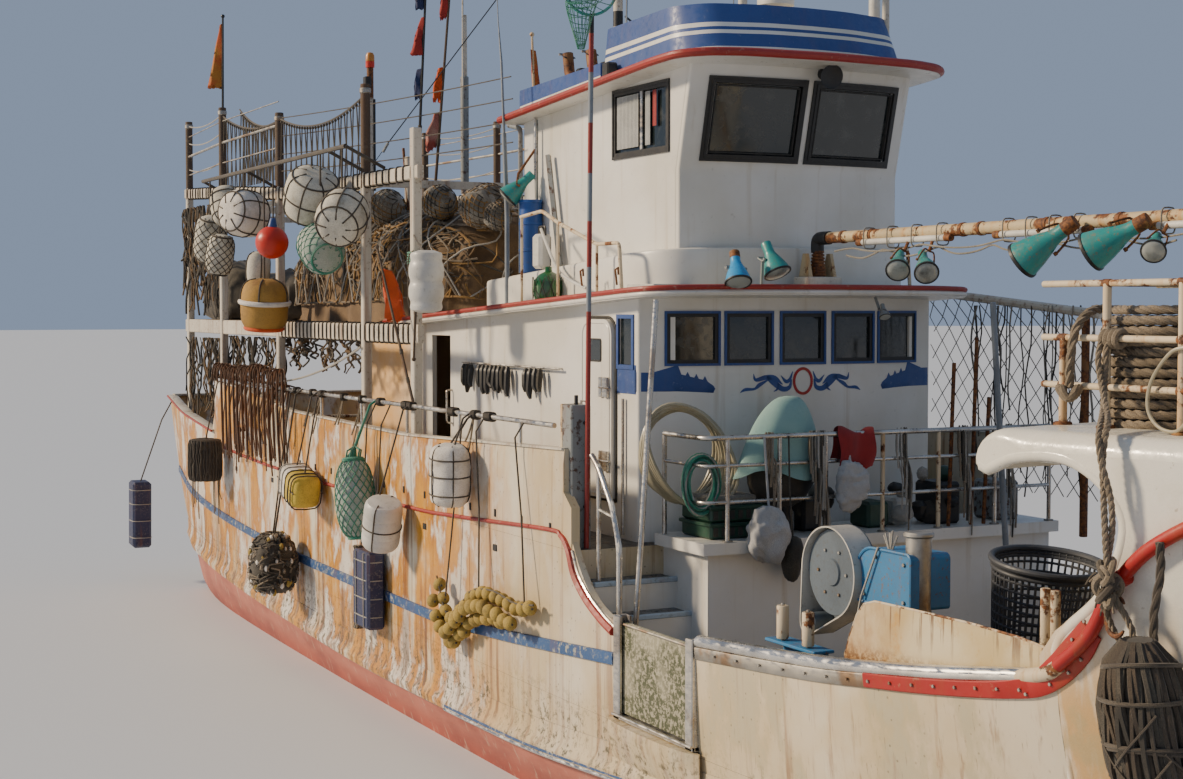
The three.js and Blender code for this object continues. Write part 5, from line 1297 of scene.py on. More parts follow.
def make_forecastle():
    """The forecastle's sides, with the whaleback's rolled deck and its hooked after edge."""
    shell_of = Piece("forecastle_shell", "white_bow", "rusty_cream", "topside", slot="gelcoat",
                     replaces=["forecastle"], sharp=45)
    base = WELL_DECK + 0.002
    outline = [(9.82, base), (9.82, 1.7), (9.82, 2.2)] + [tuple(p) for p in flowing(LIP, 6)]
    outline += [(9.285, 3.862), (9.268, 3.875)]
    for x in np.concatenate([NOSE_X + 0.24 * (1 - np.cos(np.linspace(0.2, 1.5, 6))),
                             np.linspace(9.6, 13.5, 34)]):
        outline.append((x, WHALEBACK - nose_drop(x) - edge_roll(x)))
    for z in np.linspace(3.93, base, 22):
        outline.append((stem_x(z), z))
    outline += [(x, base) for x in np.linspace(12.0, 9.95, 16)]

    def put(u, v, w):
        half = max(float(side_at(u, v)), 0.05)
        return (u, -half + min(w, half * 0.9), v)

    shell_of.both(flat_shape(outline, put, 0.09, 0.11))
    edge = [on_side(x, z, -0.045)
            for x, z in [(9.82, base), (9.82, 1.9)] + [tuple(p) for p in flowing(LIP, 6)]]
    edge += [on_side(9.28, 3.87, -0.045)]
    shell_of.both(tube(edge, 0.05, 10))
    columns = np.concatenate([NOSE_X + 0.24 * (1 - np.cos(np.linspace(0, 1.57, 8))),
                              np.linspace(9.56, 13.6, 46)])
    outer, inner = [], []
    for x in columns:
        top = WHALEBACK - nose_drop(x)
        roll = edge_roll(x)
        half = max(float(side_at(x, top - roll)), 0.075)
        roll = min(roll, 0.6 * half)
        side = [(half - roll * (1 - math.cos(a)), top - roll + roll * math.sin(a))
                for a in np.linspace(0, 1.57, 7)]
        flat = [(y, top + 0.03 * (1 - (y / half) ** 2)) for y in np.linspace(half - roll, 0, 8)[1:]]
        row = [(x, -y, z) for y, z in side + flat] + [(x, y, z) for y, z in (side + flat[:-1])[::-1]]
        outer.append(row)
        inner.append([(x, y * (1 - 0.07 / max(half, 0.14)), z - 0.075) for x, y, z in row])
    shell_of.add(shell(inner, outer))
    rings = []
    for x in (10.42, 10.48):
        z = np.linspace(base, 4.02, 10)
        half = side_at(np.full(10, x), z) - 0.06
        starboard = np.stack([np.full(10, x), -half, z], 1)
        rings.append(np.vstack([starboard, (starboard * (1, -1, 1))[::-1]]))
    shell_of.add(loft(rings))
    for side in (-1, 1):
        add_bitt(shell_of, 12.85, side * 0.33, WHALEBACK + 0.03)
    shell_of.add(rod((12.93, -0.57, 4.42), (12.93, 0.57, 4.42), 0.03, 12), 1)
    shell_of.done()


BOW_TOP = [(10.9, 4.16), (11.4, 4.56), (12.4, 4.76), (13.3, 4.9), (14.04, 5.0)]


def make_bow_bulwark():
    """The white plates round the whaleback's edge, their capping pipe and the piece at the stem."""
    bulwark = Piece("bow_rail_plates", "white_bow", "rusty_cream", slot="topside_paint",
                    replaces=["bulwark_bow"])
    xs, zs = zip(*BOW_TOP)
    outer, inner = [], []
    for x in np.linspace(10.9, 14.02, 36):
        top = float(smooth(xs, zs, x))
        foot = min(x, 13.6)
        row, back = [], []
        for t in np.linspace(0, 1, 5):
            z = WHALEBACK + 0.002 + t * (top - WHALEBACK - 0.002)
            place = foot + t * (x - foot)
            half = max(float(side_at(place, z)), 0.05)
            row.append((place, -half, z))
            back.append((place, -max(half - BULWARK, 0.0), z))
        outer.append(row)
        inner.append(back)
    bulwark.both(shell(np.array(outer).swapaxes(0, 1), np.array(inner).swapaxes(0, 1)))
    line = [on_side(x, float(smooth(xs, zs, x)) + 0.005, -0.045) for x in np.linspace(10.95, 13.95, 30)]
    bulwark.both(tube(line, 0.045, 8), 1)
    stem = [(stem_x(WHALEBACK) - 0.26, WHALEBACK), (stem_x(WHALEBACK), WHALEBACK), (stem_x(5.05), 5.05),
            (stem_x(5.05) - 0.26, 5.0)]
    bulwark.add(flat_shape(stem, lambda u, v, w: (u, w - 0.085, v), 0.17))
    bulwark.done()


def make_fore_bulwarks():
    """The well's bulwarks. The starboard one has the gate's gap in it."""
    curve_x, curve_z = zip(*GATE_CURVE)
    fore_x, fore_z = zip(*FORE_TOP)

    def low(x):
        return WELL_DECK + 0.002

    def high(x):
        return float(smooth(fore_x, fore_z, x))

    def curved(x):
        return float(smooth(curve_x, curve_z, x))

    star = Piece("fore_bulwark_starboard", "topside", "white_bow", slot="topside_paint",
                 replaces=["bulwark_fore_starboard"])
    star.add(side_plate(low, curved, lambda z: 3.452, lambda z: 4.35, 14, 9))
    star.add(side_plate(low, lambda x: 1.195, lambda z: 4.352, lambda z: 5.788, 16, 3))
    star.add(side_plate(low, high, lambda z: 5.79, lambda z: 9.818, 44, 9))
    star.done()
    port = Piece("fore_bulwark_port", "topside", slot="topside_paint", replaces=["bulwark_fore_port"])
    port.add(mirrored(side_plate(low, curved, lambda z: 3.452, lambda z: 4.35, 14, 9)))
    port.add(mirrored(side_plate(
        low, lambda x: float(from_table([(4.35, 2.06), (5.79, 2.08)] + FORE_TOP[1:], x)), lambda z: 4.352,
        lambda z: 9.818, 60, 9)))
    port.done()


def side_band(points, out, thick, steps=5):
    """A band laid on the starboard side. Each point is (x, z, half of its width)."""
    line = flowing(points, steps)
    along = np.gradient(line[:, :2], axis=0)
    along = along / np.linalg.norm(along, axis=1)[:, None]
    up = np.stack([-along[:, 1], along[:, 0]], 1)
    rings = []
    for (x, z, half), way in zip(line, up):
        ring = []
        for across, lift in ((-1, 0), (-1, 0.6), (-0.85, 1), (0.85, 1), (1, 0.6), (1, 0)):
            place = np.array([x, z]) + way * across * half
            ring.append(on_side(place[0], place[1], out + lift * thick))
        rings.append(ring)
    return loft(rings)


CAP_ROUTE = [(5.8, 2.137), (7.4, 2.257), (8.6, 2.387), (9.55, 2.52)]
CLIMB = [(9.7, 2.56), (9.9, 2.64), (10.15, 2.87), (10.35, 3.18), (10.65, 3.48), (11.2, 3.76), (12.0, 4.02),
         (12.8, 4.26), (13.45, 4.47)]


def make_cap_rails():
    """The bright cap on the well's bulwark, the bolted band under it, and the red rail up the bow's side."""
    for side, word in ((-1, "starboard"), (1, "port")):
        rail = Piece(f"cap_rail_pipes_{word}", "bright_pipe", "rail_red", "worn_steel", "rusty_cream",
                     slot="stainless", replaces=[f"cap_rail_{word}"])

        def add(shape, paint):
            rail.add(shape if side < 0 else mirrored(shape), paint)

        route = flowing(CAP_ROUTE, 10)
        cap = [on_side(x, z - 0.012, -0.035) for x, z in route]
        add(tube(cap, 0.056, 14), 0)
        add(tube([p + (0, 0.12, -0.035) for p in cap[:24]], 0.026, 8), 2)
        join = [on_side(9.5, 2.5, -0.035), on_side(9.62, 2.52, -0.02), on_side(9.78, 2.57, 0.01),
                on_side(9.9, 2.64, 0.04)]
        add(tube(flowing(join, 5), np.linspace(0.056, 0.048, 16), 12), 3)
        climb = [on_side(x, z, 0.058) for x, z in flowing(CLIMB[1:], 7)]
        add(tube(climb, 0.045, 12), 1)
        band = [(x, z - 0.105, 0.05) for x, z in CAP_ROUTE]
        add(side_band([p for p in band if p[0] < 8.5] + [(8.45, 2.268, 0.052)], 0.004, 0.012), 2)
        red = [(8.1, 2.232, 0.052), (8.6, 2.282, 0.054), (9.1, 2.345, 0.056), (9.45, 2.405, 0.062),
               (9.68, 2.475, 0.078), (9.86, 2.6, 0.095), (10.02, 2.76, 0.098), (10.13, 2.9, 0.08)]
        add(side_band(red, 0.006, 0.018, 6), 1)
        bolts = [(x, z - 0.1) for x, z in route[2::2]] + [
            (9.6, 2.4), (9.8, 2.5), (9.95, 2.6), (10.05, 2.7), (9.75, 2.56), (10.0, 2.82), (10.1, 2.95)]
        for x, z in bolts:
            spot = on_side(x, z, 0.02)
            add(rod(spot, spot - (0, 0.016, 0), 0.013, 6), 2)
        for x in (10.42, 11.3, 12.2, 13.0):
            z = float(smooth(*zip(*CLIMB), x))
            spot = on_side(x, z, 0.058)
            add(tube([spot + (-0.035, 0, -0.02), spot + (0.035, 0, 0.02)], 0.056, 12), 1)
        rail.done()


def make_bow_fender():
    """An old fender wound from rope: yarns that hang in a bundle, with lashings round them."""
    fender = Piece("bow_fender_yarns", "fender_dark", "rope_dark", "net_dark", slot="net",
                   replaces=["bow_fender"])
    wild = random.Random(5)
    heights = np.linspace(1.5, 2.95, 12)
    middle = np.array([on_side(10.75, z, 0.38) for z in heights])
    radii = np.interp(heights, [1.5, 1.75, 2.2, 2.6, 2.84, 2.95], [0.15, 0.27, 0.29, 0.27, 0.20, 0.09])
    fender.add(tube(middle, radii * 0.93, 16), 2)
    fine = np.linspace(0, 11, 34)
    line = np.stack([np.interp(fine, range(12), middle[:, k]) for k in range(3)], 1)
    around = np.interp(fine, range(12), radii)
    for k in range(84):
        turn = math.tau * k / 84 + wild.uniform(-0.05, 0.05)
        phase, swing = wild.uniform(0, 6), wild.uniform(0.04, 0.16)
        start = wild.choice((0, 0, 0, 1, 2))
        angle = turn + swing * np.sin(fine * wild.uniform(0.3, 0.7) + phase)
        reach = around * (0.97 + 0.05 * np.sin(fine * 0.9 + phase))
        yarn = line + np.stack([np.cos(angle) * reach, np.sin(angle) * reach, np.zeros(34)], 1)
        fender.add(tube(yarn[start:34 - wild.choice((0, 0, 1))], wild.uniform(0.014, 0.023), 5),
                   wild.choice((0, 0, 2, 1)))
    for z, tilt in ((1.72, 0.03), (1.95, -0.05), (1.99, 0.02), (2.28, 0.06), (2.33, -0.03), (2.62, 0.02),
                    (2.80, 0.05)):
        centre = on_side(10.75, z, 0.38)
        reach = float(np.interp(z, heights, radii)) + 0.012
        loop = [centre + (math.cos(a) * reach, math.sin(a) * reach, tilt * math.sin(a + tilt * 40)) for a in
                np.linspace(0, math.tau, 28)[:-1]]
        fender.add(tube(loop, 0.014, 6, closed=True), 1)
    net = random.Random(9)
    for k in range(16):
        low = net.uniform(1.6, 2.5)
        a = net.uniform(0, math.tau)
        knots = []
        for step in range(5):
            z = low + step * 0.09
            reach = float(np.interp(z, heights, radii)) + 0.02
            swing = a + step * 0.28 * (1 if k % 2 else -1)
            knots.append(on_side(10.75, z, 0.38) + (math.cos(swing) * reach, math.sin(swing) * reach, 0))
        fender.add(tube(flowing(knots, 3), 0.008, 5), 1)
    hang = flowing([on_side(10.75, 2.88, 0.27), on_side(10.74, 3.1, 0.22), on_side(10.76, 3.34, 0.16),
                    on_side(10.75, 3.52, 0.13)], 6)
    for k in range(3):
        turn = np.linspace(0, 12, len(hang)) + k * math.tau / 3
        fender.add(tube(hang + 0.013 * np.stack([np.cos(turn), np.sin(turn), 0 * turn], 1), 0.015, 6), 1)
    fender.done()


def make_rack():
    """The pipe rack on the whaleback, its rails welded to its posts."""
    rack = Piece("rack_pipes", "rusty_cream", "rusty_brown", "hose_pale", slot="rusty_pipe",
                 replaces=["rope_rack"])
    sides = (-1.95, -0.95)
    for x, top in ((9.5, 4.7), (9.9, 5.05), (10.55, 5.05), (10.85, 5.05)):
        for y in sides:
            rack.add(rod((x, y, WHALEBACK + 0.002), (x, y, top), 0.028, 12))
            rack.add(rod((x, y, WHALEBACK + 0.002), (x, y, WHALEBACK + 0.03), 0.062, 12), 1)
    for z in (4.39, 4.7, 5.05):
        for y in sides:
            rack.add(rod((9.3, y, z), (10.85, y, z), 0.022, 12))
            for x in (9.5, 9.9, 10.55):
                if z < 5 or x > 9.6:
                    rack.add(rod((x - 0.035, y, z), (x + 0.035, y, z), 0.0265, 12), 1)
        rack.add(rod((10.85, sides[0], z), (10.85, sides[1], z), 0.022, 12))
    rack.add(rod((9.9, sides[0], 5.05), (9.9, sides[1], 5.05), 0.022, 12))
    hose = flowing([(10.62, -1.98, 4.66), (10.5, -2.0, 4.62), (10.36, -2.01, 4.45), (10.33, -2.01, 4.28),
                    (10.42, -2.01, 4.17), (10.56, -2.0, 4.15), (10.66, -1.99, 4.24)], 7)
    rack.add(tube(hose, 0.012, 8), 2)
    rack.done()


def make_splash():
    """The rusty plate inside the cap rail, with two short pipes and the white inner panel ahead of it."""
    splash = Piece("splash_sheet", "splash", "rusty_cream", "white_bow", slot="rusty_plate",
                   replaces=["splash_plate"])
    lower = [(x, float(from_table(FORE_TOP, x)) - 0.1) for x in np.linspace(9.68, 7.72, 12)]
    upper = [(7.74, 2.34), (7.8, 2.5), (7.88, 2.66), (7.96, 2.75), (8.08, 2.785), (8.5, 2.78), (9.0, 2.765),
             (9.4, 2.735), (9.63, 2.7), (9.67, 2.66)]

    def put(u, v, w):
        return (u, 0.092 - float(side_at(u, float(from_table(FORE_TOP, min(u, 9.8))))) + w, v)

    splash.add(flat_shape(lower + upper, put, 0.016, 0.2))
    rim = [put(u, v, 0.008) for u, v in upper]
    splash.add(tube(rim, 0.011, 6), 1)
    for x in (8.35, 8.95):
        splash.add(tube([put(x, 2.3, 0.02), put(x, 2.76, 0.02)], 0.012, 6), 1)
    for x in (9.41, 9.51):
        splash.add(rod((x, -2.0, 2.3), (x, -2.0, 3.04), 0.034, 14), 1)
    splash.done()
    panel = Piece("inner_bow_panel", "white_bow", slot="gelcoat")
    outline = [(9.64, 2.3), (9.86, 2.3), (10.2, 2.5), (10.33, 3.1), (10.2, 3.1), (9.98, 2.98), (9.8, 2.84),
               (9.66, 2.66)]
    panel.both(flat_shape(outline, lambda u, v, w: (u, 0.05 - float(side_at(u, v)) + w, v), 0.05, 0.12))
    panel.done()


# Deckhouse and wheelhouse

class Wall:
    """A wall that stands on a path in plan. at() gives its points by length along the path and height."""

    def __init__(self, plan, lean=None):
        self.plan = np.asarray(plan, float)
        step = np.linalg.norm(np.diff(self.plan, axis=0), axis=1)
        self.run = np.concatenate([[0], np.cumsum(step)])
        along = np.gradient(self.plan, axis=0)
        along = along / np.linalg.norm(along, axis=1)[:, None]
        self.normal = np.stack([along[:, 1], -along[:, 0]], 1)
        self.lean = lean or (lambda x, z: 0.0)

    def at(self, s, z, out=0.0):
        x, y, nx, ny = (float(np.interp(s, self.run, row)) for row in (*self.plan.T, *self.normal.T))
        return np.array([x + nx * out + self.lean(x, z), y + ny * out, z])

    def by_y(self, y):
        """The length along the path where it crosses a breadth."""
        return float(np.interp(y, self.plan[:, 1], self.run))

    def grid(self, s_values, z_values, out, top=None):
        rows = []
        for k, z in enumerate(z_values):
            row = []
            for s in s_values:
                height = z
                if top is not None and k == len(z_values) - 1:
                    height = top(self.at(s, z)[0])
                row.append(self.at(s, height, out))
            rows.append(row)
        return np.array(rows)

    def panel(self, s_values, z_values, out, back, top=None, holes=()):
        """A curved panel between two depths. Its cells whose middles lie in a hole are left out."""
        keep = np.ones((len(z_values) - 1, len(s_values) - 1), bool)
        for r in range(len(z_values) - 1):
            for c in range(len(s_values) - 1):
                s, z = (s_values[c] + s_values[c + 1]) / 2, (z_values[r] + z_values[r + 1]) / 2
                keep[r, c] = not any(s0 < s < s1 and z0 < z < z1 for s0, s1, z0, z1 in holes)
        return shell(self.grid(s_values, z_values, out, top), self.grid(s_values, z_values, back, top),
                     keep)

    def frame(self, hole, border, out, back):
        """A frame round a window's hole. A border under nought lies inside it."""
        s0, s1, z0, z1 = hole
        a, b = (0, border) if border > 0 else (border, 0)
        s_values = [s0 - b, s0 - a, *np.linspace(s0 - a, s1 + a, 5)[1:-1], s1 + a, s1 + b]
        z_values = [z0 - b, z0 - a, z1 + a, z1 + b]
        return self.panel(s_values, z_values, out, back, holes=[(s0 - a, s1 + a, z0 - a, z1 + a)])

    def pane(self, hole, out):
        s0, s1, z0, z1 = hole
        return self.panel(np.linspace(s0, s1, 6), [z0, (z0 + z1) / 2, z1], out, out - 0.01)

    def patch(self, outline, out):
        """A flat figure given in lengths and heights, laid on the wall."""
        return flat_shape(outline, lambda u, v, w: self.at(u, v, out - w), out + 0.002, 0.06)

    def stroke(self, points, widths, out=0.004):
        """A brush stroke that swells and thins along smooth points."""
        line = flowing([(*p, w) for p, w in zip(points, widths)], 6)
        along = np.gradient(line[:, :2], axis=0)
        along = along / np.maximum(np.linalg.norm(along, axis=1), 1e-9)[:, None]
        up = np.stack([-along[:, 1], along[:, 0]], 1)
        low = [self.at(*(p[:2] - way * p[2]), out) for p, way in zip(line, up)]
        high = [self.at(*(p[:2] + way * p[2]), out) for p, way in zip(line, up)]
        low_back = [self.at(*(p[:2] - way * p[2]), 0.001) for p, way in zip(line, up)]
        high_back = [self.at(*(p[:2] + way * p[2]), 0.001) for p, way in zip(line, up)]
        return shell([low, high], [low_back, high_back])


def bowed(columns, corner, start):
    """A plan from the starboard wall round the front to the port wall, with rounded corners."""
    ys, xs = zip(*columns)
    fine = np.linspace(ys[0], ys[-1], 41)
    front = [(float(smooth(ys, xs, y)), y) for y in fine]
    points = [(start, ys[0]), *front, (start, ys[-1])]
    starboard = filleted([points[0], front[0], front[4]], corner, 6)
    port = filleted([front[-5], front[-1], points[-1]], corner, 6)
    return np.vstack([starboard[:-1], front[4:-4], port[1:]])


HOUSE_COLUMNS = [(-1.75, 3.2), (-1.48, 3.3), (-0.87, 3.4), (0, 3.44), (0.87, 3.4), (1.48, 3.3), (1.75, 3.2)]
HOUSE_WINDOWS = [(-1.48, -0.96), (-0.87, -0.37), (-0.25, 0.25), (0.37, 0.87), (0.96, 1.48)]
HOUSE_WINDOW_Z = (4.35, 4.84)


def roof_under(x):
    return roof_top(x) - 0.09


def spread(stops, gap):
    """The stops, with more between them so that none lie further apart than the gap."""
    values = []
    for a, b in zip(stops, stops[1:]):
        count = max(1, math.ceil((b - a) / gap - 1e-6))
        values += [a + (b - a) * k / count for k in range(count)]
    return values + [stops[-1]]


def make_deckhouse_front():
    """The deckhouse's bowed front wall, its windows and the ornament painted across it."""
    wall = Wall(bowed(HOUSE_COLUMNS, 0.09, 3.14))
    front = Piece("deckhouse_front_wall", "gelcoat", slot="gelcoat", replaces=["deckhouse_front"])
    holes = [(wall.by_y(a), wall.by_y(b), *HOUSE_WINDOW_Z) for a, b in HOUSE_WINDOWS]
    corner = list(wall.run[:9])
    stops = [wall.run[9]] + [s for hole in holes for s in hole[:2]] + [wall.run[-10]]
    values = corner + spread(stops, 0.13) + list(wall.run[-9:])
    front.add(wall.panel(values, [MAIN_DECK + 0.002, 3.2, 3.8, *HOUSE_WINDOW_Z, 4.95], 0, -0.06, roof_under,
                         holes))
    front.done()
    trim = Piece("deckhouse_windows", "trim_blue", "black", "glass", slot="blue_paint", sharp=30)
    for hole in holes:
        trim.add(wall.frame(hole, 0.024, 0.016, -0.01), 0)
        trim.add(wall.frame(hole, -0.035, 0.004, -0.04), 1)
        trim.add(wall.pane(hole, -0.022), 2)
    trim.done()
    side = Wall([(2.72, -HOUSE_HALF), (3.0, -HOUSE_HALF), (3.16, -HOUSE_HALF)])
    paint = Piece("deckhouse_ornament", "trim_blue", "rail_red", "gelcoat", slot="blue_paint")
    z0, z1 = 4.05, 4.335
    paint.both(side.patch([(0.04, z0), (0.44, z0), (0.44, z1), (0.04, z1)], 0.004))
    small = (0.08, 0.36, 4.33, 4.79)
    paint.both(side.frame(small, 0.04, 0.014, -0.01))
    s_end = wall.by_y(-0.99)
    wave = [(0.0, z0), (s_end - 0.02, z0 + 0.01), (s_end, z0 + 0.05), (s_end - 0.02, z0 + 0.08),
            (s_end - 0.08, z0 + 0.12)]
    tip = s_end - 0.10
    height = z0 + 0.13
    while tip > 0.52:
        wave += [(tip - 0.01, height + 0.045), (tip - 0.03, height + 0.01), (tip - 0.075, height + 0.02)]
        tip -= 0.09
        height = min(height + 0.022, z1 - 0.03)
    wave += [(0.45, z1), (0.0, z1)]
    figure = wall.patch(wave, 0.004)
    paint.add(figure)
    paint.add(mirrored(figure))
    middle = wall.by_y(0.0)
    z = 4.16
    ring = [(middle + 0.105 * math.cos(a), z + 0.125 * math.sin(a)) for a in np.linspace(0, math.tau, 33)]
    paint.add(wall.stroke(ring, [0.014] * 33, 0.006), 1)
    strokes = [
        ([(0.135, 0.02), (0.16, -0.06), (0.24, -0.075), (0.34, -0.01), (0.43, 0.05), (0.50, 0.035)],
         (0.006, 0.02, 0.026, 0.03, 0.016, 0.003)),
        ([(0.12, 0.1), (0.155, 0.02), (0.2, 0.0), (0.26, 0.06)], (0.002, 0.016, 0.018, 0.002)),
        ([(0.24, -0.03), (0.33, 0.035), (0.44, 0.04), (0.545, 0.02), (0.57, 0.08)],
         (0.004, 0.024, 0.024, 0.016, 0.002)),
        ([(0.40, 0.02), (0.50, -0.03), (0.56, -0.07), (0.66, -0.075), (0.72, -0.105)],
         (0.004, 0.02, 0.012, 0.016, 0.002)),
        ([(0.28, -0.02), (0.30, -0.075), (0.34, -0.1)], (0.016, 0.012, 0.002)),
    ]
    for sign in (-1, 1):
        for points, widths in strokes:
            shape = wall.stroke([(middle + sign * s, z + h) for s, h in points], widths)
            paint.add(shape if sign > 0 else (shape[0], [face[::-1] for face in shape[1]]))
    paint.done()


def rounded_outline(x0, x1, z0, z1, radii, steps=6):
    """A rectangle with its own radius at each corner: low aft, low fore, high fore, high aft."""
    corners = [(x0, z0, 1, 1), (x1, z0, -1, 1), (x1, z1, -1, -1), (x0, z1, 1, -1)]
    outline = []
    for k, ((x, z, sx, sz), r) in enumerate(zip(corners, radii)):
        start = math.pi + k * math.pi / 2
        if r < 1e-6:
            outline.append((x, z))
            continue
        outline += [(x + sx * r + r * math.cos(a), z + sz * r + r * math.sin(a))
                    for a in np.linspace(start, start + math.pi / 2, steps + 1)]
    return outline


def make_house_sides():
    """Doors, small windows, rails and marks on the deckhouse's sides."""
    for side, word in ((-1, "starboard"), (1, "port")):
        leaf = Piece(f"house_door_{word}", "gelcoat", "rubber", "glass", "stainless", "rusty_cream",
                     body=f"door_{word}", slot="gelcoat", replaces=[f"door_{word}"])

        def add(shape, paint=0):
            leaf.add(shape if side < 0 else mirrored(shape), paint)

        face = -HOUSE_HALF - 0.008
        outline = rounded_outline(2.05, 2.73, 2.98, 4.78, (0.02, 0.02, 0.16, 0.16))
        add(flat_shape(outline, lambda u, v, w: (u, face - 0.045 + w, v), 0.045, 0.3))
        inner = rounded_outline(2.085, 2.695, 3.02, 4.745, (0.02, 0.02, 0.13, 0.13))
        add(tube([(u, face - 0.046, v) for u, v in inner], 0.008, 6, closed=True))
        add(flat_shape(rounded_outline(2.2, 2.5, 4.37, 4.57, (0.02,) * 4),
                       lambda u, v, w: (u, face - 0.052 + w, v), 0.01), 2)
        add(tube([(u, face - 0.05, v) for u, v in rounded_outline(2.19, 2.51, 4.36, 4.58, (0.02,) * 4)],
                 0.008, 6, closed=True), 1)
        for z in (4.1, 3.36):
            add(block((2.5, face - 0.075, z - 0.10), (2.56, face - 0.045, z + 0.10)), 3)
            add(block((2.6, face - 0.085, z - 0.10), (2.7, face - 0.045, z + 0.10)), 3)
            add(rod((2.53, face - 0.08, z), (2.76, face - 0.08, z), 0.014, 8), 3)
        add(rod((2.14, face - 0.09, 3.75), (2.14, face - 0.09, 3.95), 0.011, 8), 3)
        for z in (3.76, 3.94):
            add(rod((2.14, face - 0.09, z), (2.14, face - 0.04, z), 0.009, 6), 3)
        leaf.done()
    details = Piece("house_side_details", "glass", "rubber", "stainless", "rusty_cream", "black",
                    "net_green", slot="stainless")
    wall = -HOUSE_HALF
    details.both(block((2.8, wall + 0.02, 4.33), (3.08, wall + 0.03, 4.79), 0.002), 0)
    gasket = rounded_outline(2.03, 2.75, 2.96, 4.80, (0.02, 0.02, 0.18, 0.18))
    details.both(tube([(u, wall - 0.004, v) for u, v in gasket], 0.016, 6, closed=True), 1)
    pipe_line = filleted([(2.94, wall - 0.03, 2.65), (2.94, wall - 0.03, 4.0)], 0.02)
    details.both(tube(pipe_line, 0.016, 8), 2)
    rail = -HOUSE_HALF - 0.06
    details.both(tube([(-1.13, rail, 4.25), (1.55, rail, 4.25)], 0.013, 8), 2)
    for x in (-1.1, 0.2, 1.5):
        details.both(rod((x, rail, 4.25), (x, wall, 4.25), 0.01, 6), 2)
    for x in (-1.6, 1.9):
        details.both(tube(filleted([(x, wall, 3.5), (x, wall - 0.07, 3.5), (x, wall - 0.07, 3.9),
                                    (x, wall, 3.9)], 0.03), 0.012, 8), 2)
    details.done()
    gloves = Piece("hung_gloves", "black", "net_dark", slot="black_plastic")
    wild = random.Random(21)
    for x in (list(np.arange(-1.0, -0.78, 0.1)) + list(np.arange(-0.55, 0.35, 0.115))
              + list(np.arange(0.75, 1.2, 0.12))):
        tall = wild.uniform(0.24, 0.33)
        reach = wild.uniform(0.038, 0.05)
        top = np.array([x, rail - 0.02, 4.235])
        line = [top, top + (0.01, -0.012, -0.08), top + (wild.uniform(-0.02, 0.03), -0.02, -tall * 0.75),
                top + (wild.uniform(0, 0.06), -0.02, -tall)]
        shape = tube(flowing(line, 4), np.interp(range(13), [0, 3, 8, 12],
                                                 [0.022, reach, reach * 0.9, reach * 0.4]), 8)
        gloves.add(shape, wild.choice((0, 0, 1)))
    gloves.done()


ROOF_OUTLINE = [(-4.65, -1.95), (3.3, -1.95), (3.62, -1.9), (3.8, -1.72), (3.92, -1.3), (3.965, -0.65),
                (3.98, 0)]


def plan_with_mirror(half):
    """An outline closed over the centreline: the starboard points, then their images to port."""
    line = filleted([np.array(p) for p in half], 0.25, 5)
    other = (line * (1, -1))[::-1]
    return [tuple(p) for p in line] + [tuple(p) for p in other[1:]]


def make_roof():
    """The deckhouse's roof and the low tier on it, with the red edge."""
    outline = plan_with_mirror(ROOF_OUTLINE)
    roof = Piece("deckhouse_roof_plate", "gelcoat", slot="gelcoat", replaces=["deckhouse_roof"])
    roof.add(flat_shape(outline, lambda u, v, w: (u, v, roof_under(u) + w), 0.09, 0.6))
    roof.done()
    edge = Piece("roof_red_edge", "trim_red", "gelcoat", slot="blue_paint")
    rim = [np.array([x, y, roof_top(x) - 0.012]) for x, y in outline]
    edge.add(tube(rim, 0.026, 8))
    middle = [p - (0, 0, 0.05) for p in rim]
    edge.add(tube(middle, 0.02, 8), 1)
    edge.done()
    tier = Piece("wheelhouse_tier", "gelcoat", slot="gelcoat", replaces=["wheelhouse_base"])
    foot = [(-0.87, -1.6), (2.75, -1.6), (3.2, -1.42), (3.42, -0.9), (3.46, 0)]
    plan = plan_with_mirror(foot)
    closed = plan + [plan[0]]

    def inset(p, amount):
        return (p[0] - amount * (1 if p[0] > 1 else -1) * 0.7, p[1] * (1 - amount / 1.6))

    rows, backs = [], []
    for lift, draw in ((0.0, 0.0), (0.5, 0.0), (0.9, 0.0), (0.97, 0.008), (1.0, 0.03)):
        rows.append([(*inset(p, draw), roof_top(p[0]) + lift * (tier_top(p[0]) - roof_top(p[0])))
                     for p in closed])
        backs.append([(*inset(p, draw + 0.06),
                       roof_top(p[0]) + lift * (tier_top(p[0]) - roof_top(p[0])) - 0.001) for p in closed])
    tier.add(shell(rows, backs))
    lid = [inset(p, 0.03) for p in plan]
    tier.add(flat_shape(lid, lambda u, v, w: (u, v, tier_top(u) - 0.03 + w), 0.03, 0.6))
    tier.done()


BRIDGE_COLUMNS = [(-1.3, 3.2), (-0.9, 3.29), (0, 3.34), (0.9, 3.29), (1.3, 3.2)]
KNUCKLE = 6.25


def visor_under(x):
    return visor_top(x) - 0.08


def bridge_lean(x, z):
    return 0.25 * min(1.2, max(0.0, (z - KNUCKLE) / (visor_under(3.4) - KNUCKLE)))


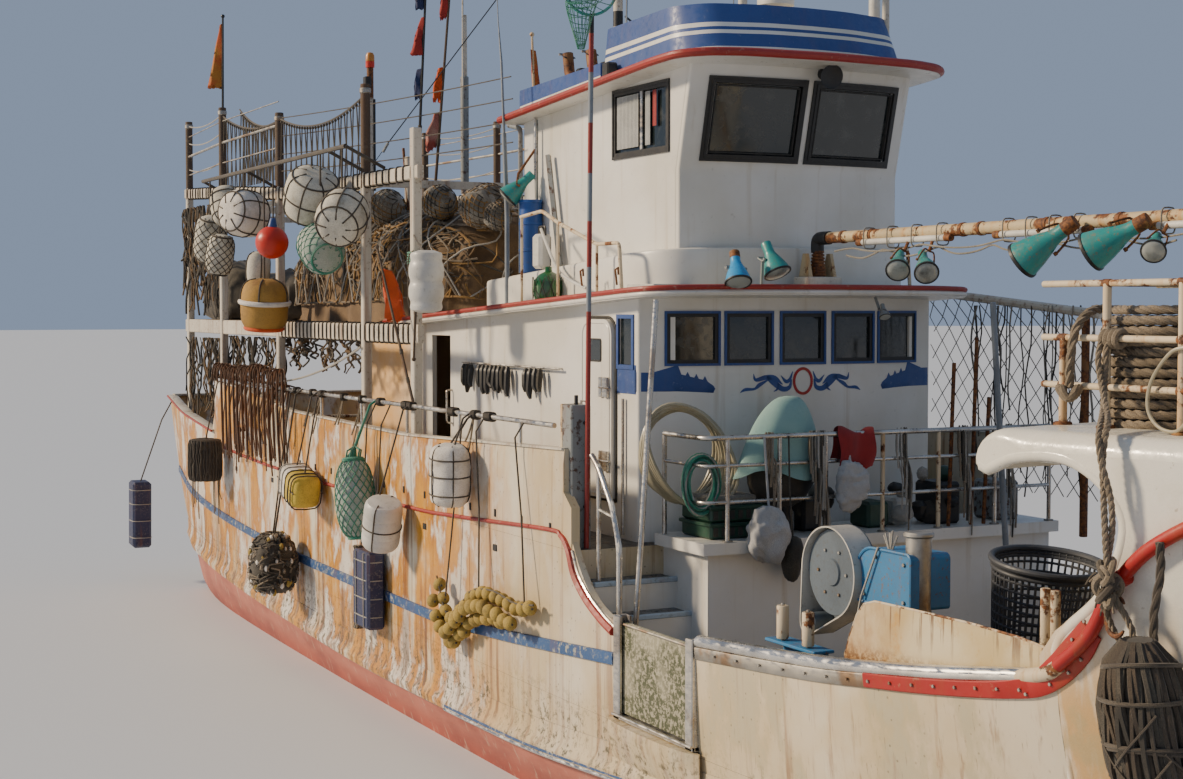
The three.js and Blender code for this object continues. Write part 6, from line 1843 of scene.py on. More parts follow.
def make_wheelhouse_front():
    """The wheelhouse's bowed front wall, its windows and the curtains on its starboard side."""
    wall = Wall(bowed(BRIDGE_COLUMNS, 0.11, 3.135), bridge_lean)
    front = Piece("wheelhouse_front_wall", "gelcoat", slot="gelcoat", replaces=["wheelhouse_front"],
                  sharp=20)
    holes = [(wall.by_y(a), wall.by_y(b), 6.37, 7.11) for a, b in ((-1.08, -0.07), (0.07, 1.08))]
    corner = list(wall.run[:9])
    stops = [wall.run[9]] + [s for hole in holes for s in hole[:2]] + [wall.run[-10]]
    values = corner + spread(stops, 0.13) + list(wall.run[-9:])
    heights = [5.46, 5.8, 6.1, 6.2, 6.25, 6.3, 6.37, 6.7, 7.11, 7.25]
    front.add(wall.panel(values, heights, 0, -0.06, visor_under, holes))
    front.done()
    trim = Piece("wheelhouse_windows", "black", "rubber", "glass", "curtain", "stainless",
                 slot="black_plastic", sharp=30)
    for hole in holes:
        trim.add(wall.frame(hole, 0.035, 0.022, -0.01))
        trim.add(wall.frame(hole, -0.03, 0.03, -0.04))
        inside = (hole[0] + 0.045, hole[1] - 0.045, hole[2] + 0.045, hole[3] - 0.045)
        trim.add(wall.frame(inside, -0.012, 0.016, -0.04), 1)
        trim.add(wall.pane(hole, -0.012), 2)
    side = Wall([(1.6, -BRIDGE_HALF), (2.4, -BRIDGE_HALF), (3.1, -BRIDGE_HALF)])
    window = (0.23, 1.39, 6.47, 7.13)
    trim.both(side.frame(window, 0.03, 0.02, -0.01))
    trim.both(side.frame(window, -0.035, 0.012, -0.04))
    trim.both(block((2.41, -BRIDGE_HALF - 0.012, 6.5), (2.46, -BRIDGE_HALF + 0.01, 7.1), 0.003), 4)
    trim.both(side.pane(window, -0.02), 2)
    trim.done()
    for name, look, aft, fore, low in CURTAINS:
        curtain = Piece(name, look, slot="white_plastic", sharp=180)
        columns = max(9, int((fore - aft) * 90))
        span = np.linspace(0, fore - aft, columns)
        heights = np.linspace(CURTAIN_TOP, low, 5)
        grid = [[(aft + s, -BRIDGE_HALF - 0.010 + 0.0035 * math.sin(75 * s), z) for s in span]
                for z in heights]
        curtain.add((np.array(grid).reshape(-1, 3), grid_faces(5, columns)))
        curtain.done()


CURTAIN_TOP = 7.08
CURTAINS = [
    ("wheelhouse_curtain_aft", "curtain", 1.90, 2.38, 6.54),
    ("wheelhouse_curtain_fore", "curtain", 2.52, 2.62, 6.54),
    ("wheelhouse_pennant", "cloth_red", 2.68, 2.76, 6.72),
]
VISOR_OUTLINE = [(-0.6, -1.55), (3.2, -1.6), (3.62, -1.56), (3.82, -1.36), (3.93, -1.0), (3.98, 0)]
PARAPET_PLAN = [(1.5, 0), (1.5, -1.33), (3.25, -1.33), (3.56, -1.1), (3.7, -0.5), (3.72, 0)]
# The coaming's bands: each one's lower edge as a share of its height, and its paint, white (0) or blue (1)
STRIPES = [(0.0, 0), (0.2, 1), (0.44, 0), (0.51, 1), (0.57, 0), (0.65, 1), (1.0, 1)]


def make_wheelhouse_roof():
    """The visor with its red edge, the striped coaming on it, and the radar's pedestal."""
    outline = plan_with_mirror(VISOR_OUTLINE)
    roof = Piece("visor", "gelcoat", "trim_blue", "trim_red", slot="gelcoat", replaces=["wheelhouse_roof"])
    roof.add(flat_shape(outline, lambda u, v, w: (u, v, visor_under(u) + w), 0.08, 0.5))
    rim = [(x, y, visor_top(x) - 0.035) for x, y in outline + [outline[0]]]
    roof.add(tube(rim, 0.042, 10), 2)
    half = filleted([np.array(p) for p in PARAPET_PLAN], 0.16, 5)
    plan = [tuple(p) for p in half] + [tuple(p) for p in (half * (1, -1))[::-1][1:]]

    def lifted(p, share, draw):
        x, y = p
        top = 7.8 + 0.02 * x
        low = visor_top(x) - 0.02
        lean = 0.22 * share * min(1.0, max(0.0, (x - 2.2) / 1.2))
        inward = draw + 0.05 * share
        return (x - lean - inward * (1 if x > 2 else -1) * 0.5, y * (1 - inward / 1.33),
                low + share * (top - low))

    shares = [stripe[0] for stripe in STRIPES]
    rows = [[lifted(p, share, 0.0) for p in plan] for share in shares]
    backs = [[lifted(p, share, 0.07) for p in plan] for share in shares]
    verts, faces = shell(rows, backs)
    outer_count = len(rows) * len(plan)
    paints = []
    for face in faces:
        row = min(face) // len(plan)
        outer = max(face) < outer_count and row < len(STRIPES) - 1
        paints.append(STRIPES[row][1] if outer else 0)
    roof.add((verts, faces), paints)
    curb = [(-0.58, -1.3), (1.54, -1.32)]
    for side in (-1, 1):
        rows = [[(x, side * -y, z(x)) for x, y in curb] for z in
                (lambda x: visor_top(x) - 0.02, lambda x: visor_top(x) + 0.13, lambda x: 7.44 + 0.03 * x)]
        backs = [[(x, p - side * 0.05, z) for x, p, z in row] for row in rows]
        skin = shell(rows, backs) if side < 0 else shell(backs, rows)
        roof.add(skin, [0, 1] + [1] * (len(skin[1]) - 2) if side < 0 else 1)
    roof.add(block((-0.6, -1.3, visor_top(-0.6) - 0.02), (-0.54, 1.3, 7.42), 0.01), 1)
    roof.add(block((-0.56, -1.27, 7.2), (1.52, 1.27, 7.395), 0.02))
    roof.add(rod((2.9, 0, 7.28), (2.9, 0, 8.0), 0.09, 16))
    roof.add(revolve([(0.12, 7.94), (0.19, 7.98), (0.19, 8.24), (0.16, 8.3), (0.09, 8.312)], (2.9, 0, 0),
                     24))
    roof.done()


# Shelter, nets and floats

SHELTER_TOP = [(-12.8, 6.97), (-9.65, 6.81), (-6.2, 6.6), (-1.0, 6.56)]
POSTS = [(-12.6, 8.13), (-9.7, 8.08), (-6.6, 7.7), (-2.9, 7.7)]


def shelter_y(x):
    return float(from_table([(-12.6, 2.195), (-9.7, 2.38), (-1.0, 2.38)], x))


def beam_top(x):
    return float(from_table(SHELTER_TOP, x))


def aimed(shape, direction, at=(0, 0, 0)):
    """Turns a shape made along Z to point along a direction, and moves it."""
    turn = np.array(Vector((0, 0, 1)).rotation_difference(Vector(direction)).to_matrix())
    return shape[0] @ turn.T + np.asarray(at, float), shape[1]


def loop_round(centre, along, half_a, half_b, radius, up=(0, 0, 1)):
    """A lashing round a beam: a rounded square loop across its length."""
    along = np.asarray(along, float) / np.linalg.norm(along)
    side = np.cross(along, up)
    side = side / np.linalg.norm(side)
    other = np.cross(side, along)
    line = []
    for a in np.linspace(0, math.tau, 17)[:-1]:
        c, s = math.cos(a), math.sin(a)
        line.append(np.asarray(centre) + side * half_a * math.copysign(abs(c) ** 0.5, c)
                    + other * half_b * math.copysign(abs(s) ** 0.5, s))
    return tube(line, radius, 5, closed=True)


def make_shelter():
    """Posts with dark tops, white beams with lashings, pipe rails, wires and the rope netting between."""
    wild = random.Random(3)
    for side, word in ((-1, "starboard"), (1, "port")):
        frame_piece = Piece(f"shelter_{word}", "white_paint", "dark_wood", "rope_dark", "worn_steel",
                            "rusty_cream", slot="shelter_paint", replaces=[f"shelter_frame_{word}"])
        for x, top in POSTS:
            y = side * shelter_y(x)
            cut = beam_top(x) + 0.02
            frame_piece.add(block((x - 0.06, y - 0.055, MAIN_DECK + 0.002), (x + 0.06, y + 0.055, cut),
                                  0.012))
            frame_piece.add(rod((x, y, cut - 0.2), (x, y, top), 0.062, 14), 1)
            frame_piece.add(rod((x, y, top - 0.12), (x, y, top - 0.05), 0.072, 14), 3)
        y = side * shelter_y(-1.15)
        frame_piece.add(block((-1.21, y - 0.055, MAIN_DECK + 0.002), (-1.09, y + 0.055, 7.0), 0.012))
        for low in (lambda x: 4.48, lambda x: beam_top(x) - 0.16):
            rings = []
            tall = 0.22 if low(-9) < 5 else 0.16
            for x in np.linspace(-12.8, -1.0, 30):
                y = side * shelter_y(x)
                z = low(x)
                ring = [(y - 0.04, z + 0.012), (y - 0.04, z + tall - 0.012), (y - 0.028, z + tall),
                        (y + 0.028, z + tall), (y + 0.04, z + tall - 0.012), (y + 0.04, z + 0.012),
                        (y + 0.028, z), (y - 0.028, z)]
                rings.append([(x, *p) for p in ring])
            frame_piece.add(loft(rings))
        for x in np.arange(-12.5, -1.1, 0.23):
            x += wild.uniform(-0.05, 0.05)
            z = beam_top(x) - 0.08
            frame_piece.add(loop_round((x, side * shelter_y(x), z), (1, 0, -0.03), 0.05, 0.092, 0.013), 2)
        for x in np.arange(-6.4, -1.2, 0.17):
            frame_piece.add(loop_round((x, side * shelter_y(x), 4.59), (1, 0, 0), 0.05, 0.122, 0.012), 2)
        for z, radius in ((7.52, 0.022), (7.2, 0.012), (7.86, 0.009)):
            line = [(x, side * (shelter_y(x) + 0.01), z) for x in (-12.6, -9.7, -6.6)]
            frame_piece.add(tube(line, radius, 8), 3)
        frame_piece.done()
    wires = Piece("shelter_wires", "rope_dark", "rope_white", slot="rope")
    for z, far in ((7.62, -0.5), (7.36, -0.45), (7.1, -0.45), (6.86, -0.45)):
        wires.both(tube(sagging((-6.6, shelter_y(-6.6) * -1, z), (far, -1.45, z - 0.05), 0.03, 12), 0.008,
                        5))
    for a, b in zip((-9.7, -8.68), (-6.6, -6.6)):
        ys = -shelter_y(-8)
        top = sagging((a, ys, 7.95), (b, ys, 7.6), 0.16, 26)
        wires.add(tube(top, 0.012, 6))
        for k, p in enumerate(top[1:-1]):
            foot = np.array([p[0] + (0.12 if k % 2 else -0.12), ys, 6.75])
            wires.add(tube(sagging(p, foot, 0.0, 5), 0.009, 5))
            knot = p + (0, 0, -0.03)
            wires.add(ball(knot, 0.022, 6, 4))
    top = sagging((-6.6, -2.38, 7.62), (-3.0, -2.38, 7.55), 0.22, 30)
    wires.add(tube(top, 0.012, 6))
    for k, p in enumerate(top[1:-1]):
        foot = np.array([p[0] + (0.11 if k % 2 else -0.11), -2.38, beam_top(p[0])])
        wires.add(tube([p, (p + foot) / 2 + (0.02, 0, 0), foot], 0.009, 5))
        wires.add(ball(p + (0, 0, -0.03), 0.022, 6, 4))
    for x0, z0, x1, z1 in ((-12.6, 8.05, -9.7, 7.98), (-12.6, 7.75, -9.7, 7.7), (-12.6, 7.3, -9.7, 7.25)):
        wires.both(tube(sagging((x0, -2.2, z0), (x1, -2.38, z1), 0.09, 12), 0.010, 5), 1)
    wires.add(tube(sagging((-9.7, -2.46, 3.95), (-2.9, -2.46, 4.4), 0.33, 24), 0.014, 6), 1)
    wires.done()


def heap_at(table, x):
    xs, halves, tops = zip(*table)
    return float(smooth(xs, halves, x)), float(smooth(xs, tops, x))


HEAP = [(-8.7, 0.9, 5.3), (-7.9, 1.8, 5.85), (-6.0, 2.05, 6.2), (-4.65, 2.0, 6.25), (-3.0, 1.95, 6.2),
        (-1.9, 1.5, 6.05), (-1.35, 0.9, 5.4)]


def heap_base(x):
    return max(4.701, roof_top(x) + 0.001)


def heap_point(x, share):
    """A point of the heap's skin. The share runs from the starboard foot over the top to the port foot."""
    half, top = heap_at(HEAP, x)
    base = heap_base(x)
    a = math.pi * share
    c, s = math.cos(a), math.sin(a)
    return np.array([x, -half * math.copysign(abs(c) ** 0.55, c), base + (top - base) * abs(s) ** 0.5])


def make_nets():
    """The heap of nets and lines behind the wheelhouse, lashed down, with loose turns of line on it."""
    heap = Piece("net_heap_mass", "net_brown", "rope_brown", "net_dark", "rope_white", "net_ochre",
                 "net_grey", slot="net", replaces=["net_heap"])
    rows = np.linspace(-8.68, -1.37, 74)
    rings = []
    for x in rows:
        ring = [heap_point(x, s) for s in np.linspace(0, 1, 40)]
        rings.append(ring)
    mass = lumpy(loft(rings), 0.9, 0.055, 4)
    mass = lumpy(mass, 0.28, 0.022, 8)
    heap.add((np.maximum(mass[0], (-99, -99, 4.66)), mass[1]))
    wild = random.Random(12)
    for k in range(640):
        x = wild.uniform(-8.3, -1.7)
        share = wild.choice((wild.uniform(0.02, 0.5), wild.uniform(0.02, 0.3), wild.uniform(0.5, 0.98)))
        way = wild.uniform(0, math.tau)
        reach = wild.uniform(0.25, 0.9)
        bend = wild.uniform(-2.4, 2.4)
        line = []
        for t in np.linspace(0, 1, 7):
            angle = way + bend * t
            px = min(-1.45, max(-8.5, x + reach * t * math.cos(angle)))
            ps = min(0.99, max(0.01, share + reach * t * math.sin(angle) * 0.22))
            p = heap_point(px, ps)
            centre = np.array([px, 0, 5.0])
            out = (p - centre) / np.linalg.norm(p - centre)
            line.append(p + out * wild.uniform(0.03, 0.08))
        heap.add(tube(line, wild.uniform(0.007, 0.015), 5), wild.choice((0, 1, 1, 2, 2, 4, 4)))
    for x in np.arange(-8.0, -1.6, 0.62):
        for lean in (0.75, -0.75):
            line = []
            for s in np.linspace(0.01, 0.99, 26):
                px = min(-1.5, max(-8.4, x + lean * math.sin(s * math.tau)))
                p = heap_point(px, s)
                line.append(p + (p - (px, 0, 5.0)) / np.linalg.norm(p - (px, 0, 5.0)) * 0.07)
            heap.add(tube(line, 0.012, 5), 3)
    for x, y, z, r in ((-1.35, -1.50, 6.10, 0.23), (-1.75, -1.2, 6.15, 0.27), (-4.1, -1.65, 6.22, 0.25),
                       (-2.6, -1.5, 6.22, 0.22), (-0.95, -1.42, 5.98, 0.16)):
        bundle = Roll((x, y, z), (0.7, 0.5, 0.4), r, r * 0.95, 2.2)
        heap.add(lumpy(bundle.skin(18, 12), 0.3, 0.02, int(-x * 10)), 5)
        for shape in bundle.mesh(13, 12, 0.008, 0.01):
            heap.add(shape, wild.choice((1, 2, 4)))
    heap.done()
    curtain = Piece("aft_nets", "net_dark", "rope_dark", "net_brown", slot="net")
    for x0, x1, z0, z1, y, seed, count in ((-12.5, -9.8, 4.7, 6.6, -2.33, 31, 70),
                                           (-9.6, -6.7, 3.2, 4.45, -2.3, 32, 46),
                                           (-6.5, -3.0, 4.0, 4.46, -2.3, 33, 36),
                                           (-12.5, -9.8, 2.75, 4.4, -2.3, 34, 40),
                                           (-12.5, -9.8, 4.7, 6.6, 2.33, 35, 50),
                                           (-9.6, -1.4, 4.72, 6.4, 2.3, 36, 110)):
        rng = random.Random(seed)
        for k in range(count):
            x = rng.uniform(x0, x1)
            hang = rng.uniform(0.4, 1.0) * (z1 - z0)
            line = []
            for t in np.linspace(0, 1, 8):
                line.append((min(x1, max(x0, x + rng.uniform(-0.07, 0.07) + 0.2 * math.sin(3 * t + k))),
                             y + rng.uniform(-0.05, 0.05), z1 - hang * t))
            curtain.add(tube(flowing(line, 2), rng.uniform(0.008, 0.02), 5), rng.choice((0, 1, 2)))
    for x0, x1, z0, z1 in ((-12.4, -10.2, 4.72, 5.6), (-9.2, -7.0, 4.72, 5.35)):
        lump = ball(((x0 + x1) / 2, -1.75, (z0 + z1) / 2), ((x1 - x0) / 2, 0.42, (z1 - z0) / 2 + 0.1), 26,
                    16, 0.7)
        curtain.add(lumpy(lumpy(lump, 0.7, 0.05, 6), 0.2, 0.02, 7))
    curtain.done()


BINDING = 0.004


class Roll:
    """A drum with rounded ends about an axis. at() gives points of its skin for bindings."""

    def __init__(self, centre, axis, radius, half, power=4.0, flat=1.0):
        self.centre = np.asarray(centre, float)
        self.axis = np.asarray(axis, float) / np.linalg.norm(axis)
        side = np.cross(self.axis, (0.02, 0.98, 0.17))
        self.side = side / np.linalg.norm(side)
        self.other = np.cross(self.axis, self.side) * flat
        self.radius, self.half, self.power = radius, half, power

    def at(self, turn, t, grow=0.0):
        wide = (1 - min(1.0, abs(t)) ** self.power) ** (1 / self.power)
        r = self.radius * wide + grow
        end = self.half * t + math.copysign(grow, t) * (1 - wide)
        return self.centre + self.axis * end + (self.side * math.cos(turn) + self.other * math.sin(turn)) * r

    def skin(self, around, rows):
        rings = []
        for t in np.sin(np.linspace(-math.pi / 2, math.pi / 2, rows)) * 0.999:
            rings.append([self.at(a, t) for a in np.linspace(0, math.tau, around + 1)[:-1]])
        return loft(rings)

    def hoop(self, t, radius):
        return tube([self.at(a, t, BINDING) for a in np.linspace(0, math.tau, 25)[:-1]], radius, 6,
                    closed=True)

    def line(self, turn, radius, start=-0.98, end=0.98):
        return tube([self.at(turn, t, BINDING) for t in np.linspace(start, end, 15)], radius, 6)

    def mesh(self, step_count, rows, radius, grow=0.006):
        """Netting over the skin: two sets of lines that wind opposite ways."""
        shapes = []
        for sign in (-1, 1):
            for k in range(step_count):
                start = math.tau * k / step_count
                shapes.append(tube([self.at(start + sign * 1.6 * (t + 1), t, grow)
                                    for t in np.linspace(-0.97, 0.97, rows)],
                                   radius, 4))
        return shapes


FLOATS = [
    {"at": (-8.6, 5.94), "r": 0.25, "half": 0.36, "axis": (0.35, 0, 1), "paint": 0, "cover": 2},
    {"at": (-7.65, 6.4), "r": 0.24, "half": 0.29, "axis": (-0.5, 0, 1), "paint": 0, "cover": 3},
    {"at": (-8.05, 5.69), "r": 0.21, "half": 0.31, "axis": (0.2, 0.1, 1), "paint": 0, "cover": 2},
    {"at": (-6.7, 6.25), "r": 0.34, "half": 0.30, "axis": (0.5, -1, 0.1), "paint": 1, "cover": 1},
    {"at": (-5.7, 4.93), "r": 0.34, "half": 0.37, "axis": (0.12, 0, 1), "paint": 5, "cover": 0},
    {"at": (-3.55, 6.32), "r": 0.36, "half": 0.34, "axis": (0.6, 0, 0.8), "paint": 0, "cover": 1},
    {"at": (-2.35, 6.0), "r": 0.32, "half": 0.31, "axis": (0.7, -0.5, -0.5), "paint": 0, "cover": 1},
    {"at": (-3.2, 5.64), "r": 0.28, "half": 0.32, "axis": (1, 0, -0.5), "paint": 4, "cover": 2},
]
FLOAT_Y = -2.88


def make_floats():
    """Foam floats bound in rope and netting, hung outboard of the shelter from a line."""
    floats = Piece("hung_floats", "foam", "foam_white", "rope_dark", "net_green", "net_pale", "float_ochre",
                   "ball_red", "trim_blue", "rope_white", "flag_orange", slot="foam",
                   replaces=["floats_starboard"])
    for k, item in enumerate(FLOATS):
        x, z = item["at"]
        roll = Roll((x, FLOAT_Y, z), item["axis"], item["r"], item["half"], 3.4, 0.97)
        floats.add(lumpy(roll.skin(26, 18), 0.35, 0.006, k), item["paint"])
        if item["cover"] == 1:
            for turn in np.linspace(0, math.tau, 9)[:-1]:
                floats.add(roll.line(turn, 0.011, -0.99, 0.99), 2)
            for t in (-0.75, 0.0, 0.8):
                floats.add(roll.hoop(t, 0.012), 2)
        elif item["cover"] == 2:
            for shape in roll.mesh(11, 12, 0.006):
                floats.add(shape, 3 if k == 7 else 2)
            for t, radius in ((0.9, 0.016), (-0.92, 0.014)):
                floats.add(roll.hoop(t, radius), 3 if k == 7 else 2)
        elif item["cover"] == 3:
            for t in (-0.55, 0.0, 0.55):
                floats.add(roll.hoop(t, 0.010), 2)
            for turn in (0.4, 2.0, 3.6, 5.2):
                floats.add(roll.line(turn, 0.009), 2)
        else:
            band = [roll.at(a, 0.12, 0.006) for a in np.linspace(0, math.tau, 31)[:-1]]
            floats.add(tube(band, 0.035, 8, closed=True), 1)
            floats.add(roll.hoop(-0.86, 0.03), 9)
            for turn in (0.2, 1.3, 2.6, 4.0, 5.2):
                floats.add(roll.line(turn, 0.012, 0.1, 0.99), 2)
        floats.add(rod((x, FLOAT_Y, z + item["half"] * 0.7), (x + 0.02, FLOAT_Y, 6.85), 0.013, 6), 2)
    floats.add(ball((-5.32, FLOAT_Y, 5.79), 0.225, 24, 16), 6)
    floats.add(rod((-5.3, FLOAT_Y, 5.97), (-5.26, FLOAT_Y, 6.12), 0.07, 12, 0.04), 7)
    floats.add(rod((-5.26, FLOAT_Y, 6.1), (-5.24, FLOAT_Y, 6.85), 0.012, 6), 2)
    small = Roll((-6.35, FLOAT_Y + 0.1, 5.45), (0.2, 0, 1), 0.17, 0.25, 3)
    floats.add(small.skin(18, 10), 0)
    for turn in (0, 1.5, 3.1, 4.7):
        floats.add(small.line(turn, 0.009), 2)
    floats.add(tube(sagging((-9.0, FLOAT_Y, 6.85), (-2.2, FLOAT_Y, 6.85), 0.0, 30), 0.03, 8), 2)
    for x in (-9.0, -6.6, -2.9, -2.2):
        floats.add(rod((x, FLOAT_Y, 6.85), (x, -2.38, 6.6), 0.022, 8), 2)
    floats.done()
    buoy = Piece("ribbed_buoy", "white_plastic", "rope_dark", "net_green", slot="white_plastic")
    roll = Roll((-0.21, -2.62, 5.19), (0.02, 0, 1), 0.2, 0.35, 6)
    rings = []
    for t in np.linspace(-1, 1, 25):
        grow = -0.022 * abs(math.cos(t * math.pi * 1.5)) ** 6 if abs(t) < 0.9 else 0
        rings.append([roll.at(a, t * 0.999, grow) for a in np.linspace(0, math.tau, 29)[:-1]])
    buoy.add(loft(rings))
    buoy.add(tube(sagging((-0.21, -2.62, 5.5), (-1.12, -2.42, 5.75), 0.02, 5), 0.01, 5), 1)
    buoy.add(roll.line(1.2, 0.008, -0.9, 0.98), 1)
    for k in range(5):
        buoy.add(loop_round((-1.15, -2.38, 5.42 + 0.03 * k), (0, 0, 1), 0.085, 0.085, 0.014, (1, 0, 0)), 2)
    buoy.done()


RAIL_Z = 3.76
RAIL_Y = -2.555


def hang(hung, x, top, radius=0.011):
    """The line by which a fender hangs from the rail at x."""
    hung.add(tube([(x, RAIL_Y, RAIL_Z + 0.03), (x, -2.66, RAIL_Z - 0.04), top], radius, 6), 1)


def make_side_rail():
    """The rail on the bulwark, with the fenders, buoys and floats that hang from it."""
    hung = Piece("hung_fenders", "stainless", "rope_dark", "foam_white", "foam_yellow", "net_green",
                 "white_plastic", "net_dark", "foam_dark", "navy_board", "rope_white", "float_olive",
                 "net_pale", "rope_brown", slot="foam", replaces=["fender_rail_starboard"])
    hung.add(rod((-9.4, RAIL_Y, RAIL_Z), (3.0, RAIL_Y, RAIL_Z), 0.027, 12))
    for x in (-8.9, -7.4, -5.8, -4.2, -2.6, -1.0, 0.6, 2.2):
        hung.add(rod((x, RAIL_Y, aft_top(x) - 0.002), (x, RAIL_Y, RAIL_Z), 0.021, 10))
    wild = random.Random(8)
    for x in (-6.3, -5.9, -5.3, -4.6, -4.2, -3.3, -2.6, -1.95, -1.1, -0.9, 0.35, 1.0, 1.35):
        for k in range(wild.choice((3, 4, 6))):
            hung.add(loop_round((x + k * 0.028, RAIL_Y, RAIL_Z), (1, 0.1, 0.1), 0.04, 0.04, 0.013), 1)
        for k in range(wild.choice((0, 1, 2))):
            end = (x + wild.uniform(-0.1, 0.1), -2.66, RAIL_Z - wild.uniform(0.2, 0.6))
            hung.add(tube(sagging((x, RAIL_Y, RAIL_Z), end, 0.03, 5), 0.011, 5), 12)
    add_white_roll(hung)
    add_netted_float(hung)
    add_canister(hung)
    add_split_buoy(hung)
    add_shaggy_ball(hung, wild)
    add_roped_roll(hung, wild)
    add_navy_board(hung, wild)
    hung.done()
    make_float_string(wild)
    make_stern_fender()


def add_white_roll(hung):
    """The short roll of white foam, tied round with line."""
    roll = Roll((1.06, -2.86, 3.13), (0.08, -0.02, 1), 0.235, 0.33, 4.5, 0.9)
    hung.add(lumpy(roll.skin(24, 18), 0.22, 0.01, 2), 2)
    for t in (-0.6, 0.0, 0.55):
        hung.add(roll.hoop(t, 0.009), 1)
    for turn in (0.5, 1.7, 2.9, 4.3, 5.5):
        hung.add(roll.line(turn, 0.008), 1)
    hang(hung, 1.06, (1.02, -2.84, 3.45))
    hang(hung, 0.95, (1.14, -2.84, 3.44))


def add_netted_float(hung):
    """The long pale float in its green net, which is gathered above it."""
    roll = Roll((-1.95, -2.87, 2.6), (-0.16, 0, 1), 0.235, 0.50, 2.4)
    hung.add(lumpy(roll.skin(24, 22), 0.4, 0.012, 5), 11)
    for shape in roll.mesh(15, 22, 0.0065):
        hung.add(shape, 4)
    hung.add(roll.hoop(0.93, 0.03), 4)
    hung.add(roll.hoop(-0.95, 0.022), 4)
    top = roll.at(0, 0.99)
    hung.add(tube([top, top + (0.02, 0.03, 0.12), (-2.0, -2.66, RAIL_Z - 0.04),
                   (-2.0, RAIL_Y, RAIL_Z + 0.03)],
                  [0.07, 0.022, 0.015, 0.015], 8), 4)
    for k in range(5):
        start = roll.at(k * 1.2, 0.96)
        hung.add(tube([start, start + (0.0, 0.02, 0.1), top + (0.02, 0.03, 0.14)], 0.012, 5), 4)


def add_canister(hung):
    """The leaning white canister with two grooves round it."""
    roll = Roll((-0.93, -2.9, 2.40), (0.42, -0.05, 1), 0.225, 0.31, 6)
    rings = []
    for t in np.linspace(-1, 1, 27):
        grow = -0.008 * (abs(abs(t) - 0.36) < 0.045)
        rings.append([roll.at(a, t * 0.999, grow) for a in np.linspace(0, math.tau, 31)[:-1]])
    hung.add(loft(rings), 5)
    hung.add(roll.hoop(-0.05, 0.009), 1)
    hung.add(roll.line(2.3, 0.009, -0.99, 0.99), 1)
    hung.add(roll.line(5.3, 0.009, -0.99, 0.99), 1)
    hang(hung, -0.86, roll.at(0, 0.99))


def add_split_buoy(hung):
    """The lying buoy, white aft and yellow forward, with its lashings."""
    lump = ball((0, 0, 0), (0.38, 0.21, 0.225), 24, 14, 0.5)
    tilt = turned(lump, 14, "Y")
    middle = np.array([-4.17, -2.87, 2.55])
    verts = tilt[0] + middle
    paints = [3 if verts[list(face)][:, 0].mean() > -4.12 else 2 for face in tilt[1]]
    hung.add((verts, tilt[1]), paints)
    way = np.array([math.cos(math.radians(14)), 0, -math.sin(math.radians(14))])
    for along in (-0.25, -0.12, 0.02, 0.16, 0.27):
        hung.add(loop_round(middle + way * along, way, 0.215, 0.232, 0.010), 9 if along < 0 else 1)
    for y in (-0.2, 0.2):
        hung.add(tube([middle + way * -0.37 + (0, y, 0.02), middle + way * 0.37 + (0, y, 0.02)], 0.009, 5),
                 1)
    hang(hung, -4.3, (-4.35, -2.86, 2.76))
    hang(hung, -4.05, (-4.0, -2.86, 2.7))


def add_shaggy_ball(hung, wild):
    """The big ball of old net and foam, rough with lumps and loose ends."""
    core = ball((-5.09, -2.97, 1.4), (0.36, 0.31, 0.42), 26, 18, 0.85)
    hung.add(lumpy(lumpy(core, 0.5, 0.03, 3), 0.12, 0.022, 9), 6)
    shell_roll = Roll((-5.09, -2.97, 1.4), (0, 0, 1), 0.38, 0.43, 2.4, 0.84)
    for k in range(210):
        a, t = wild.uniform(0, math.tau), wild.uniform(-0.95, 0.95)
        spot = shell_roll.at(a, t)
        if k % 3:
            size = wild.uniform(0.03, 0.055)
            hung.add(turned(ball(spot, (size, size * 0.6, size * 1.1), 6, 4), wild.uniform(0, 90), "Y",
                            spot),
                     wild.choice((6, 7, 12, 2) if k % 7 else (10,)))
        else:
            line = [shell_roll.at(a + s * wild.uniform(-0.5, 0.9), max(-0.98, min(0.98, t + s * 0.35)),
                                  0.02)
                    for s in np.linspace(0, 1, 6)]
            hung.add(tube(line, 0.012, 5), wild.choice((1, 12)))
    hang(hung, -5.0, (-5.05, -2.95, 1.85), 0.014)
    hang(hung, -5.25, (-5.15, -2.95, 1.8), 0.012)


def add_roped_roll(hung, wild):
    """The dark foam roll aft, wound in upright rope with ends that hang down."""
    roll = Roll((-9.04, -2.88, 2.53), (0.03, 0, 1), 0.25, 0.33, 9)
    hung.add(lumpy(roll.skin(28, 18), 0.2, 0.008, 4), 7)
    for k in range(40):
        a = math.tau * k / 40 + wild.uniform(-0.04, 0.04)
        hung.add(tube([roll.at(a + wild.uniform(-0.05, 0.05), t, 0.006)
                       for t in np.linspace(-0.95, 0.95, 9)],
                      wild.uniform(0.006, 0.014), 5), 1)
    for k in range(9):
        start = roll.at(wild.uniform(0, 6.28), -0.95)
        hung.add(tube([start, start + (wild.uniform(-0.04, 0.04), 0, -0.2),
                       start + (wild.uniform(-0.06, 0.06), 0.02,
                                -wild.uniform(0.3, 0.8))], 0.008, 5), 12)
    hang(hung, -9.1, (-9.06, -2.86, 2.85))


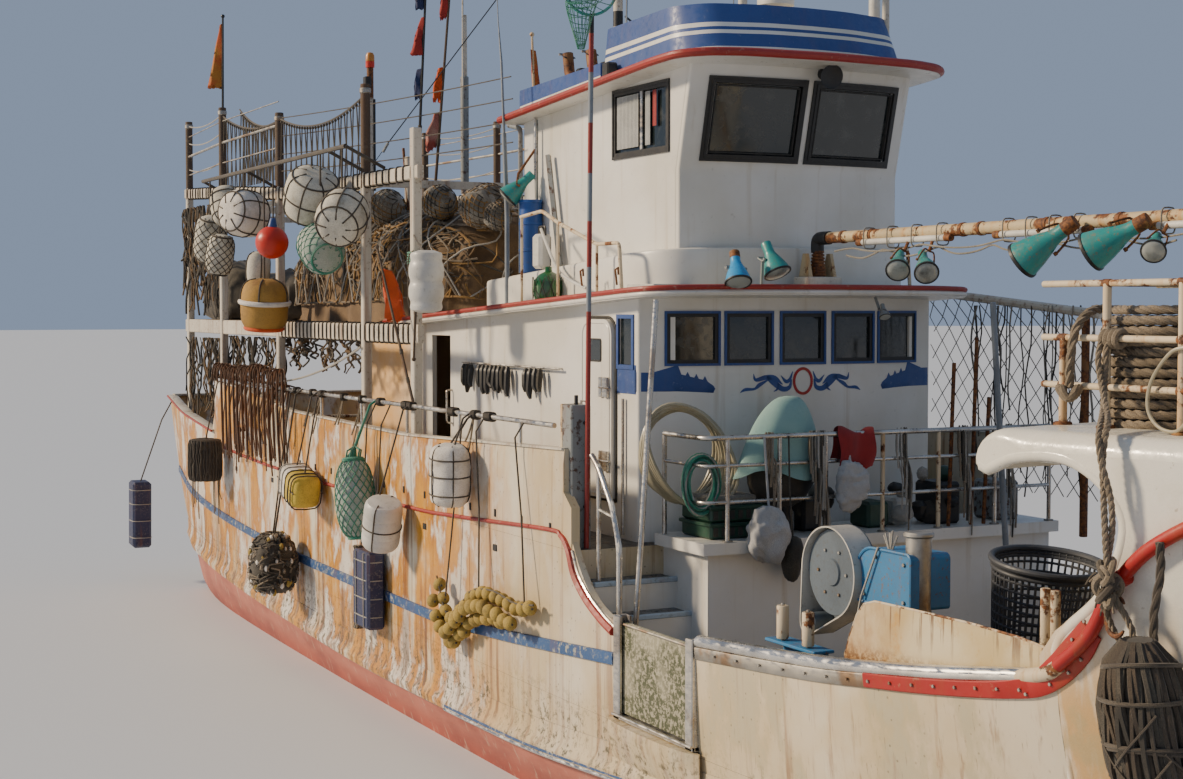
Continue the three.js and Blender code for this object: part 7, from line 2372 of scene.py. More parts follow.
def add_navy_board(hung, wild):
    """The navy fender board in its white lashing, beside a bunch of rope."""
    hung.add(block((-2.1, -2.86, 1.05), (-1.55, -2.64, 1.98), 0.03), 8)
    for z in (1.2, 1.42, 1.64, 1.86):
        hung.add(loop_round((-1.825, -2.75, z), (0, 0, 1), 0.118, 0.283, 0.008, (1, 0, 0)), 9)
    for x in (-1.96, -1.68):
        hung.add(tube([(x, -2.868, 1.06), (x, -2.868, 1.97)], 0.007, 5), 9)
    for k in range(16):
        x = -2.16 + wild.uniform(-0.05, 0.05)
        hung.add(tube([(x, -2.76 + wild.uniform(-0.05, 0.05), 2.0 - t * 1.02)
                       for t in np.linspace(0, 1, 6)],
                      wild.uniform(0.012, 0.022), 5), wild.choice((9, 12, 1)))
    for x in (-2.1, -1.6):
        hung.add(tube([(x, -2.75, 1.97), (x + 0.05, -2.68, 3.5), (x + 0.05, RAIL_Y, RAIL_Z)], 0.01, 5), 1)


def make_float_string(wild):
    """The three rows of small floats that hang in a bight below the rail."""
    chain = Piece("float_string", "float_olive", "rope_dark", "net_dark", slot="foam")
    line = flowing([(0.42, -2.73, 1.92), (0.72, -2.74, 1.56), (1.1, -2.75, 1.68), (1.45, -2.75, 1.90),
                    (2.0, -2.75, 1.98), (2.5, -2.74, 1.93), (2.95, -2.73, 1.97)], 8)
    step = np.concatenate([[0], np.cumsum(np.linalg.norm(np.diff(line, axis=0), axis=1))])
    for row, (dy, dz) in enumerate(((0.0, 0.0), (-0.09, -0.13), (0.0, -0.24))):
        for s in np.arange(0.04 + 0.06 * row, step[-1] - 0.35 * row, 0.165):
            p = np.array([np.interp(s, step, line[:, c]) for c in range(3)])
            p = p + (wild.uniform(-0.015, 0.015), dy, dz + wild.uniform(-0.02, 0.02))
            body = turned(ball(p, (0.088, 0.07, 0.072), 14, 10), wild.uniform(-40, 40), "Y", p)
            chain.add(body, 0)
            chain.add(ball(p + (0.078, -0.01, 0.0), 0.014, 6, 4), 2)
    chain.add(tube(line + (0, -0.03, 0.05), 0.010, 5), 1)
    for x, top_x in ((0.6, 0.9), (1.55, 1.3), (2.7, 2.3)):
        z = float(np.interp(x, line[:, 0], line[:, 2]))
        chain.add(tube([(x, -2.74, z), ((x + top_x) / 2, -2.68, 2.8), (top_x, -2.66, 3.6),
                        (top_x, RAIL_Y, RAIL_Z)], 0.010, 5), 1)
    chain.done()


def make_stern_fender():
    """The navy board that hangs at the quarter."""
    stern = Piece("stern_fender", "navy_board", "rope_white", "rope_dark", slot="black_plastic")
    stern.add(turned(block((-13.82, -3.05, 0.62), (-13.42, -2.72, 1.8), 0.04), 3, "Y", (-13.6, -2.9, 1.8)))
    for z in (0.8, 1.1, 1.4, 1.65):
        stern.add(loop_round((-13.62, -2.885, z), (0, 0, 1), 0.172, 0.21, 0.008, (1, 0, 0)), 1)
    stern.add(tube([(-13.6, -2.88, 1.8), (-13.55, -2.5, 2.9), (-13.5, -2.3, 3.28)], 0.012, 6), 2)
    stern.done()


def make_grapnels():
    """Rusty grapnels that hang outside the after bulwark from its rail."""
    iron = Piece("grapnels", "iron_dark", slot="rusty_plate")
    wild = random.Random(17)
    for k in range(15):
        x = -8.6 + 0.23 * k
        head = np.array([x, -2.735, 4.0 + wild.uniform(-0.03, 0.06)])
        foot = np.array([x + 0.04, -2.72, 2.86 - wild.uniform(0, 0.16)])
        bow = (head + foot) / 2 + (wild.uniform(-0.04, 0.04), -0.01, 0)
        iron.add(tube(flowing([head, bow, foot], 4), 0.019, 8), 0)
        iron.add(tube(flowing([(x, -2.735, 3.82), (x, -2.66, 3.83), (x, -2.555, 3.80)], 3), 0.012, 6))
        ring = [foot + (0.035 * math.cos(a), 0.004, -0.035 + 0.035 * math.sin(a))
                for a in np.linspace(0, math.tau, 13)[:-1]]
        iron.add(tube(ring, 0.009, 6, closed=True))
        for way in ((1, 0), (-1, 0), (0.2, -1), (0.75, -0.55), (-0.75, -0.5)):
            way = np.array([*way, 0]) * wild.uniform(0.75, 1.0)
            low = wild.uniform(-0.16, -0.06)
            prong = [head - (0, 0, 0.02), head + way * 0.06 + (0, 0, 0.03),
                     head + way * 0.14 + (0, 0, 0.01), head + way * 0.19 + (0, 0, low),
                     head + way * 0.17 + (0, 0, low - 0.1)]
            iron.add(tube(flowing(prong, 3), np.linspace(0.014, 0.007, 13), 6))
    for k in range(30):
        x = wild.uniform(-8.6, -5.2)
        line = [(x, -2.66, 3.74), (x + wild.uniform(-0.1, 0.1), -2.72, 3.3),
                (x + wild.uniform(-0.15, 0.15), -2.7, wild.uniform(2.4, 3.1))]
        iron.add(tube(flowing(line, 3), wild.uniform(0.008, 0.016), 5))
    iron.done()


# Gear on the decks and the roofs

def lamp(piece, neck, mouth, size, paints, foot=None, worn_neck=None):
    """A floodlamp from its narrow neck to its wide mouth. Paints: its bowl, its lens, its yoke, its rim."""
    bowl, lens, metal, rim = paints
    neck, mouth = np.asarray(neck, float), np.asarray(mouth, float)
    long = float(np.linalg.norm(mouth - neck))
    way = (mouth - neck) / long
    profile = [(0.02, 0.0), (0.33, 0.0), (0.37, 0.03), (0.37, 0.3), (0.40, 0.36), (0.47, 0.44),
               (0.62, 0.56), (0.80, 0.73), (0.94, 0.90), (0.985, 0.96), (0.985, 0.99), (0.9, 0.99)]
    piece.add(aimed(revolve([(r * size, z * long) for r, z in profile], sides=26), way, neck), bowl)
    if worn_neck is not None:
        collar = [(0.02, -0.004), (0.35, -0.004), (0.385, 0.02), (0.385, 0.2), (0.36, 0.21)]
        piece.add(aimed(revolve([(r * size, z * long) for r, z in collar], sides=22), way, neck), worn_neck)
    ring = [(0.98, 0.95), (1.02, 0.955), (1.03, 0.975), (1.02, 1.0), (0.96, 1.01), (0.9, 1.0), (0.9, 0.96)]
    piece.add(aimed(revolve([(r * size, z * long) for r, z in ring], sides=26), way, neck), rim)
    dome = [(0.92, 0.99), (0.8, 1.02), (0.5, 1.05), (0.02, 1.06)]
    piece.add(aimed(revolve([(r * size, z * long) for r, z in dome], sides=26), way, neck), lens)
    up = np.array([0, 0, 1.0]) if foot is None else np.asarray(foot, float) - neck
    up = up - way * up.dot(way)
    up = up / max(np.linalg.norm(up), 1e-6)
    side = np.cross(way, up)
    pivot = neck + way * long * 0.52
    top = neck + way * long * 0.3 + up * size * 0.8
    strap = [pivot - side * size * 0.66, pivot - side * size * 0.72 + up * size * 0.25,
             top - side * size * 0.45, top, top + side * size * 0.45,
             pivot + side * size * 0.72 + up * size * 0.25, pivot + side * size * 0.66]
    piece.add(tube(flowing(strap, 4), 0.045 * size + 0.003, 6), metal)
    for sign in (-1, 1):
        at = pivot + side * size * 0.62 * sign
        piece.add(rod(at, at + side * size * 0.2 * sign, 0.10 * size, 8), metal)
    if foot is not None:
        piece.add(rod(top, foot, 0.015, 8), metal)


TUBE_LIGHTS = [(4.44, 5.87), (6.45, 7.64), (8.28, 9.60)]
BOOM_LAMPS = [
    {"neck": (5.15, -0.07, 5.395), "mouth": (5.36, -0.25, 5.23), "size": 0.11, "foot": 5.23},
    {"neck": (5.48, -0.07, 5.39), "mouth": (5.76, -0.23, 5.20), "size": 0.11, "foot": 5.58},
    {"neck": (7.57, -0.15, 5.58), "mouth": (7.16, -0.35, 5.27), "size": 0.16, "foot": 7.40},
    {"neck": (8.37, -0.15, 5.56), "mouth": (7.96, -0.35, 5.32), "size": 0.16, "foot": 8.20},
    {"neck": (8.40, -0.09, 5.44), "mouth": (8.56, -0.28, 5.31), "size": 0.095, "foot": 8.46},
]
BOOM_Z = 5.58


def make_boom():
    """The lamp boom with its tube lights, lamps and cables, and the foremast that carries its end."""
    boom = Piece("boom_pipes", "boom_cream", "rusty_brown", "white_plastic", "net_grey", "black",
                 "white_paint", slot="rusty_pipe", replaces=["lamp_boom"])
    boom.add(rod((3.80, 0, BOOM_Z), (10.87, 0, BOOM_Z), 0.055, 18))
    boom.add(tube(filleted([(3.69, 0, 5.44), (3.69, 0, BOOM_Z), (3.9, 0, BOOM_Z)], 0.09, 6), 0.066, 16), 4)
    ribs = []
    for k in range(10):
        z = 5.15 + 0.032 * k
        wide = 0.092 - 0.0035 * k
        ribs += [(wide, z), (wide, z + 0.018), (wide - 0.014, z + 0.022), (wide - 0.014, z + 0.030)]
    boom.add(revolve([(0.02, 5.14)] + ribs + [(0.02, 5.47)], (3.7, 0, 0), 24), 1)
    boom.add(block((3.58, -0.21, roof_top(3.7) - 0.01), (3.82, 0.21, 5.2), 0.012), 5)
    for y in (-0.16, 0.12):
        outline = [(3.60, 5.2), (3.80, 5.2), (3.73, 5.43), (3.67, 5.43)]
        boom.add(flat_shape(outline, lambda u, v, w, y=y: (u, y + w, v), 0.035), 0)
    for x in (4.12, 4.6, 5.95, 6.2, 7.05, 7.9, 9.05, 9.85, 10.5):
        boom.add(rod((x, 0, BOOM_Z), (x + 0.055, 0, BOOM_Z), 0.063, 16), 1)
    for x0, x1 in TUBE_LIGHTS:
        boom.add(rod((x0 + 0.06, -0.045, 5.515), (x1 - 0.06, -0.045, 5.515), 0.030, 14), 2)
        for a, b in ((x0, x0 + 0.09), (x1 - 0.09, x1)):
            boom.add(rod((a, -0.045, 5.515), (b, -0.045, 5.515), 0.034, 12), 1)
        for x in np.linspace(x0 + 0.16, x1 - 0.16, 4):
            boom.add(loop_round((x, -0.02, 5.55), (1, 0, 0), 0.07, 0.10, 0.007), 3)
    for low, spread, x0, x1 in ((5.47, 0.05, 4.1, 10.5), (5.44, 0.075, 4.3, 8.6)):
        cable = []
        for k, x in enumerate(np.linspace(x0, x1, 44)):
            cable.append((x, -0.075 + 0.02 * math.sin(k),
                          low - spread * abs(math.sin(k * 0.41 + spread * 50))))
        boom.add(tube(flowing(cable, 2), 0.009, 6), 3)
    boom.done()
    lamps = Piece("boom_lamps", "teal", "lens", "rusty_brown", "black", "lamp_azure", "grey_paint",
                  slot="blue_plastic")
    for item in BOOM_LAMPS:
        foot = (item["foot"], 0, BOOM_Z)
        big = item["size"] > 0.12
        paints = (0, 1, 2, 3)
        lamp(lamps, item["neck"], item["mouth"], item["size"], paints, foot, 2 if big else None)
    lamp(lamps, (3.86, -1.06, 5.43), (4.02, -1.11, 5.13), 0.13, (4, 1, 5, 3), (3.78, -1.08, 5.06), 2)
    lamp(lamps, (3.86, -0.71, 5.52), (4.02, -0.67, 5.22), 0.135, (0, 1, 5, 3), (3.78, -0.71, 5.06))
    lamp(lamps, (-0.01, -1.40, 6.42), (-0.14, -1.66, 6.14), 0.14, (0, 1, 2, 3), (0.0, -1.37, 6.7))
    lamp(lamps, (3.92, 0.62, 4.93), (4.0, 0.6, 4.80), 0.06, (5, 1, 5, 3), (3.8, 0.62, 5.0))
    lamps.done()
    mast = Piece("foremast_pipe", "boom_cream", "worn_steel", slot="mast_paint", replaces=["foremast"])
    mast.add(rod((11.0, 0, WHALEBACK + 0.01), (11.0, 0, 8.6), 0.12, 20, 0.07))
    mast.add(block((10.872, -0.09, 5.49), (10.99, 0.09, 5.67), 0.012), 1)
    mast.add(rod((11.0, -0.9, 7.8), (11.0, 0.9, 7.8), 0.03, 12))
    mast.add(rod((11.0, 0, WHALEBACK + 0.02), (11.0, 0, WHALEBACK + 0.07), 0.2, 20), 1)
    for z in np.arange(4.9, 7.6, 0.35):
        mast.add(rod((11.0, -0.17, z), (11.0, 0.17, z), 0.012, 6), 1)
    mast.done()


EXHAUSTS = [((0.39, -0.96, 7.50), (0.06, -0.96, 7.50), (0.0, -0.96, 7.80)),
            ((0.98, -0.96, 7.50), (0.65, -0.96, 7.50), (0.59, -0.96, 7.76))]
ROOF_RAIL = [(0.44, -1.75, 5.90), (0.99, -1.75, 5.94), (1.39, -1.75, 5.80), (1.99, -1.75, 5.63),
             (2.31, -1.75, 5.54), (2.80, -1.75, 5.54), (2.86, -1.75, 5.03)]


def make_roof_gear():
    """Exhausts, aerials, loudhailer, handrails and stores on the two roofs."""
    gear = Piece("roof_gear", "black", "stainless", "rusty_cream", "white_plastic", "white_paint", "rubber",
                 "bottle_green", "net_grey", "barrel_blue", "rusty_brown", "grey_paint", "mast_grey",
                 "net_dark", slot="black_plastic", replaces=["barrel"])
    for points in EXHAUSTS:
        gear.add(tube(filleted(points, 0.12, 6), 0.062, 16), 9)
        top = np.array(points[2])
        gear.add(turned(block(top - (0.09, 0.07, 0.0), top + (0.07, 0.07, 0.012), 0.004), 24, "Y",
                        top - (0.08, 0, 0)), 0)
        gear.add(rod(top - (0.09, 0.07, 0), top - (0.09, -0.07, 0), 0.014, 8), 1)
        gear.add(block(np.array(points[0]) - (0.02, 0.09, 0.20), np.array(points[0]) + (0.10, 0.09, 0.08),
                       0.02), 0)
    gear.add(block((1.84, -1.46, 7.25), (1.98, -1.34, 7.44), 0.015))
    horn = [(0.02, -0.2), (0.06, -0.18), (0.06, -0.05), (0.03, -0.04), (0.045, 0.02), (0.07, 0.08),
            (0.11, 0.13), (0.12, 0.14), (0.1, 0.13)]
    gear.add(aimed(revolve(horn, sides=20), (0.95, -0.15, -0.25), (3.66, 0.11, 7.2)))
    gear.add(rod((3.6, 0.11, 7.2), (3.6, 0.11, 7.34), 0.014, 6), 1)
    gear.add(rod((0, -1.43, tier_top(0) + 0.005), (0, -1.43, 6.12), 0.128, 26), 8)
    for z in (5.55, 5.85, 6.1):
        ring = [(0.126, z - 0.02), (0.136, z - 0.012), (0.136, z + 0.012), (0.126, z + 0.02)]
        gear.add(revolve(ring, (0, -1.43, 0), 26), 8)
    gear.add(block((0.30, -1.56, 5.33), (0.52, -1.40, 5.72), 0.04), 3)
    gear.add(rod((0.41, -1.48, 5.72), (0.41, -1.48, 5.79), 0.03, 12))
    gear.add(tube(filleted([(0.33, -1.48, 5.7), (0.33, -1.48, 5.80), (0.5, -1.48, 5.80), (0.5, -1.48, 5.7)],
                           0.03), 0.013, 6))
    bottle = [(0.02, 0.0), (0.15, 0.02), (0.17, 0.1), (0.165, 0.22), (0.10, 0.29), (0.04, 0.32),
              (0.035, 0.37), (0.01, 0.37)]
    foot = roof_top(1.05) + 0.005
    gear.add(revolve(bottle, (1.05, -1.70, foot), 20), 6)
    for a in np.linspace(0, math.tau, 12)[:-1]:
        for lean in (-0.5, 0.5):
            line = [(1.05 + 0.176 * math.cos(a + lean * t), -1.70 + 0.176 * math.sin(a + lean * t),
                     foot + 0.02 + 0.24 * t)
                    for t in (0, 0.5, 1)]
            gear.add(tube(line, 0.005, 4), 12)
    gear.add(tube(flowing([(0.645, -1.6, 5.763), (0.95, -1.66, 5.55), (1.289, -1.7, 5.299),
                           (1.70, -1.75, 5.18), (2.123, -1.78, 5.098)], 5), 0.017, 8), 3)
    gear.both(tube(filleted(ROOF_RAIL, 0.06), 0.020, 10), 2)
    for x, z in ((0.46, 5.9), (1.39, 5.80), (2.31, 5.54)):
        gear.both(rod((x, -1.75, roof_top(x) - 0.01), (x, -1.75, z), 0.016, 8), 2)
    gear.add(tube([(-0.28, -1.6, 4.95), (-0.28, -1.6, 5.95), (-0.36, -1.6, 6.9)], [0.028, 0.028, 0.026],
                  12), 11)
    gear.add(tube([(-0.36, -1.6, 6.9), (-0.43, -1.6, 7.72), (-0.52, -1.6, 8.2), (-0.62, -1.6, 9.2)],
                  [0.017, 0.015, 0.007, 0.004], 8), 11)
    gear.add(tube(filleted([(-0.9, -1.3, 7.05), (-0.5, -1.33, 6.98), (-0.5, -1.33, 5.3)], 0.08), 0.028, 10),
             10)
    gear.add(rod((-0.1, -1.3, 5.3), (-0.1, -1.3, 7.04), 0.022, 10), 10)
    gear.add(rod((0.0, -1.37, 6.35), (0.0, -1.37, 7.05), 0.016, 8), 1)
    gear.add(rod((0.338, -1.37, 6.606), (0.648, -1.37, 5.359), 0.035, 4), 10)
    for x in (2.07, 2.85):
        gear.add(tube([(x, -1.80, 5.12), (x, -1.82, 5.27), (x + 0.06, -1.82, 5.29),
                       (x + 0.07, -1.82, 5.22)], 0.012, 6), 9)
    gear.add(block((2.9, -1.72, roof_top(3.1)), (3.45, -1.30, roof_top(3.1) + 0.06), 0.012), 3)
    for x, y, top in ((3.25, 1.12, 8.4), (1.9, 1.2, 8.0)):
        gear.add(rod((x, y, 7.4), (x, y, top), 0.04, 12, 0.035), 4)
    gear.add(rod((3.05, 1.12, 7.8), (3.05, 1.12, 8.3), 0.06, 14), 3)
    gear.add(rod((3.05, 1.12, 7.4), (3.05, 1.12, 7.8), 0.025, 8), 4)
    gear.add(revolve([(0.02, 0), (0.22, 0.02), (0.24, 0.08), (0.16, 0.13), (0.02, 0.14)], (2.0, 0.2, 7.4),
                     24), 3)
    gear.add(revolve([(0.02, 0), (0.10, 0.01), (0.11, 0.14), (0.06, 0.2), (0.01, 0.21)], (1.2, -0.4, 7.46),
                     20), 3)
    for x, y, low, top in ((-0.2, 1.35, 7.4, 9.9), (1.9, -1.2, 7.8, 9.4)):
        gear.add(rod((x, y, low), (x + 0.05, y, top), 0.012, 6, 0.004), 11)
    gear.done()
    mast = Piece("goalpost_mast", "white_paint", "black", "stainless", slot="mast_paint", replaces=["mast"])
    for side in (-1, 1):
        y = side * 0.8
        mast.add(rod((0.94, y, 7.44), (0.94, y, 9.3), 0.053, 18))
        mast.add(rod((0.94, y, 7.98), (0.94, y, 8.16), 0.055, 18), 1)
        mast.add(rod((0.94, y, 7.46), (0.94, y, 7.5), 0.1, 18), 2)
    mast.add(rod((0.94, -1.1, 9.2), (0.94, 1.1, 9.2), 0.045, 14))
    mast.add(rod((0.94, 0, 9.2), (0.94, 0, 10.4), 0.05, 14, 0.035))
    for y in (-1.0, -0.4, 0.45, 1.0):
        mast.add(rod((0.94, y, 9.22), (0.94, y, 9.36), 0.04, 12), 1)
    mast.add(tube(flowing([(0.99, -0.74, 8.1), (1.05, -0.5, 7.9), (1.1, -0.2, 7.6), (1.05, 0.1, 7.44)], 5),
                  0.012, 6), 1)
    mast.done()
    radar = Piece("radar_scanner", "white_plastic", "black", body="radar_bar", slot="white_plastic",
                  replaces=["radar_bar"])
    radar.add(block((2.83, -0.6, 8.38), (2.97, 0.6, 8.5), 0.03))
    radar.add(rod((2.9, 0, 8.322), (2.9, 0, 8.4), 0.09, 20), 1)
    radar.done()


def make_port_curtain():
    """The net curtain that hangs from a beam at the port side before the deckhouse."""
    net = Piece("net_curtain", "net_grey", "rope_dark", "white_paint", "rusty_brown", "net_dark",
                slot="net")
    y = 2.46
    net.add(rod((2.01, y, 5.10), (5.01, y, 4.83), 0.047, 10), 2)
    net.add(rod((4.8, y, MAIN_DECK), (4.8, y, 4.87), 0.042, 12), 3)
    wild = random.Random(41)
    across = 12
    for sign in (-1, 1):
        for k in range(-8, across + 8):
            line = []
            for t in np.linspace(0, 1, 15):
                x = 2.05 + (k / across + sign * t * 0.62) * 2.9
                top = 5.10 - 0.09 * (x - 2.01)
                z = top - (top - 2.95) * t
                if 2.03 <= x <= 4.95 and (x > 3.35 or z > 3.55):
                    bulge = 0.05 + 0.11 * min(1.0, (top - z) / 0.3)
                    line.append((x + 0.015 * math.sin(9 * t + k), y + bulge + 0.01 * math.sin(5 * t + k),
                                 z))
            if len(line) > 2:
                net.add(tube(line, 0.0058, 4), 0)
    for k in range(22):
        x = wild.uniform(3.0, 4.9)
        length = wild.uniform(0.8, 2.1)
        side = y + wild.uniform(-0.10, 0.04)
        line = [(x + wild.uniform(-0.05, 0.05), side, 4.92 - length * t) for t in np.linspace(0, 1, 6)]
        net.add(tube(flowing(line, 2), wild.uniform(0.006, 0.013), 5), wild.choice((0, 1, 4)))
    net.done()
    pole = Piece("grey_pole", "mast_grey", slot="mast_paint")
    pole.add(rod((4.7, 1.57, 2.45), (4.7, 1.37, 4.95), 0.03, 12))
    pole.done()


def crumpled(shape, size, depth, seed=0):
    """Draws sharp creases into a shape, running mostly downwards, as in a bag that hangs half empty."""
    verts, faces = shape
    wild = random.Random(seed)
    middle = verts.mean(0)
    out = verts - middle
    out = out / np.maximum(np.linalg.norm(out, axis=1), 1e-9)[:, None]
    push = np.zeros(len(verts))
    for octave in (1, 1.7, 2.9):
        way = np.array([wild.uniform(-1, 1), wild.uniform(-1, 1), wild.uniform(-0.35, 0.35)])
        way = way / np.linalg.norm(way) * math.tau * octave / size
        bend = np.sin(verts @ np.roll(way, 1) * 0.4 + wild.uniform(0, 6))
        push += (0.6 - np.abs(np.sin(0.5 * (verts @ way) + 1.4 * bend))) / octave
    return verts + out * (depth * push)[:, None], faces


def cloth(top, drop, side, depth, width, folds, spread, rows=14, tatter=0.0, seed=0):
    """A cloth that hangs in folds: flat width across is folded into spread. Its lower edge may be ragged."""
    rng = random.Random(seed)
    top, drop, side, depth = (np.asarray(v, float) for v in (top, drop, side, depth))
    columns = folds * 5 + 1
    torn = [rng.uniform(0, 1) * tatter for unused in range(columns)]
    step = math.sqrt(max((width / folds) ** 2 - spread[-1] ** 2, 0.0001))
    grid = []
    for v in np.linspace(0, 1, rows):
        wide = float(np.interp(v, np.linspace(0, 1, len(spread)), spread))
        row = []
        for c in range(columns):
            s = folds * c / (columns - 1)
            way = s % 2
            across = wide * (way if way <= 1 else 2 - way)
            bend = 0.012 * math.sin(7 * v + 2.3 * s + seed)
            fall = v * (1 - torn[c])
            row.append(top + drop * fall + side * (across + bend) + depth * (s * min(step, 0.02) + bend)
                       - np.array([0, 0, 0.25 * across * (1 - v)]))
        grid.append(row)
    grid = np.array(grid)
    return grid.reshape(-1, 3), grid_faces(*grid.shape[:2])


IMAGE_SIDE = np.array([CAMERA_WAY[1], -CAMERA_WAY[0], 0.0])
IMAGE_DEPTH = np.array([CAMERA_WAY[0], CAMERA_WAY[1], 0.0])
FLAGS = [
    {"name": "navy_flag_1", "look": "flag_navy", "top": (-4.58, -0.92, 9.40), "drop": (-0.05, 0, -0.42),
     "turn": -1, "width": 0.50, "folds": 5, "spread": (0.05, 0.12, 0.11), "torn": 0.1},
    {"name": "red_flag_1", "look": "flag_red", "top": (-4.64, -0.92, 8.89), "drop": (-0.07, 0, -0.53),
     "turn": -1, "width": 0.50, "folds": 5, "spread": (0.03, 0.10, 0.16), "torn": 0.15},
    {"name": "navy_flag_2", "look": "flag_navy", "top": (-4.74, -0.92, 8.20), "drop": (-0.06, 0, -0.44),
     "turn": -1, "width": 0.38, "folds": 5, "spread": (0.05, 0.09, 0.07), "torn": 0.25},
    {"name": "red_flag_2", "look": "flag_red", "top": (-4.45, -0.62, 9.30), "drop": (-0.10, 0, -0.46),
     "turn": -1, "width": 0.42, "folds": 5, "spread": (0.05, 0.10, 0.09), "torn": 0.2},
    {"name": "orange_flag_2", "look": "flag_orange", "top": (-4.68, -0.62, 8.23), "drop": (-0.11, 0, -0.50),
     "turn": -1, "width": 0.46, "folds": 5, "spread": (0.06, 0.11, 0.10), "torn": 0.4},
    {"name": "red_flag_3", "look": "flag_pink", "top": (-4.82, -0.62, 7.62), "drop": (-0.12, 0, -0.56),
     "turn": -1, "width": 0.54, "folds": 4, "spread": (0.07, 0.16, 0.15), "torn": 0.3},
    {"name": "yellow_flag", "look": "flag_yellow", "top": (-10.30, -2.21, 9.50), "drop": (-0.05, 0, -1.05),
     "turn": -1, "width": 0.80, "folds": 6, "spread": (0.04, 0.13, 0.24), "torn": 0.08},
    {"name": "orange_flag_1", "look": "flag_orange", "top": (-1.58, -2.64, 5.36), "drop": (0.10, 0, -0.66),
     "turn": 1, "width": 0.56, "folds": 3, "spread": (0.12, 0.20, 0.24), "torn": 0.2},
    {"name": "furled_flag", "look": "flag_yellow", "top": (-3.05, -0.02, 8.30), "drop": (0.10, 0, -1.25),
     "turn": 1, "width": 0.48, "folds": 6, "spread": (0.05, 0.10, 0.07), "torn": 0.1},
]
POLES = [
    {"low": (-4.98, -0.9, 6.35), "high": (-4.55, -0.9, 9.62), "radius": 0.02, "paint": 0},
    {"low": (-5.14, -0.6, 6.10), "high": (-4.38, -0.6, 9.62), "radius": 0.02, "paint": 1},
    {"low": (-10.39, -2.2, 6.85), "high": (-10.285, -2.2, 9.62), "radius": 0.02, "paint": 0},
    {"low": (-0.70, -2.6, 3.82), "high": (-1.742, -2.65, 5.62), "radius": 0.016, "paint": 1},
    {"low": (-2.90, 0.0, 6.1), "high": (-3.07, 0.0, 8.5), "radius": 0.02, "paint": 2},
    {"low": (-0.83, -2.50, 5.15), "high": (-0.93, -2.50, 4.3), "radius": 0.016, "paint": 1},
]


def make_flags():
    """Marker flags on their bamboo poles, and the masts aft with their lamp."""
    poles = Piece("flag_poles", "black", "dark_wood", "rusty_cream", "rope_dark", slot="mast_paint")
    for item in POLES:
        low, high = np.array(item["low"]), np.array(item["high"])
        poles.add(rod(low, high, item["radius"] * 1.15, 9, item["radius"] * 0.8), item["paint"])
        poles.add(ball(high, [item["radius"] * 1.6] * 3, 10, 6), item["paint"])
        for share in (0.12, 0.3):
            poles.add(rod(low + (high - low) * share, low + (high - low) * (share + 0.03),
                          item["radius"] * 1.5, 8), 3)
    pole_piece = poles.done()
    for k, item in enumerate(FLAGS):
        flag = Piece(item["name"], item["look"], slot="net", sharp=180)
        drop = np.array(item["drop"])
        side = IMAGE_SIDE * item["turn"]
        flag.add(cloth(item["top"], drop, side, IMAGE_DEPTH, item["width"], item["folds"], item["spread"],
                       18, item["torn"], k + 3))
        flag.done()
    masts = Piece("aft_mast_fittings", "white_paint", "grey_paint", "black", "lamp_amber", "ball_red",
                  "rope_dark", "rusty_brown", slot="mast_paint")
    masts.add(rod((-6.6, -1.0, 6.62), (-6.6, -1.0, 7.98), 0.062, 16), 0)
    masts.add(rod((-6.545, -0.955, 6.62), (-6.545, -0.955, 7.96), 0.018, 8), 2)
    masts.add(rod((-6.6, -1.0, 7.98), (-6.6, -1.0, 8.42), 0.050, 14), 6)
    masts.add(block((-6.58, -1.12, 8.12), (-6.46, -1.03, 8.28), 0.01), 2)
    lens = [(0.03, 8.42), (0.065, 8.425), (0.066, 8.51), (0.062, 8.515)]
    masts.add(revolve(lens, (-6.6, -1.0, 0), 20), 4)
    masts.add(revolve([(0.062, 8.515), (0.066, 8.52), (0.064, 8.60), (0.045, 8.64), (0.01, 8.65)],
                      (-6.6, -1.0, 0), 20), 3)
    masts.add(rod((-6.6, 0.5, 6.62), (-6.6, 0.5, 8.38), 0.063, 16), 1)
    masts.add(rod((-6.52, 0.44, 8.2), (-6.52, 0.44, 9.55), 0.014, 8), 0)
    masts.add(block((-4.24, -1.36, 6.2), (-4.13, -1.24, 6.93), 0.01), 0)
    masts.add(rod((-4.12, -1.35, 6.21), (-4.3, -1.35, 7.05), 0.02, 8), 6)
    masts.add(tube([(-2.9, -0.3, 9.55), (-3.336, -0.4, 8.961), (-4.211, -1.6, 7.103)], 0.008, 6), 2)
    masts.add(tube([(-4.211, -1.6, 7.103), (-4.35, -1.78, 6.80)], 0.005, 5), 2)
    masts.add(rod((-4.211, -1.6, 7.103), (-4.25, -1.66, 6.98), 0.02, 8), 1)
    masts.done()


def make_platform_rails():
    """The platform's railing."""
    rail = Piece("platform_rails", "stainless", "worn_steel", "rusty_cream", slot="stainless",
                 replaces=["platform_railing"])
    x = 4.35
    for z, radius in ((3.69, 0.025), (3.43, 0.018), (3.09, 0.018)):
        line = filleted([(3.56, -1.65, z), (x, -1.65, z), (x, 2.4, z)], 0.16, 7)
        rail.add(tube(line, radius, 12))
    for y in (-1.42, -0.85, -0.33, 0.33, 1.0, 1.7, 2.4):
        rail.add(rod((x, y, 2.72), (x, y, 3.69), 0.022, 12), 2 if 0 < y < 1.5 else 0)
        rail.add(rod((x, y, 2.722), (x, y, 2.735), 0.05, 12), 1)
    rail.add(rod((3.56, -1.65, 2.72), (3.56, -1.65, 3.69), 0.022, 12))
    rail.done()


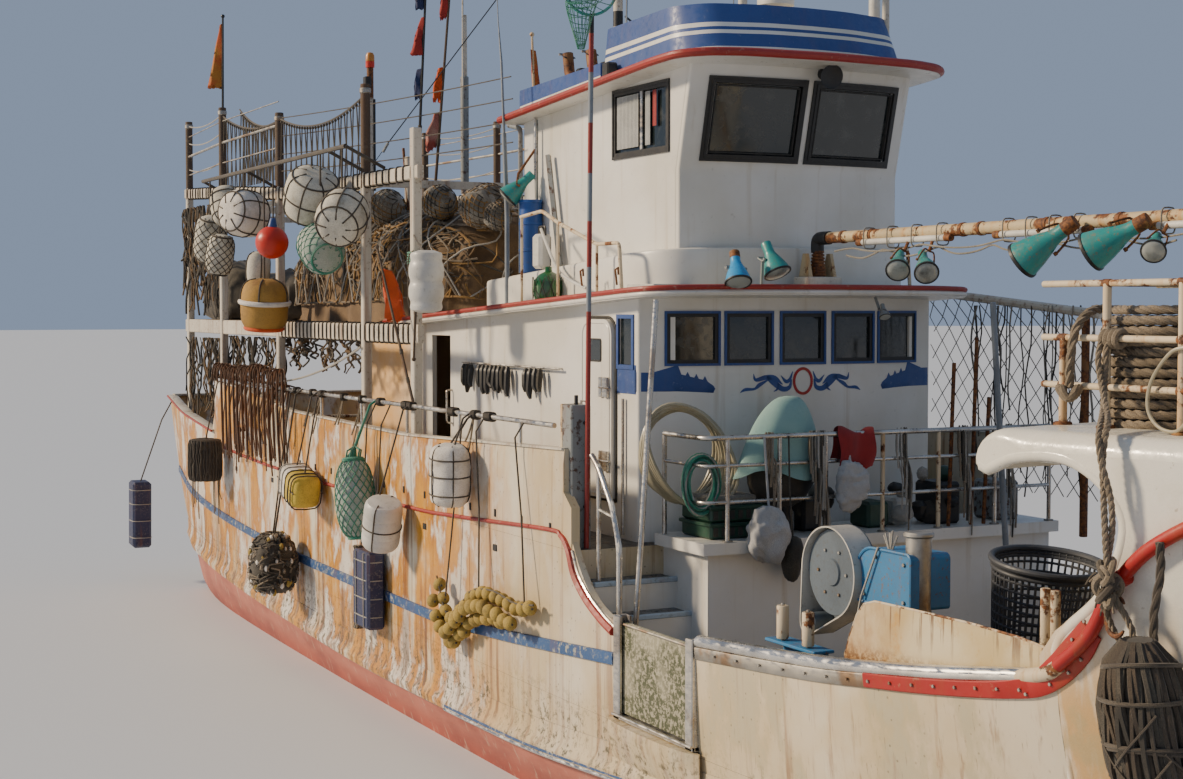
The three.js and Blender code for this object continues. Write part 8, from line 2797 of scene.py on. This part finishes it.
def make_platform_stores():
    """The gear kept behind the platform's railing."""
    gear = Piece("platform_stores", "crate_green", "hose_pale", "net_green", "black", "rope_brown",
                 "net_dark", "rope_white", "white_plastic", "orange_gear", "rusty_brown", "teal",
                 "grey_paint", "net_grey", slot="black_plastic")
    wild = random.Random(55)
    deck = 2.722
    for z in (0.0, 0.16):
        gear.add(block((3.62, -1.50, deck + z), (4.18, -0.92, deck + z + 0.15), 0.02))
        gear.add(block((3.60, -1.52, deck + z + 0.12), (4.20, -0.90, deck + z + 0.155), 0.012))
        for k in range(6):
            gear.add(block((4.176, -1.47 + 0.09 * k, deck + z + 0.03),
                           (4.186, -1.42 + 0.09 * k, deck + z + 0.11), 0.004), 5)
    gear.add(lumpy(block((3.66, -1.46, deck + 0.315), (4.14, -0.96, deck + 0.40), 0.03), 0.3, 0.01, 2), 12)
    for y, paint, size in ((-0.72, 11, 0.24), (-0.38, 3, 0.22), (0.35, 0, 0.26), (0.72, 7, 0.2),
                           (1.15, 3, 0.3), (1.9, 11, 0.3)):
        high = deck + size * wild.uniform(0.9, 1.5)
        gear.add(block((3.75, y, deck), (3.75 + size * 1.3, y + size, high), 0.03), paint)
    for k in range(16):
        r = wild.uniform(0.06, 0.15)
        spot = (wild.uniform(3.8, 4.2), wild.uniform(-0.7, 2.2), deck + wild.uniform(0.1, 0.5))
        gear.add(lumpy(ball(spot, (r, r, r * wild.uniform(0.6, 1.1)), 12, 8), 0.2, 0.012, k),
                 wild.choice((3, 5, 6, 12, 0, 11)))
    for k in range(11):
        high, wide = 0.43 + 0.006 * k, 0.40 + 0.008 * k
        loop = [(3.72 + 0.03 * k + 0.03 * math.sin(3 * a + k), -1.60 + wide * math.cos(a + 0.04 * k),
                 3.50 + high * math.sin(a) + 0.02 * math.sin(2 * a + k))
                for a in np.linspace(0, math.tau, 40)[:-1]]
        gear.add(tube(loop, 0.0165, 7, closed=True), 1)
    for k in range(14):
        turn = 0.15 + 0.008 * k
        loop = [(4.12 + 0.02 * math.sin(2 * a + k), -1.57 + turn * 0.82 * math.cos(a),
                 3.24 + (turn + 0.04) * math.sin(a))
                for a in np.linspace(0, math.tau, 26)[:-1]]
        gear.add(tube(loop, 0.010, 6, closed=True), 2 if k % 4 else 6)
    for y, count, low in ((-0.40, 9, 2.52), (-0.46, 6, 2.9), (-0.95, 4, 3.0), (0.55, 8, 2.8), (1.3, 6, 2.7),
                          (1.9, 6, 2.6)):
        for k in range(count):
            dy = y + wild.uniform(-0.06, 0.06)
            deep = low + wild.uniform(-0.1, 0.25)
            loop = [(4.40, dy - 0.02, deep + 0.4), (4.385, dy - 0.02, 3.5), (4.35, dy, 3.722),
                    (4.32, dy + 0.01, 3.5), (4.40, dy + 0.03, deep + 0.3), (4.42, dy + 0.01, deep)]
            gear.add(tube(flowing(loop, 3), wild.uniform(0.008, 0.013), 5), wild.choice((4, 6, 12, 5)))
    bag = Roll((4.46, -0.77, 2.54), (0, 0.1, 1), 0.10, 0.22, 2.2)
    gear.add(lumpy(bag.skin(16, 12), 0.2, 0.012, 3), 5)
    gear.add(tube([(4.46, -0.77, 2.74), (4.4, -0.77, 3.2), (4.38, -0.77, 3.69)], 0.009, 5), 5)
    gear.add(rod((4.1, -0.62, deck), (4.1, -0.62, 3.32), 0.05, 12), 3)
    gear.add(lumpy(ball((4.02, -0.64, 3.3), (0.26, 0.36, 0.34), 20, 12), 0.3, 0.015, 4), 5)
    for y, high in ((1.18, 4.35), (1.46, 4.6), (1.62, 4.0)):
        gear.add(rod((4.28, y, deck), (4.3, y + 0.04, high), 0.02, 10), 9)
    stores = gear.done()
    tarp = Piece("aqua_tarp", "tarp_aqua", slot="net", sharp=180)
    rows, columns = 20, 64
    grid = []
    for v in np.linspace(0, 1, rows):
        row = []
        for a in np.linspace(0.35 * math.pi, 2.05 * math.pi, columns):
            pleat = 1 + 0.05 * v * v * math.cos(7 * a) + 0.03 * math.sin(3 * a + 3 * v)
            reach = (0.03 + 0.44 * v ** 0.62) * pleat
            fall = 0.74 * v ** 1.45 * (1 + 0.06 * math.sin(3 * a + 1)) + 0.012 * v * math.sin(9 * v + 4 * a)
            row.append((4.03 - 0.66 * reach * math.cos(a - math.pi / 2),
                        -0.54 - 0.13 * v + reach * math.sin(a - math.pi / 2), 4.05 - fall))
        grid.append(row)
    tarp.add((np.array(grid).reshape(-1, 3), grid_faces(rows, columns)))
    tarp.done()
    red = Piece("red_cloth", "cloth_red", slot="net", sharp=180)
    line = flowing([(4.24, 3.42), (4.27, 3.60), (4.31, 3.72), (4.37, 3.735), (4.41, 3.66), (4.415, 3.50),
                    (4.40, 3.36)], 4)
    grid = []
    for k, (px, pz) in enumerate(line):
        grid.append([(px + 0.02 * math.sin(9 * u + 0.3 * k), -0.21 + 0.40 * u + 0.012 * math.sin(0.7 * k),
                      pz + 0.03 * math.sin(7 * u + 1) - 0.02 * u) for u in np.linspace(0, 1, 16)])
    red.add((np.array(grid).reshape(-1, 3), grid_faces(len(grid), 16)))
    red.done()
    sack = Piece("grey_sack", "cloth_white", "rope_dark", slot="net")
    body = lumpy(ball((4.50, -1.06, 2.78), (0.13, 0.20, 0.27), 72, 48, 0.85), 0.4, 0.026, 2)
    sack.add(crumpled(body, 0.21, 0.020, 5))
    sack.add(tube(flowing([(4.50, -1.06, 3.0), (4.45, -1.05, 3.25), (4.38, -1.04, 3.69)], 4),
                  [0.035] + [0.012] * 8, 8), 0)
    sack.done()
    pouch = Piece("white_pouch", "cloth_white", slot="net")
    body = lumpy(ball((4.46, -0.11, 3.20), (0.09, 0.18, 0.23), 60, 40, 0.8), 0.3, 0.024, 7)
    pouch.add(crumpled(body, 0.19, 0.018, 3))
    pouch.add(tube([(4.45, -0.11, 3.38), (4.40, -0.11, 3.55), (4.38, -0.11, 3.69)], 0.014, 6))
    pouch.done()


HANDRAIL = [(4.10, -2.42, 1.44), (4.10, -2.42, 2.70), (3.96, -2.42, 3.06), (3.64, -2.40, 3.40),
            (3.48, -2.39, 3.50)]


def make_steps():
    """Grey treads with pale edges on the steps, the rail beside them, and the landing net on its post."""
    steps = Piece("step_treads", "grey_step", "pale_edge", "stainless", slot="gelcoat")
    rise = (MAIN_DECK - WELL_DECK) / 5
    for k in range(4):
        x1 = 3.45 + 0.27 * (4 - k)
        z = WELL_DECK + rise * (k + 1)
        steps.add(block((x1 - 0.27, -2.44, z), (x1 - 0.035, -1.63, z + 0.012), 0.003), 0)
        steps.add(block((x1 - 0.04, -2.485, z - 0.03), (x1 + 0.012, -1.585, z + 0.018), 0.008), 1)
    steps.add(tube(filleted(HANDRAIL, 0.12, 7), 0.0285, 14), 2)
    steps.add(rod((3.64, -2.4, 2.3), (3.64, -2.4, 3.4), 0.0225, 12), 2)
    steps.add(rod((3.66, -2.4, 3.0), (4.0, -2.42, 2.96), 0.016, 8), 2)
    steps.add(rod((4.18, -2.33, 1.44), (4.06, -2.02, 4.97), 0.0265, 12), 2)
    steps.done()
    post = Piece("corner_post", "grey_paint", "rusty_cream", "black", slot="mast_paint")
    post.add(block((3.12, -2.54, 2.45), (3.34, -2.33, 3.97), 0.012))
    post.add(block((3.10, -2.545, 3.5), (3.15, -2.325, 3.975), 0.008), 1)
    post.add(rod((3.22, -2.43, 3.97), (3.22, -2.43, 4.06), 0.02, 8), 2)
    for start, end in (((3.3, -2.4, 3.8), (3.41, -2.4, 3.8)), ((3.3, -2.4, 3.0), (3.4, -2.4, 3.0))):
        post.add(rod(start, end, 0.017, 10), 2)
    post.done()
    pole = Piece("landing_net_pole", "black", "pole_red", "mast_grey", "teal", "net_green",
                 slot="mast_paint")
    low, high = np.array([3.38, -2.40, 2.605]), np.array([3.49, -2.40, 7.64])
    stops = [(2.605, 1), (4.86, 2), (5.28, 1), (5.71, 2), (6.16, 1), (6.63, 2), (7.10, 1), (7.46, 0),
             (7.64, 0)]
    for (a, paint), (b, unused) in zip(stops, stops[1:]):
        ends = [low + (high - low) * (z - low[2]) / (high[2] - low[2]) for z in (a, b)]
        pole.add(tube(ends, 0.024, 12), paint)
    middle = np.array([3.49, -2.40, 7.87])

    def hoop_spot(a, reach=0.24):
        return middle + np.array([0.6 * math.cos(a), 0.8 * math.cos(a), math.sin(a)]) * reach

    pole.add(tube([hoop_spot(a) for a in np.linspace(0, math.tau, 33)[:-1]], 0.014, 8, closed=True), 3)
    bag = middle + (0.10, -0.16, -0.28)
    strings = []
    for k in range(18):
        a = math.tau * k / 18
        belly = bag + (0.15 * math.cos(a + 0.5), 0.14 * math.sin(a + 0.5), 0.10)
        foot = bag + (0.03 * math.cos(a), 0.03 * math.sin(a), -0.30)
        strings.append(flowing([hoop_spot(a), belly, foot], 5))
        pole.add(tube(strings[-1], 0.004, 4), 4)
    for row in range(2, 10):
        pole.add(tube([line[row] for line in strings], 0.004, 4, closed=True), 4)
    pole.done()


GUARD = 0.365
GUARD_HEEL = 0.105


def make_hauler():
    """The line hauler: blue gearbox on a steel post, its sheave inside a guard open outboard. The guard's
    pale rim is painted light; the dark blue-grey of its face, its heel and the sheave is partly their own
    colour and partly painted shade.
    """
    stand = Piece("hauler_body", "hauler_blue", "worn_steel", "cloth_white", "rope_white", "pale_belt",
                  "sheave_blue", slot="blue_plastic", replaces=["hauler_stand"])
    stand.add(rod((7.9, -1.9, WELL_DECK + 0.002), (7.9, -1.9, 3.22), 0.096, 20), 1)
    stand.add(rod((7.9, -1.9, 3.2), (7.9, -1.9, 3.24), 0.115, 20), 1)
    outline = rounded_outline(7.3, 7.98, 2.66, 3.08, (0.05, 0.03, 0.05, 0.2), 8)
    stand.add(flat_shape(outline, lambda u, v, w: (u, -2.03 + w, v), 0.36, 0.3))
    stand.add(tube([(u, -2.032, v) for u, v in outline], 0.012, 6, closed=True))
    stand.add(rod((7.02, -1.86, 2.83), (7.35, -1.8, 2.83), 0.06, 16), 1)
    stand.add(block((7.1, -1.86, 2.56), (7.5, -1.72, 2.95), 0.03), 0)
    for x, z in ((7.4, 2.72), (7.9, 2.72), (7.9, 3.0), (7.55, 3.02)):
        stand.add(rod((x, -2.032, z), (x, -2.045, z), 0.016, 6), 1)
    for k in range(6):
        end = (7.62 + DRAW.uniform(-0.1, 0.1), -1.95, 3.1 + DRAW.uniform(0.05, 0.14))
        stand.add(tube([(7.62, -1.95, 3.04), end], 0.008, 5), 3)
    stand.add(tube([(7.6, -2.05, 3.1), (7.4, -2.06, 2.7), (7.26, -2.07, 2.2)], 0.009, 5), 3)
    hub, heel = np.array([7.0, 2.83]), np.array([6.72, 2.40])
    lean = heel - hub
    spread = math.acos((GUARD - GUARD_HEEL) / np.linalg.norm(lean))
    way = math.atan2(lean[1], lean[0])
    guard = [hub + np.array([math.cos(a), math.sin(a)]) * GUARD
             for a in np.linspace(way + spread, way + math.tau - spread, 30)]
    guard += [heel + np.array([math.cos(a), math.sin(a)]) * GUARD_HEEL
              for a in np.linspace(way - spread, way + spread, 10)]
    centre = sum(guard) / len(guard)
    band = []
    for u, v in guard:
        inner = np.array([u, v]) + (centre - (u, v)) * 0.012 / np.linalg.norm(centre - (u, v))
        band.append([(u, -2.10, v), (u, -1.885, v), (inner[0], -1.885, inner[1]),
                     (inner[0], -2.10, inner[1])])
    # The guard's rim, pale: painted light.
    stand.add(loft(band + band[:1], caps=False), 4)
    # The guard's face, dark blue-grey: partly its own colour, partly painted shade.
    stand.add(flat_shape([tuple(spot) for spot in guard], lambda u, v, w: (u, -1.887 + w, v), 0.012, 0.3),
              5)
    stand.add(rod((heel[0], -2.08, heel[1]), (heel[0], -1.89, heel[1]), 0.075, 20), 5)
    stand.add(rod((heel[0], -2.115, heel[1]), (heel[0], -2.08, heel[1]), 0.03, 12), 1)
    stand.done()
    sheave = Piece("hauler_wheel", "pale_belt", "worn_steel", "sheave_blue", body="hauler_sheave",
                   slot="worn_steel", replaces=["hauler_sheave"])
    profile = [(0.03, -0.162), (0.1, -0.165), (0.11, -0.15), (0.3, -0.150), (0.335, -0.147), (0.34, -0.135),
               (0.285, -0.09), (0.28, -0.08), (0.285, -0.07), (0.34, -0.02), (0.335, -0.01), (0.1, -0.01),
               (0.03, -0.008)]
    # The sheave, in the guard's dark blue-grey: partly its own colour, partly painted shade.
    sheave.add(aimed(revolve(profile, sides=40), (0, 1, 0), (7.0, -1.9, 2.83)), 2)
    for k in range(6):
        a = math.tau * k / 6
        spot = np.array([7.0 + 0.19 * math.cos(a), -2.052, 2.83 + 0.19 * math.sin(a)])
        sheave.add(rod(spot, spot - (0, 0.012, 0), 0.014, 6), 1)
    sheave.done()


def make_rollers():
    """The two upright fairlead rollers on their base."""
    base = Piece("roller_base", "hauler_blue", "worn_steel", slot="worn_steel", replaces=["roller_frame"])
    base.add(block((6.6, -2.42, 2.26), (7.3, -2.23, 2.285), 0.006))
    base.add(block((6.65, -2.28, WELL_DECK + 0.002), (7.25, -2.25, 2.27), 0.004))
    for k, x in enumerate((6.77, 7.13)):
        base.add(rod((x, -2.36, 2.27), (x, -2.36, 2.58), 0.015, 10), 1)
        roller = Piece(f"fairlead_roller_{k + 1}", "rusty_cream", body=f"side_roller_{k + 1}",
                       slot="worn_steel", replaces=[f"side_roller_{k + 1}"])
        profile = [(0.023, 2.3), (0.044, 2.3), (0.048, 2.306), (0.048, 2.554), (0.044, 2.56), (0.023, 2.56)]
        rings = []
        turn = np.arange(24) * math.tau / 24
        for r, z in profile + [profile[0]]:
            rings.append(np.stack([x + r * np.cos(turn), -2.36 + r * np.sin(turn), np.full(24, z)], 1))
        verts, faces = loft(rings, caps=False)
        roller.add((verts, faces))
        roller.done()
    base.done()


def make_gate():
    """The gate's channels, its lip on the hull's side and its board."""
    gate = Piece("gate_channels", "stainless", "worn_steel", "topside", slot="stainless",
                 replaces=["gate_frame"])
    y0 = -2.62
    for x0 in (4.36, 5.67):
        x1 = x0 + 0.12
        low, high = 1.2005, 2.14
        gate.add(block((x0, y0, low), (x1, y0 + 0.036, high), 0.01))
        gate.add(block((x0, y0 + 0.102, low), (x1, y0 + 0.13, high), 0.008))
        a, b = (x0, x0 + 0.066) if x0 < 5 else (x0 + 0.054, x1)
        gate.add(block((a, y0 + 0.03, low), (b, y0 + 0.11, high), 0.004))
    gate.add(block((4.36, y0, 1.2005), (5.79, y0 + 0.13, 1.245), 0.008))
    gate.add(tube([(4.36, y0 - 0.004, 1.24), (5.79, y0 - 0.004, 1.24)], 0.014, 8))
    rings = []
    for x in np.linspace(4.22, 5.86, 15):
        ease = max(0.0, math.sin(math.pi * (x - 4.22) / 1.64)) ** 0.35
        out = 0.012 + 0.11 * ease
        skin = -2.6 + 0.02
        rings.append([(x, skin, 1.195), (x, skin - out, 1.19), (x, skin - out - 0.006 * ease, 1.12),
                      (x, skin - out * 0.7, 0.98), (x, skin - out * 0.3, 0.86), (x, skin, 0.80)])
    gate.add(loft(rings), 2)
    gate.done()
    board = Piece("gate_panel", "gate_cream", "worn_steel", body="gate_board", slot="topside_paint",
                  replaces=["gate_board"])
    board.add(block((4.438, -2.572, 1.258), (5.712, -2.528, 2.08), 0.006))
    board.add(tube([(4.46, -2.577, 2.065), (5.69, -2.577, 2.065)], 0.012, 6), 1)
    board.done()


def make_basket():
    """The mesh basket, tilted on its crate."""
    basket = Piece("mesh_basket", "basket_grey", "crate_green", "net_dark", slot="black_plastic",
                   replaces=["basket"])
    basket.add(block((7.55, -1.15, WELL_DECK + 0.002), (8.35, -0.45, 1.66), 0.03), 1)
    basket.add(block((7.57, -1.13, 1.66), (8.33, -0.47, 2.16), 0.03), 2)
    basket.add(block((7.54, -1.16, 2.15), (8.36, -0.44, 2.20), 0.015), 1)

    def cup(a, share, out=0.0):
        reach = 0.352 + 0.07 * share + out
        spot = np.array([reach * math.cos(a), reach * math.sin(a), 0.8 * share])
        tilt = math.radians(8)
        return np.array([7.95 + spot[0] * math.cos(tilt) + spot[2] * math.sin(tilt), -0.80 + spot[1],
                         2.165 - spot[0] * math.sin(tilt) + spot[2] * math.cos(tilt) + 0.03])

    turn = np.linspace(0, math.tau, 49)[:-1]
    for share in np.linspace(0.02, 0.93, 11):
        basket.add(tube([cup(a, share) for a in turn], 0.011, 5, closed=True))
    for a in turn:
        basket.add(tube([cup(a, 0.0), cup(a, 0.5), cup(a, 0.95)], 0.010, 5))
    basket.add(tube([cup(a, 0.0) for a in turn], 0.022, 8, closed=True))
    basket.add(tube([cup(a, 0.97, 0.012) for a in turn], 0.026, 10, closed=True))
    basket.add(tube([cup(a, 0.90, 0.006) for a in turn], 0.016, 8, closed=True))
    inner = [[cup(a, 0.02, -0.03 - r * 0.1) for a in turn] for r in range(4)]
    basket.add(loft(inner), 2)
    basket.done()


def make_hatch():
    """The well deck's hatch: its coaming and its lid."""
    hatch = Piece("hatch_box", "white_bow", "stainless", slot="gelcoat", replaces=["hatch_coaming"])
    outer = [(5.2, -0.65), (6.5, -0.65), (6.5, 0.65), (5.2, 0.65), (5.2, -0.65)]
    inner = [(5.27, -0.58), (6.43, -0.58), (6.43, 0.58), (5.27, 0.58), (5.27, -0.58)]
    hatch.add(shell([[(*p, WELL_DECK + 0.002) for p in outer], [(*p, 1.6) for p in outer]],
                    [[(*p, WELL_DECK + 0.002) for p in inner], [(*p, 1.6) for p in inner]]))
    hatch.done()
    lid = Piece("hatch_cover", "white_bow", "stainless", body="hatch_lid", slot="gelcoat",
                replaces=["hatch_lid"])
    lid.add(block((5.18, -0.67, 1.608), (6.52, 0.67, 1.68), 0.018))
    lid.add(block((5.3, -0.52, 1.675), (6.4, 0.52, 1.695), 0.01))
    for y in (-0.4, 0.4):
        lid.add(rod((5.22, y - 0.06, 1.71), (5.22, y + 0.06, 1.71), 0.012, 8), 1)
        lid.add(block((6.44, y - 0.06, 1.675), (6.54, y + 0.06, 1.7), 0.006), 1)
    lid.done()


def make_windlass():
    """The windlass on the whaleback: its cheeks and its drum."""
    frame_piece = Piece("windlass_cheeks", "rusty_brown", "worn_steel", slot="rusty_plate",
                        replaces=["windlass_frame"])
    frame_piece.add(block((11.85, -0.7, WHALEBACK + 0.01), (12.5, 0.7, WHALEBACK + 0.06), 0.01))
    for y in (-0.5, 0.5):
        frame_piece.add(block((12.0, y - 0.06, WHALEBACK + 0.05), (12.35, y + 0.06, 4.65), 0.03))
        frame_piece.add(rod((12.175, y - 0.075, 4.48), (12.175, y + 0.066, 4.48), 0.07, 16), 1)
    frame_piece.done()
    drum = Piece("windlass_barrel", "rusty_cream", "rusty_brown", body="windlass_drum", slot="rusty_plate",
                 replaces=["windlass_drum"])
    profile = [(0.04, -0.43), (0.185, -0.43), (0.19, -0.42), (0.19, -0.4), (0.18, -0.39), (0.115, -0.37),
               (0.108, 0.0), (0.115, 0.37), (0.18, 0.39), (0.19, 0.4), (0.19, 0.42), (0.185, 0.43),
               (0.04, 0.43)]
    drum.add(aimed(revolve(profile, sides=32), (0, 1, 0), (12.175, 0, 4.48)))
    for k in range(6):
        a = math.tau * k / 6
        drum.add(rod((12.175 + 0.15 * math.cos(a), -0.43, 4.48 + 0.15 * math.sin(a)),
                     (12.175 + 0.15 * math.cos(a), -0.442, 4.48 + 0.15 * math.sin(a)), 0.014, 6), 1)
    drum.done()


NODE_LOOKS = {
    "keel": "bottom", "rudder": "bottom", "propeller": "bronze", "platform": "gelcoat",
    "shelter_deck": "plank", "shelter_beams": "white_paint", "mast": "white_paint",
    "radar_bar": "white_plastic", "lamp_boom": "rusty_cream", "foremast": "rusty_cream",
    "shelter_frame_starboard": "white_paint", "shelter_frame_port": "white_paint", "net_heap": "net_brown",
    "floats_starboard": "foam", "fender_rail_starboard": "foam", "hauler_stand": "hauler_blue",
    "hauler_sheave": "cloth_white", "roller_frame": "hauler_blue", "side_roller_1": "rusty_cream",
    "side_roller_2": "rusty_cream", "rope_coil": "rope_brown", "windlass_frame": "rusty_brown",
    "windlass_drum": "rusty_cream", "barrel": "barrel_blue", "basket": "black", "gate_frame": "bright_pipe",
    "gate_board": "topside", "platform_railing": "stainless",
}


def dress_nodes():
    """Gives every piece of the frame its material. The rest are gelcoat."""
    for name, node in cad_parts.items():
        node.data.materials.clear()
        node.data.materials.append(material_of(NODE_LOOKS.get(name, "gelcoat")))


def main():
    make_camera()
    make_mooring_rope()
    make_hanging_line()
    make_stage()
    make_lights()
    dress_nodes()
    for step in STEPS:
        step()


STEPS = [
    make_hull, make_afterbody, make_after_bulwarks, make_rub_rails, make_mouldings, make_forecastle,
    make_bow_bulwark, make_fore_bulwarks, make_cap_rails, make_bow_fender, make_rack, make_splash,
    make_deckhouse_front, make_house_sides, make_roof, make_wheelhouse_front, make_wheelhouse_roof,
    make_shelter, make_nets, make_floats, make_side_rail, make_grapnels, make_boom, make_roof_gear,
    make_port_curtain, make_flags, make_platform_rails, make_platform_stores, make_steps, make_hauler,
    make_rollers, make_gate, make_basket, make_hatch, make_windlass,
]

main()
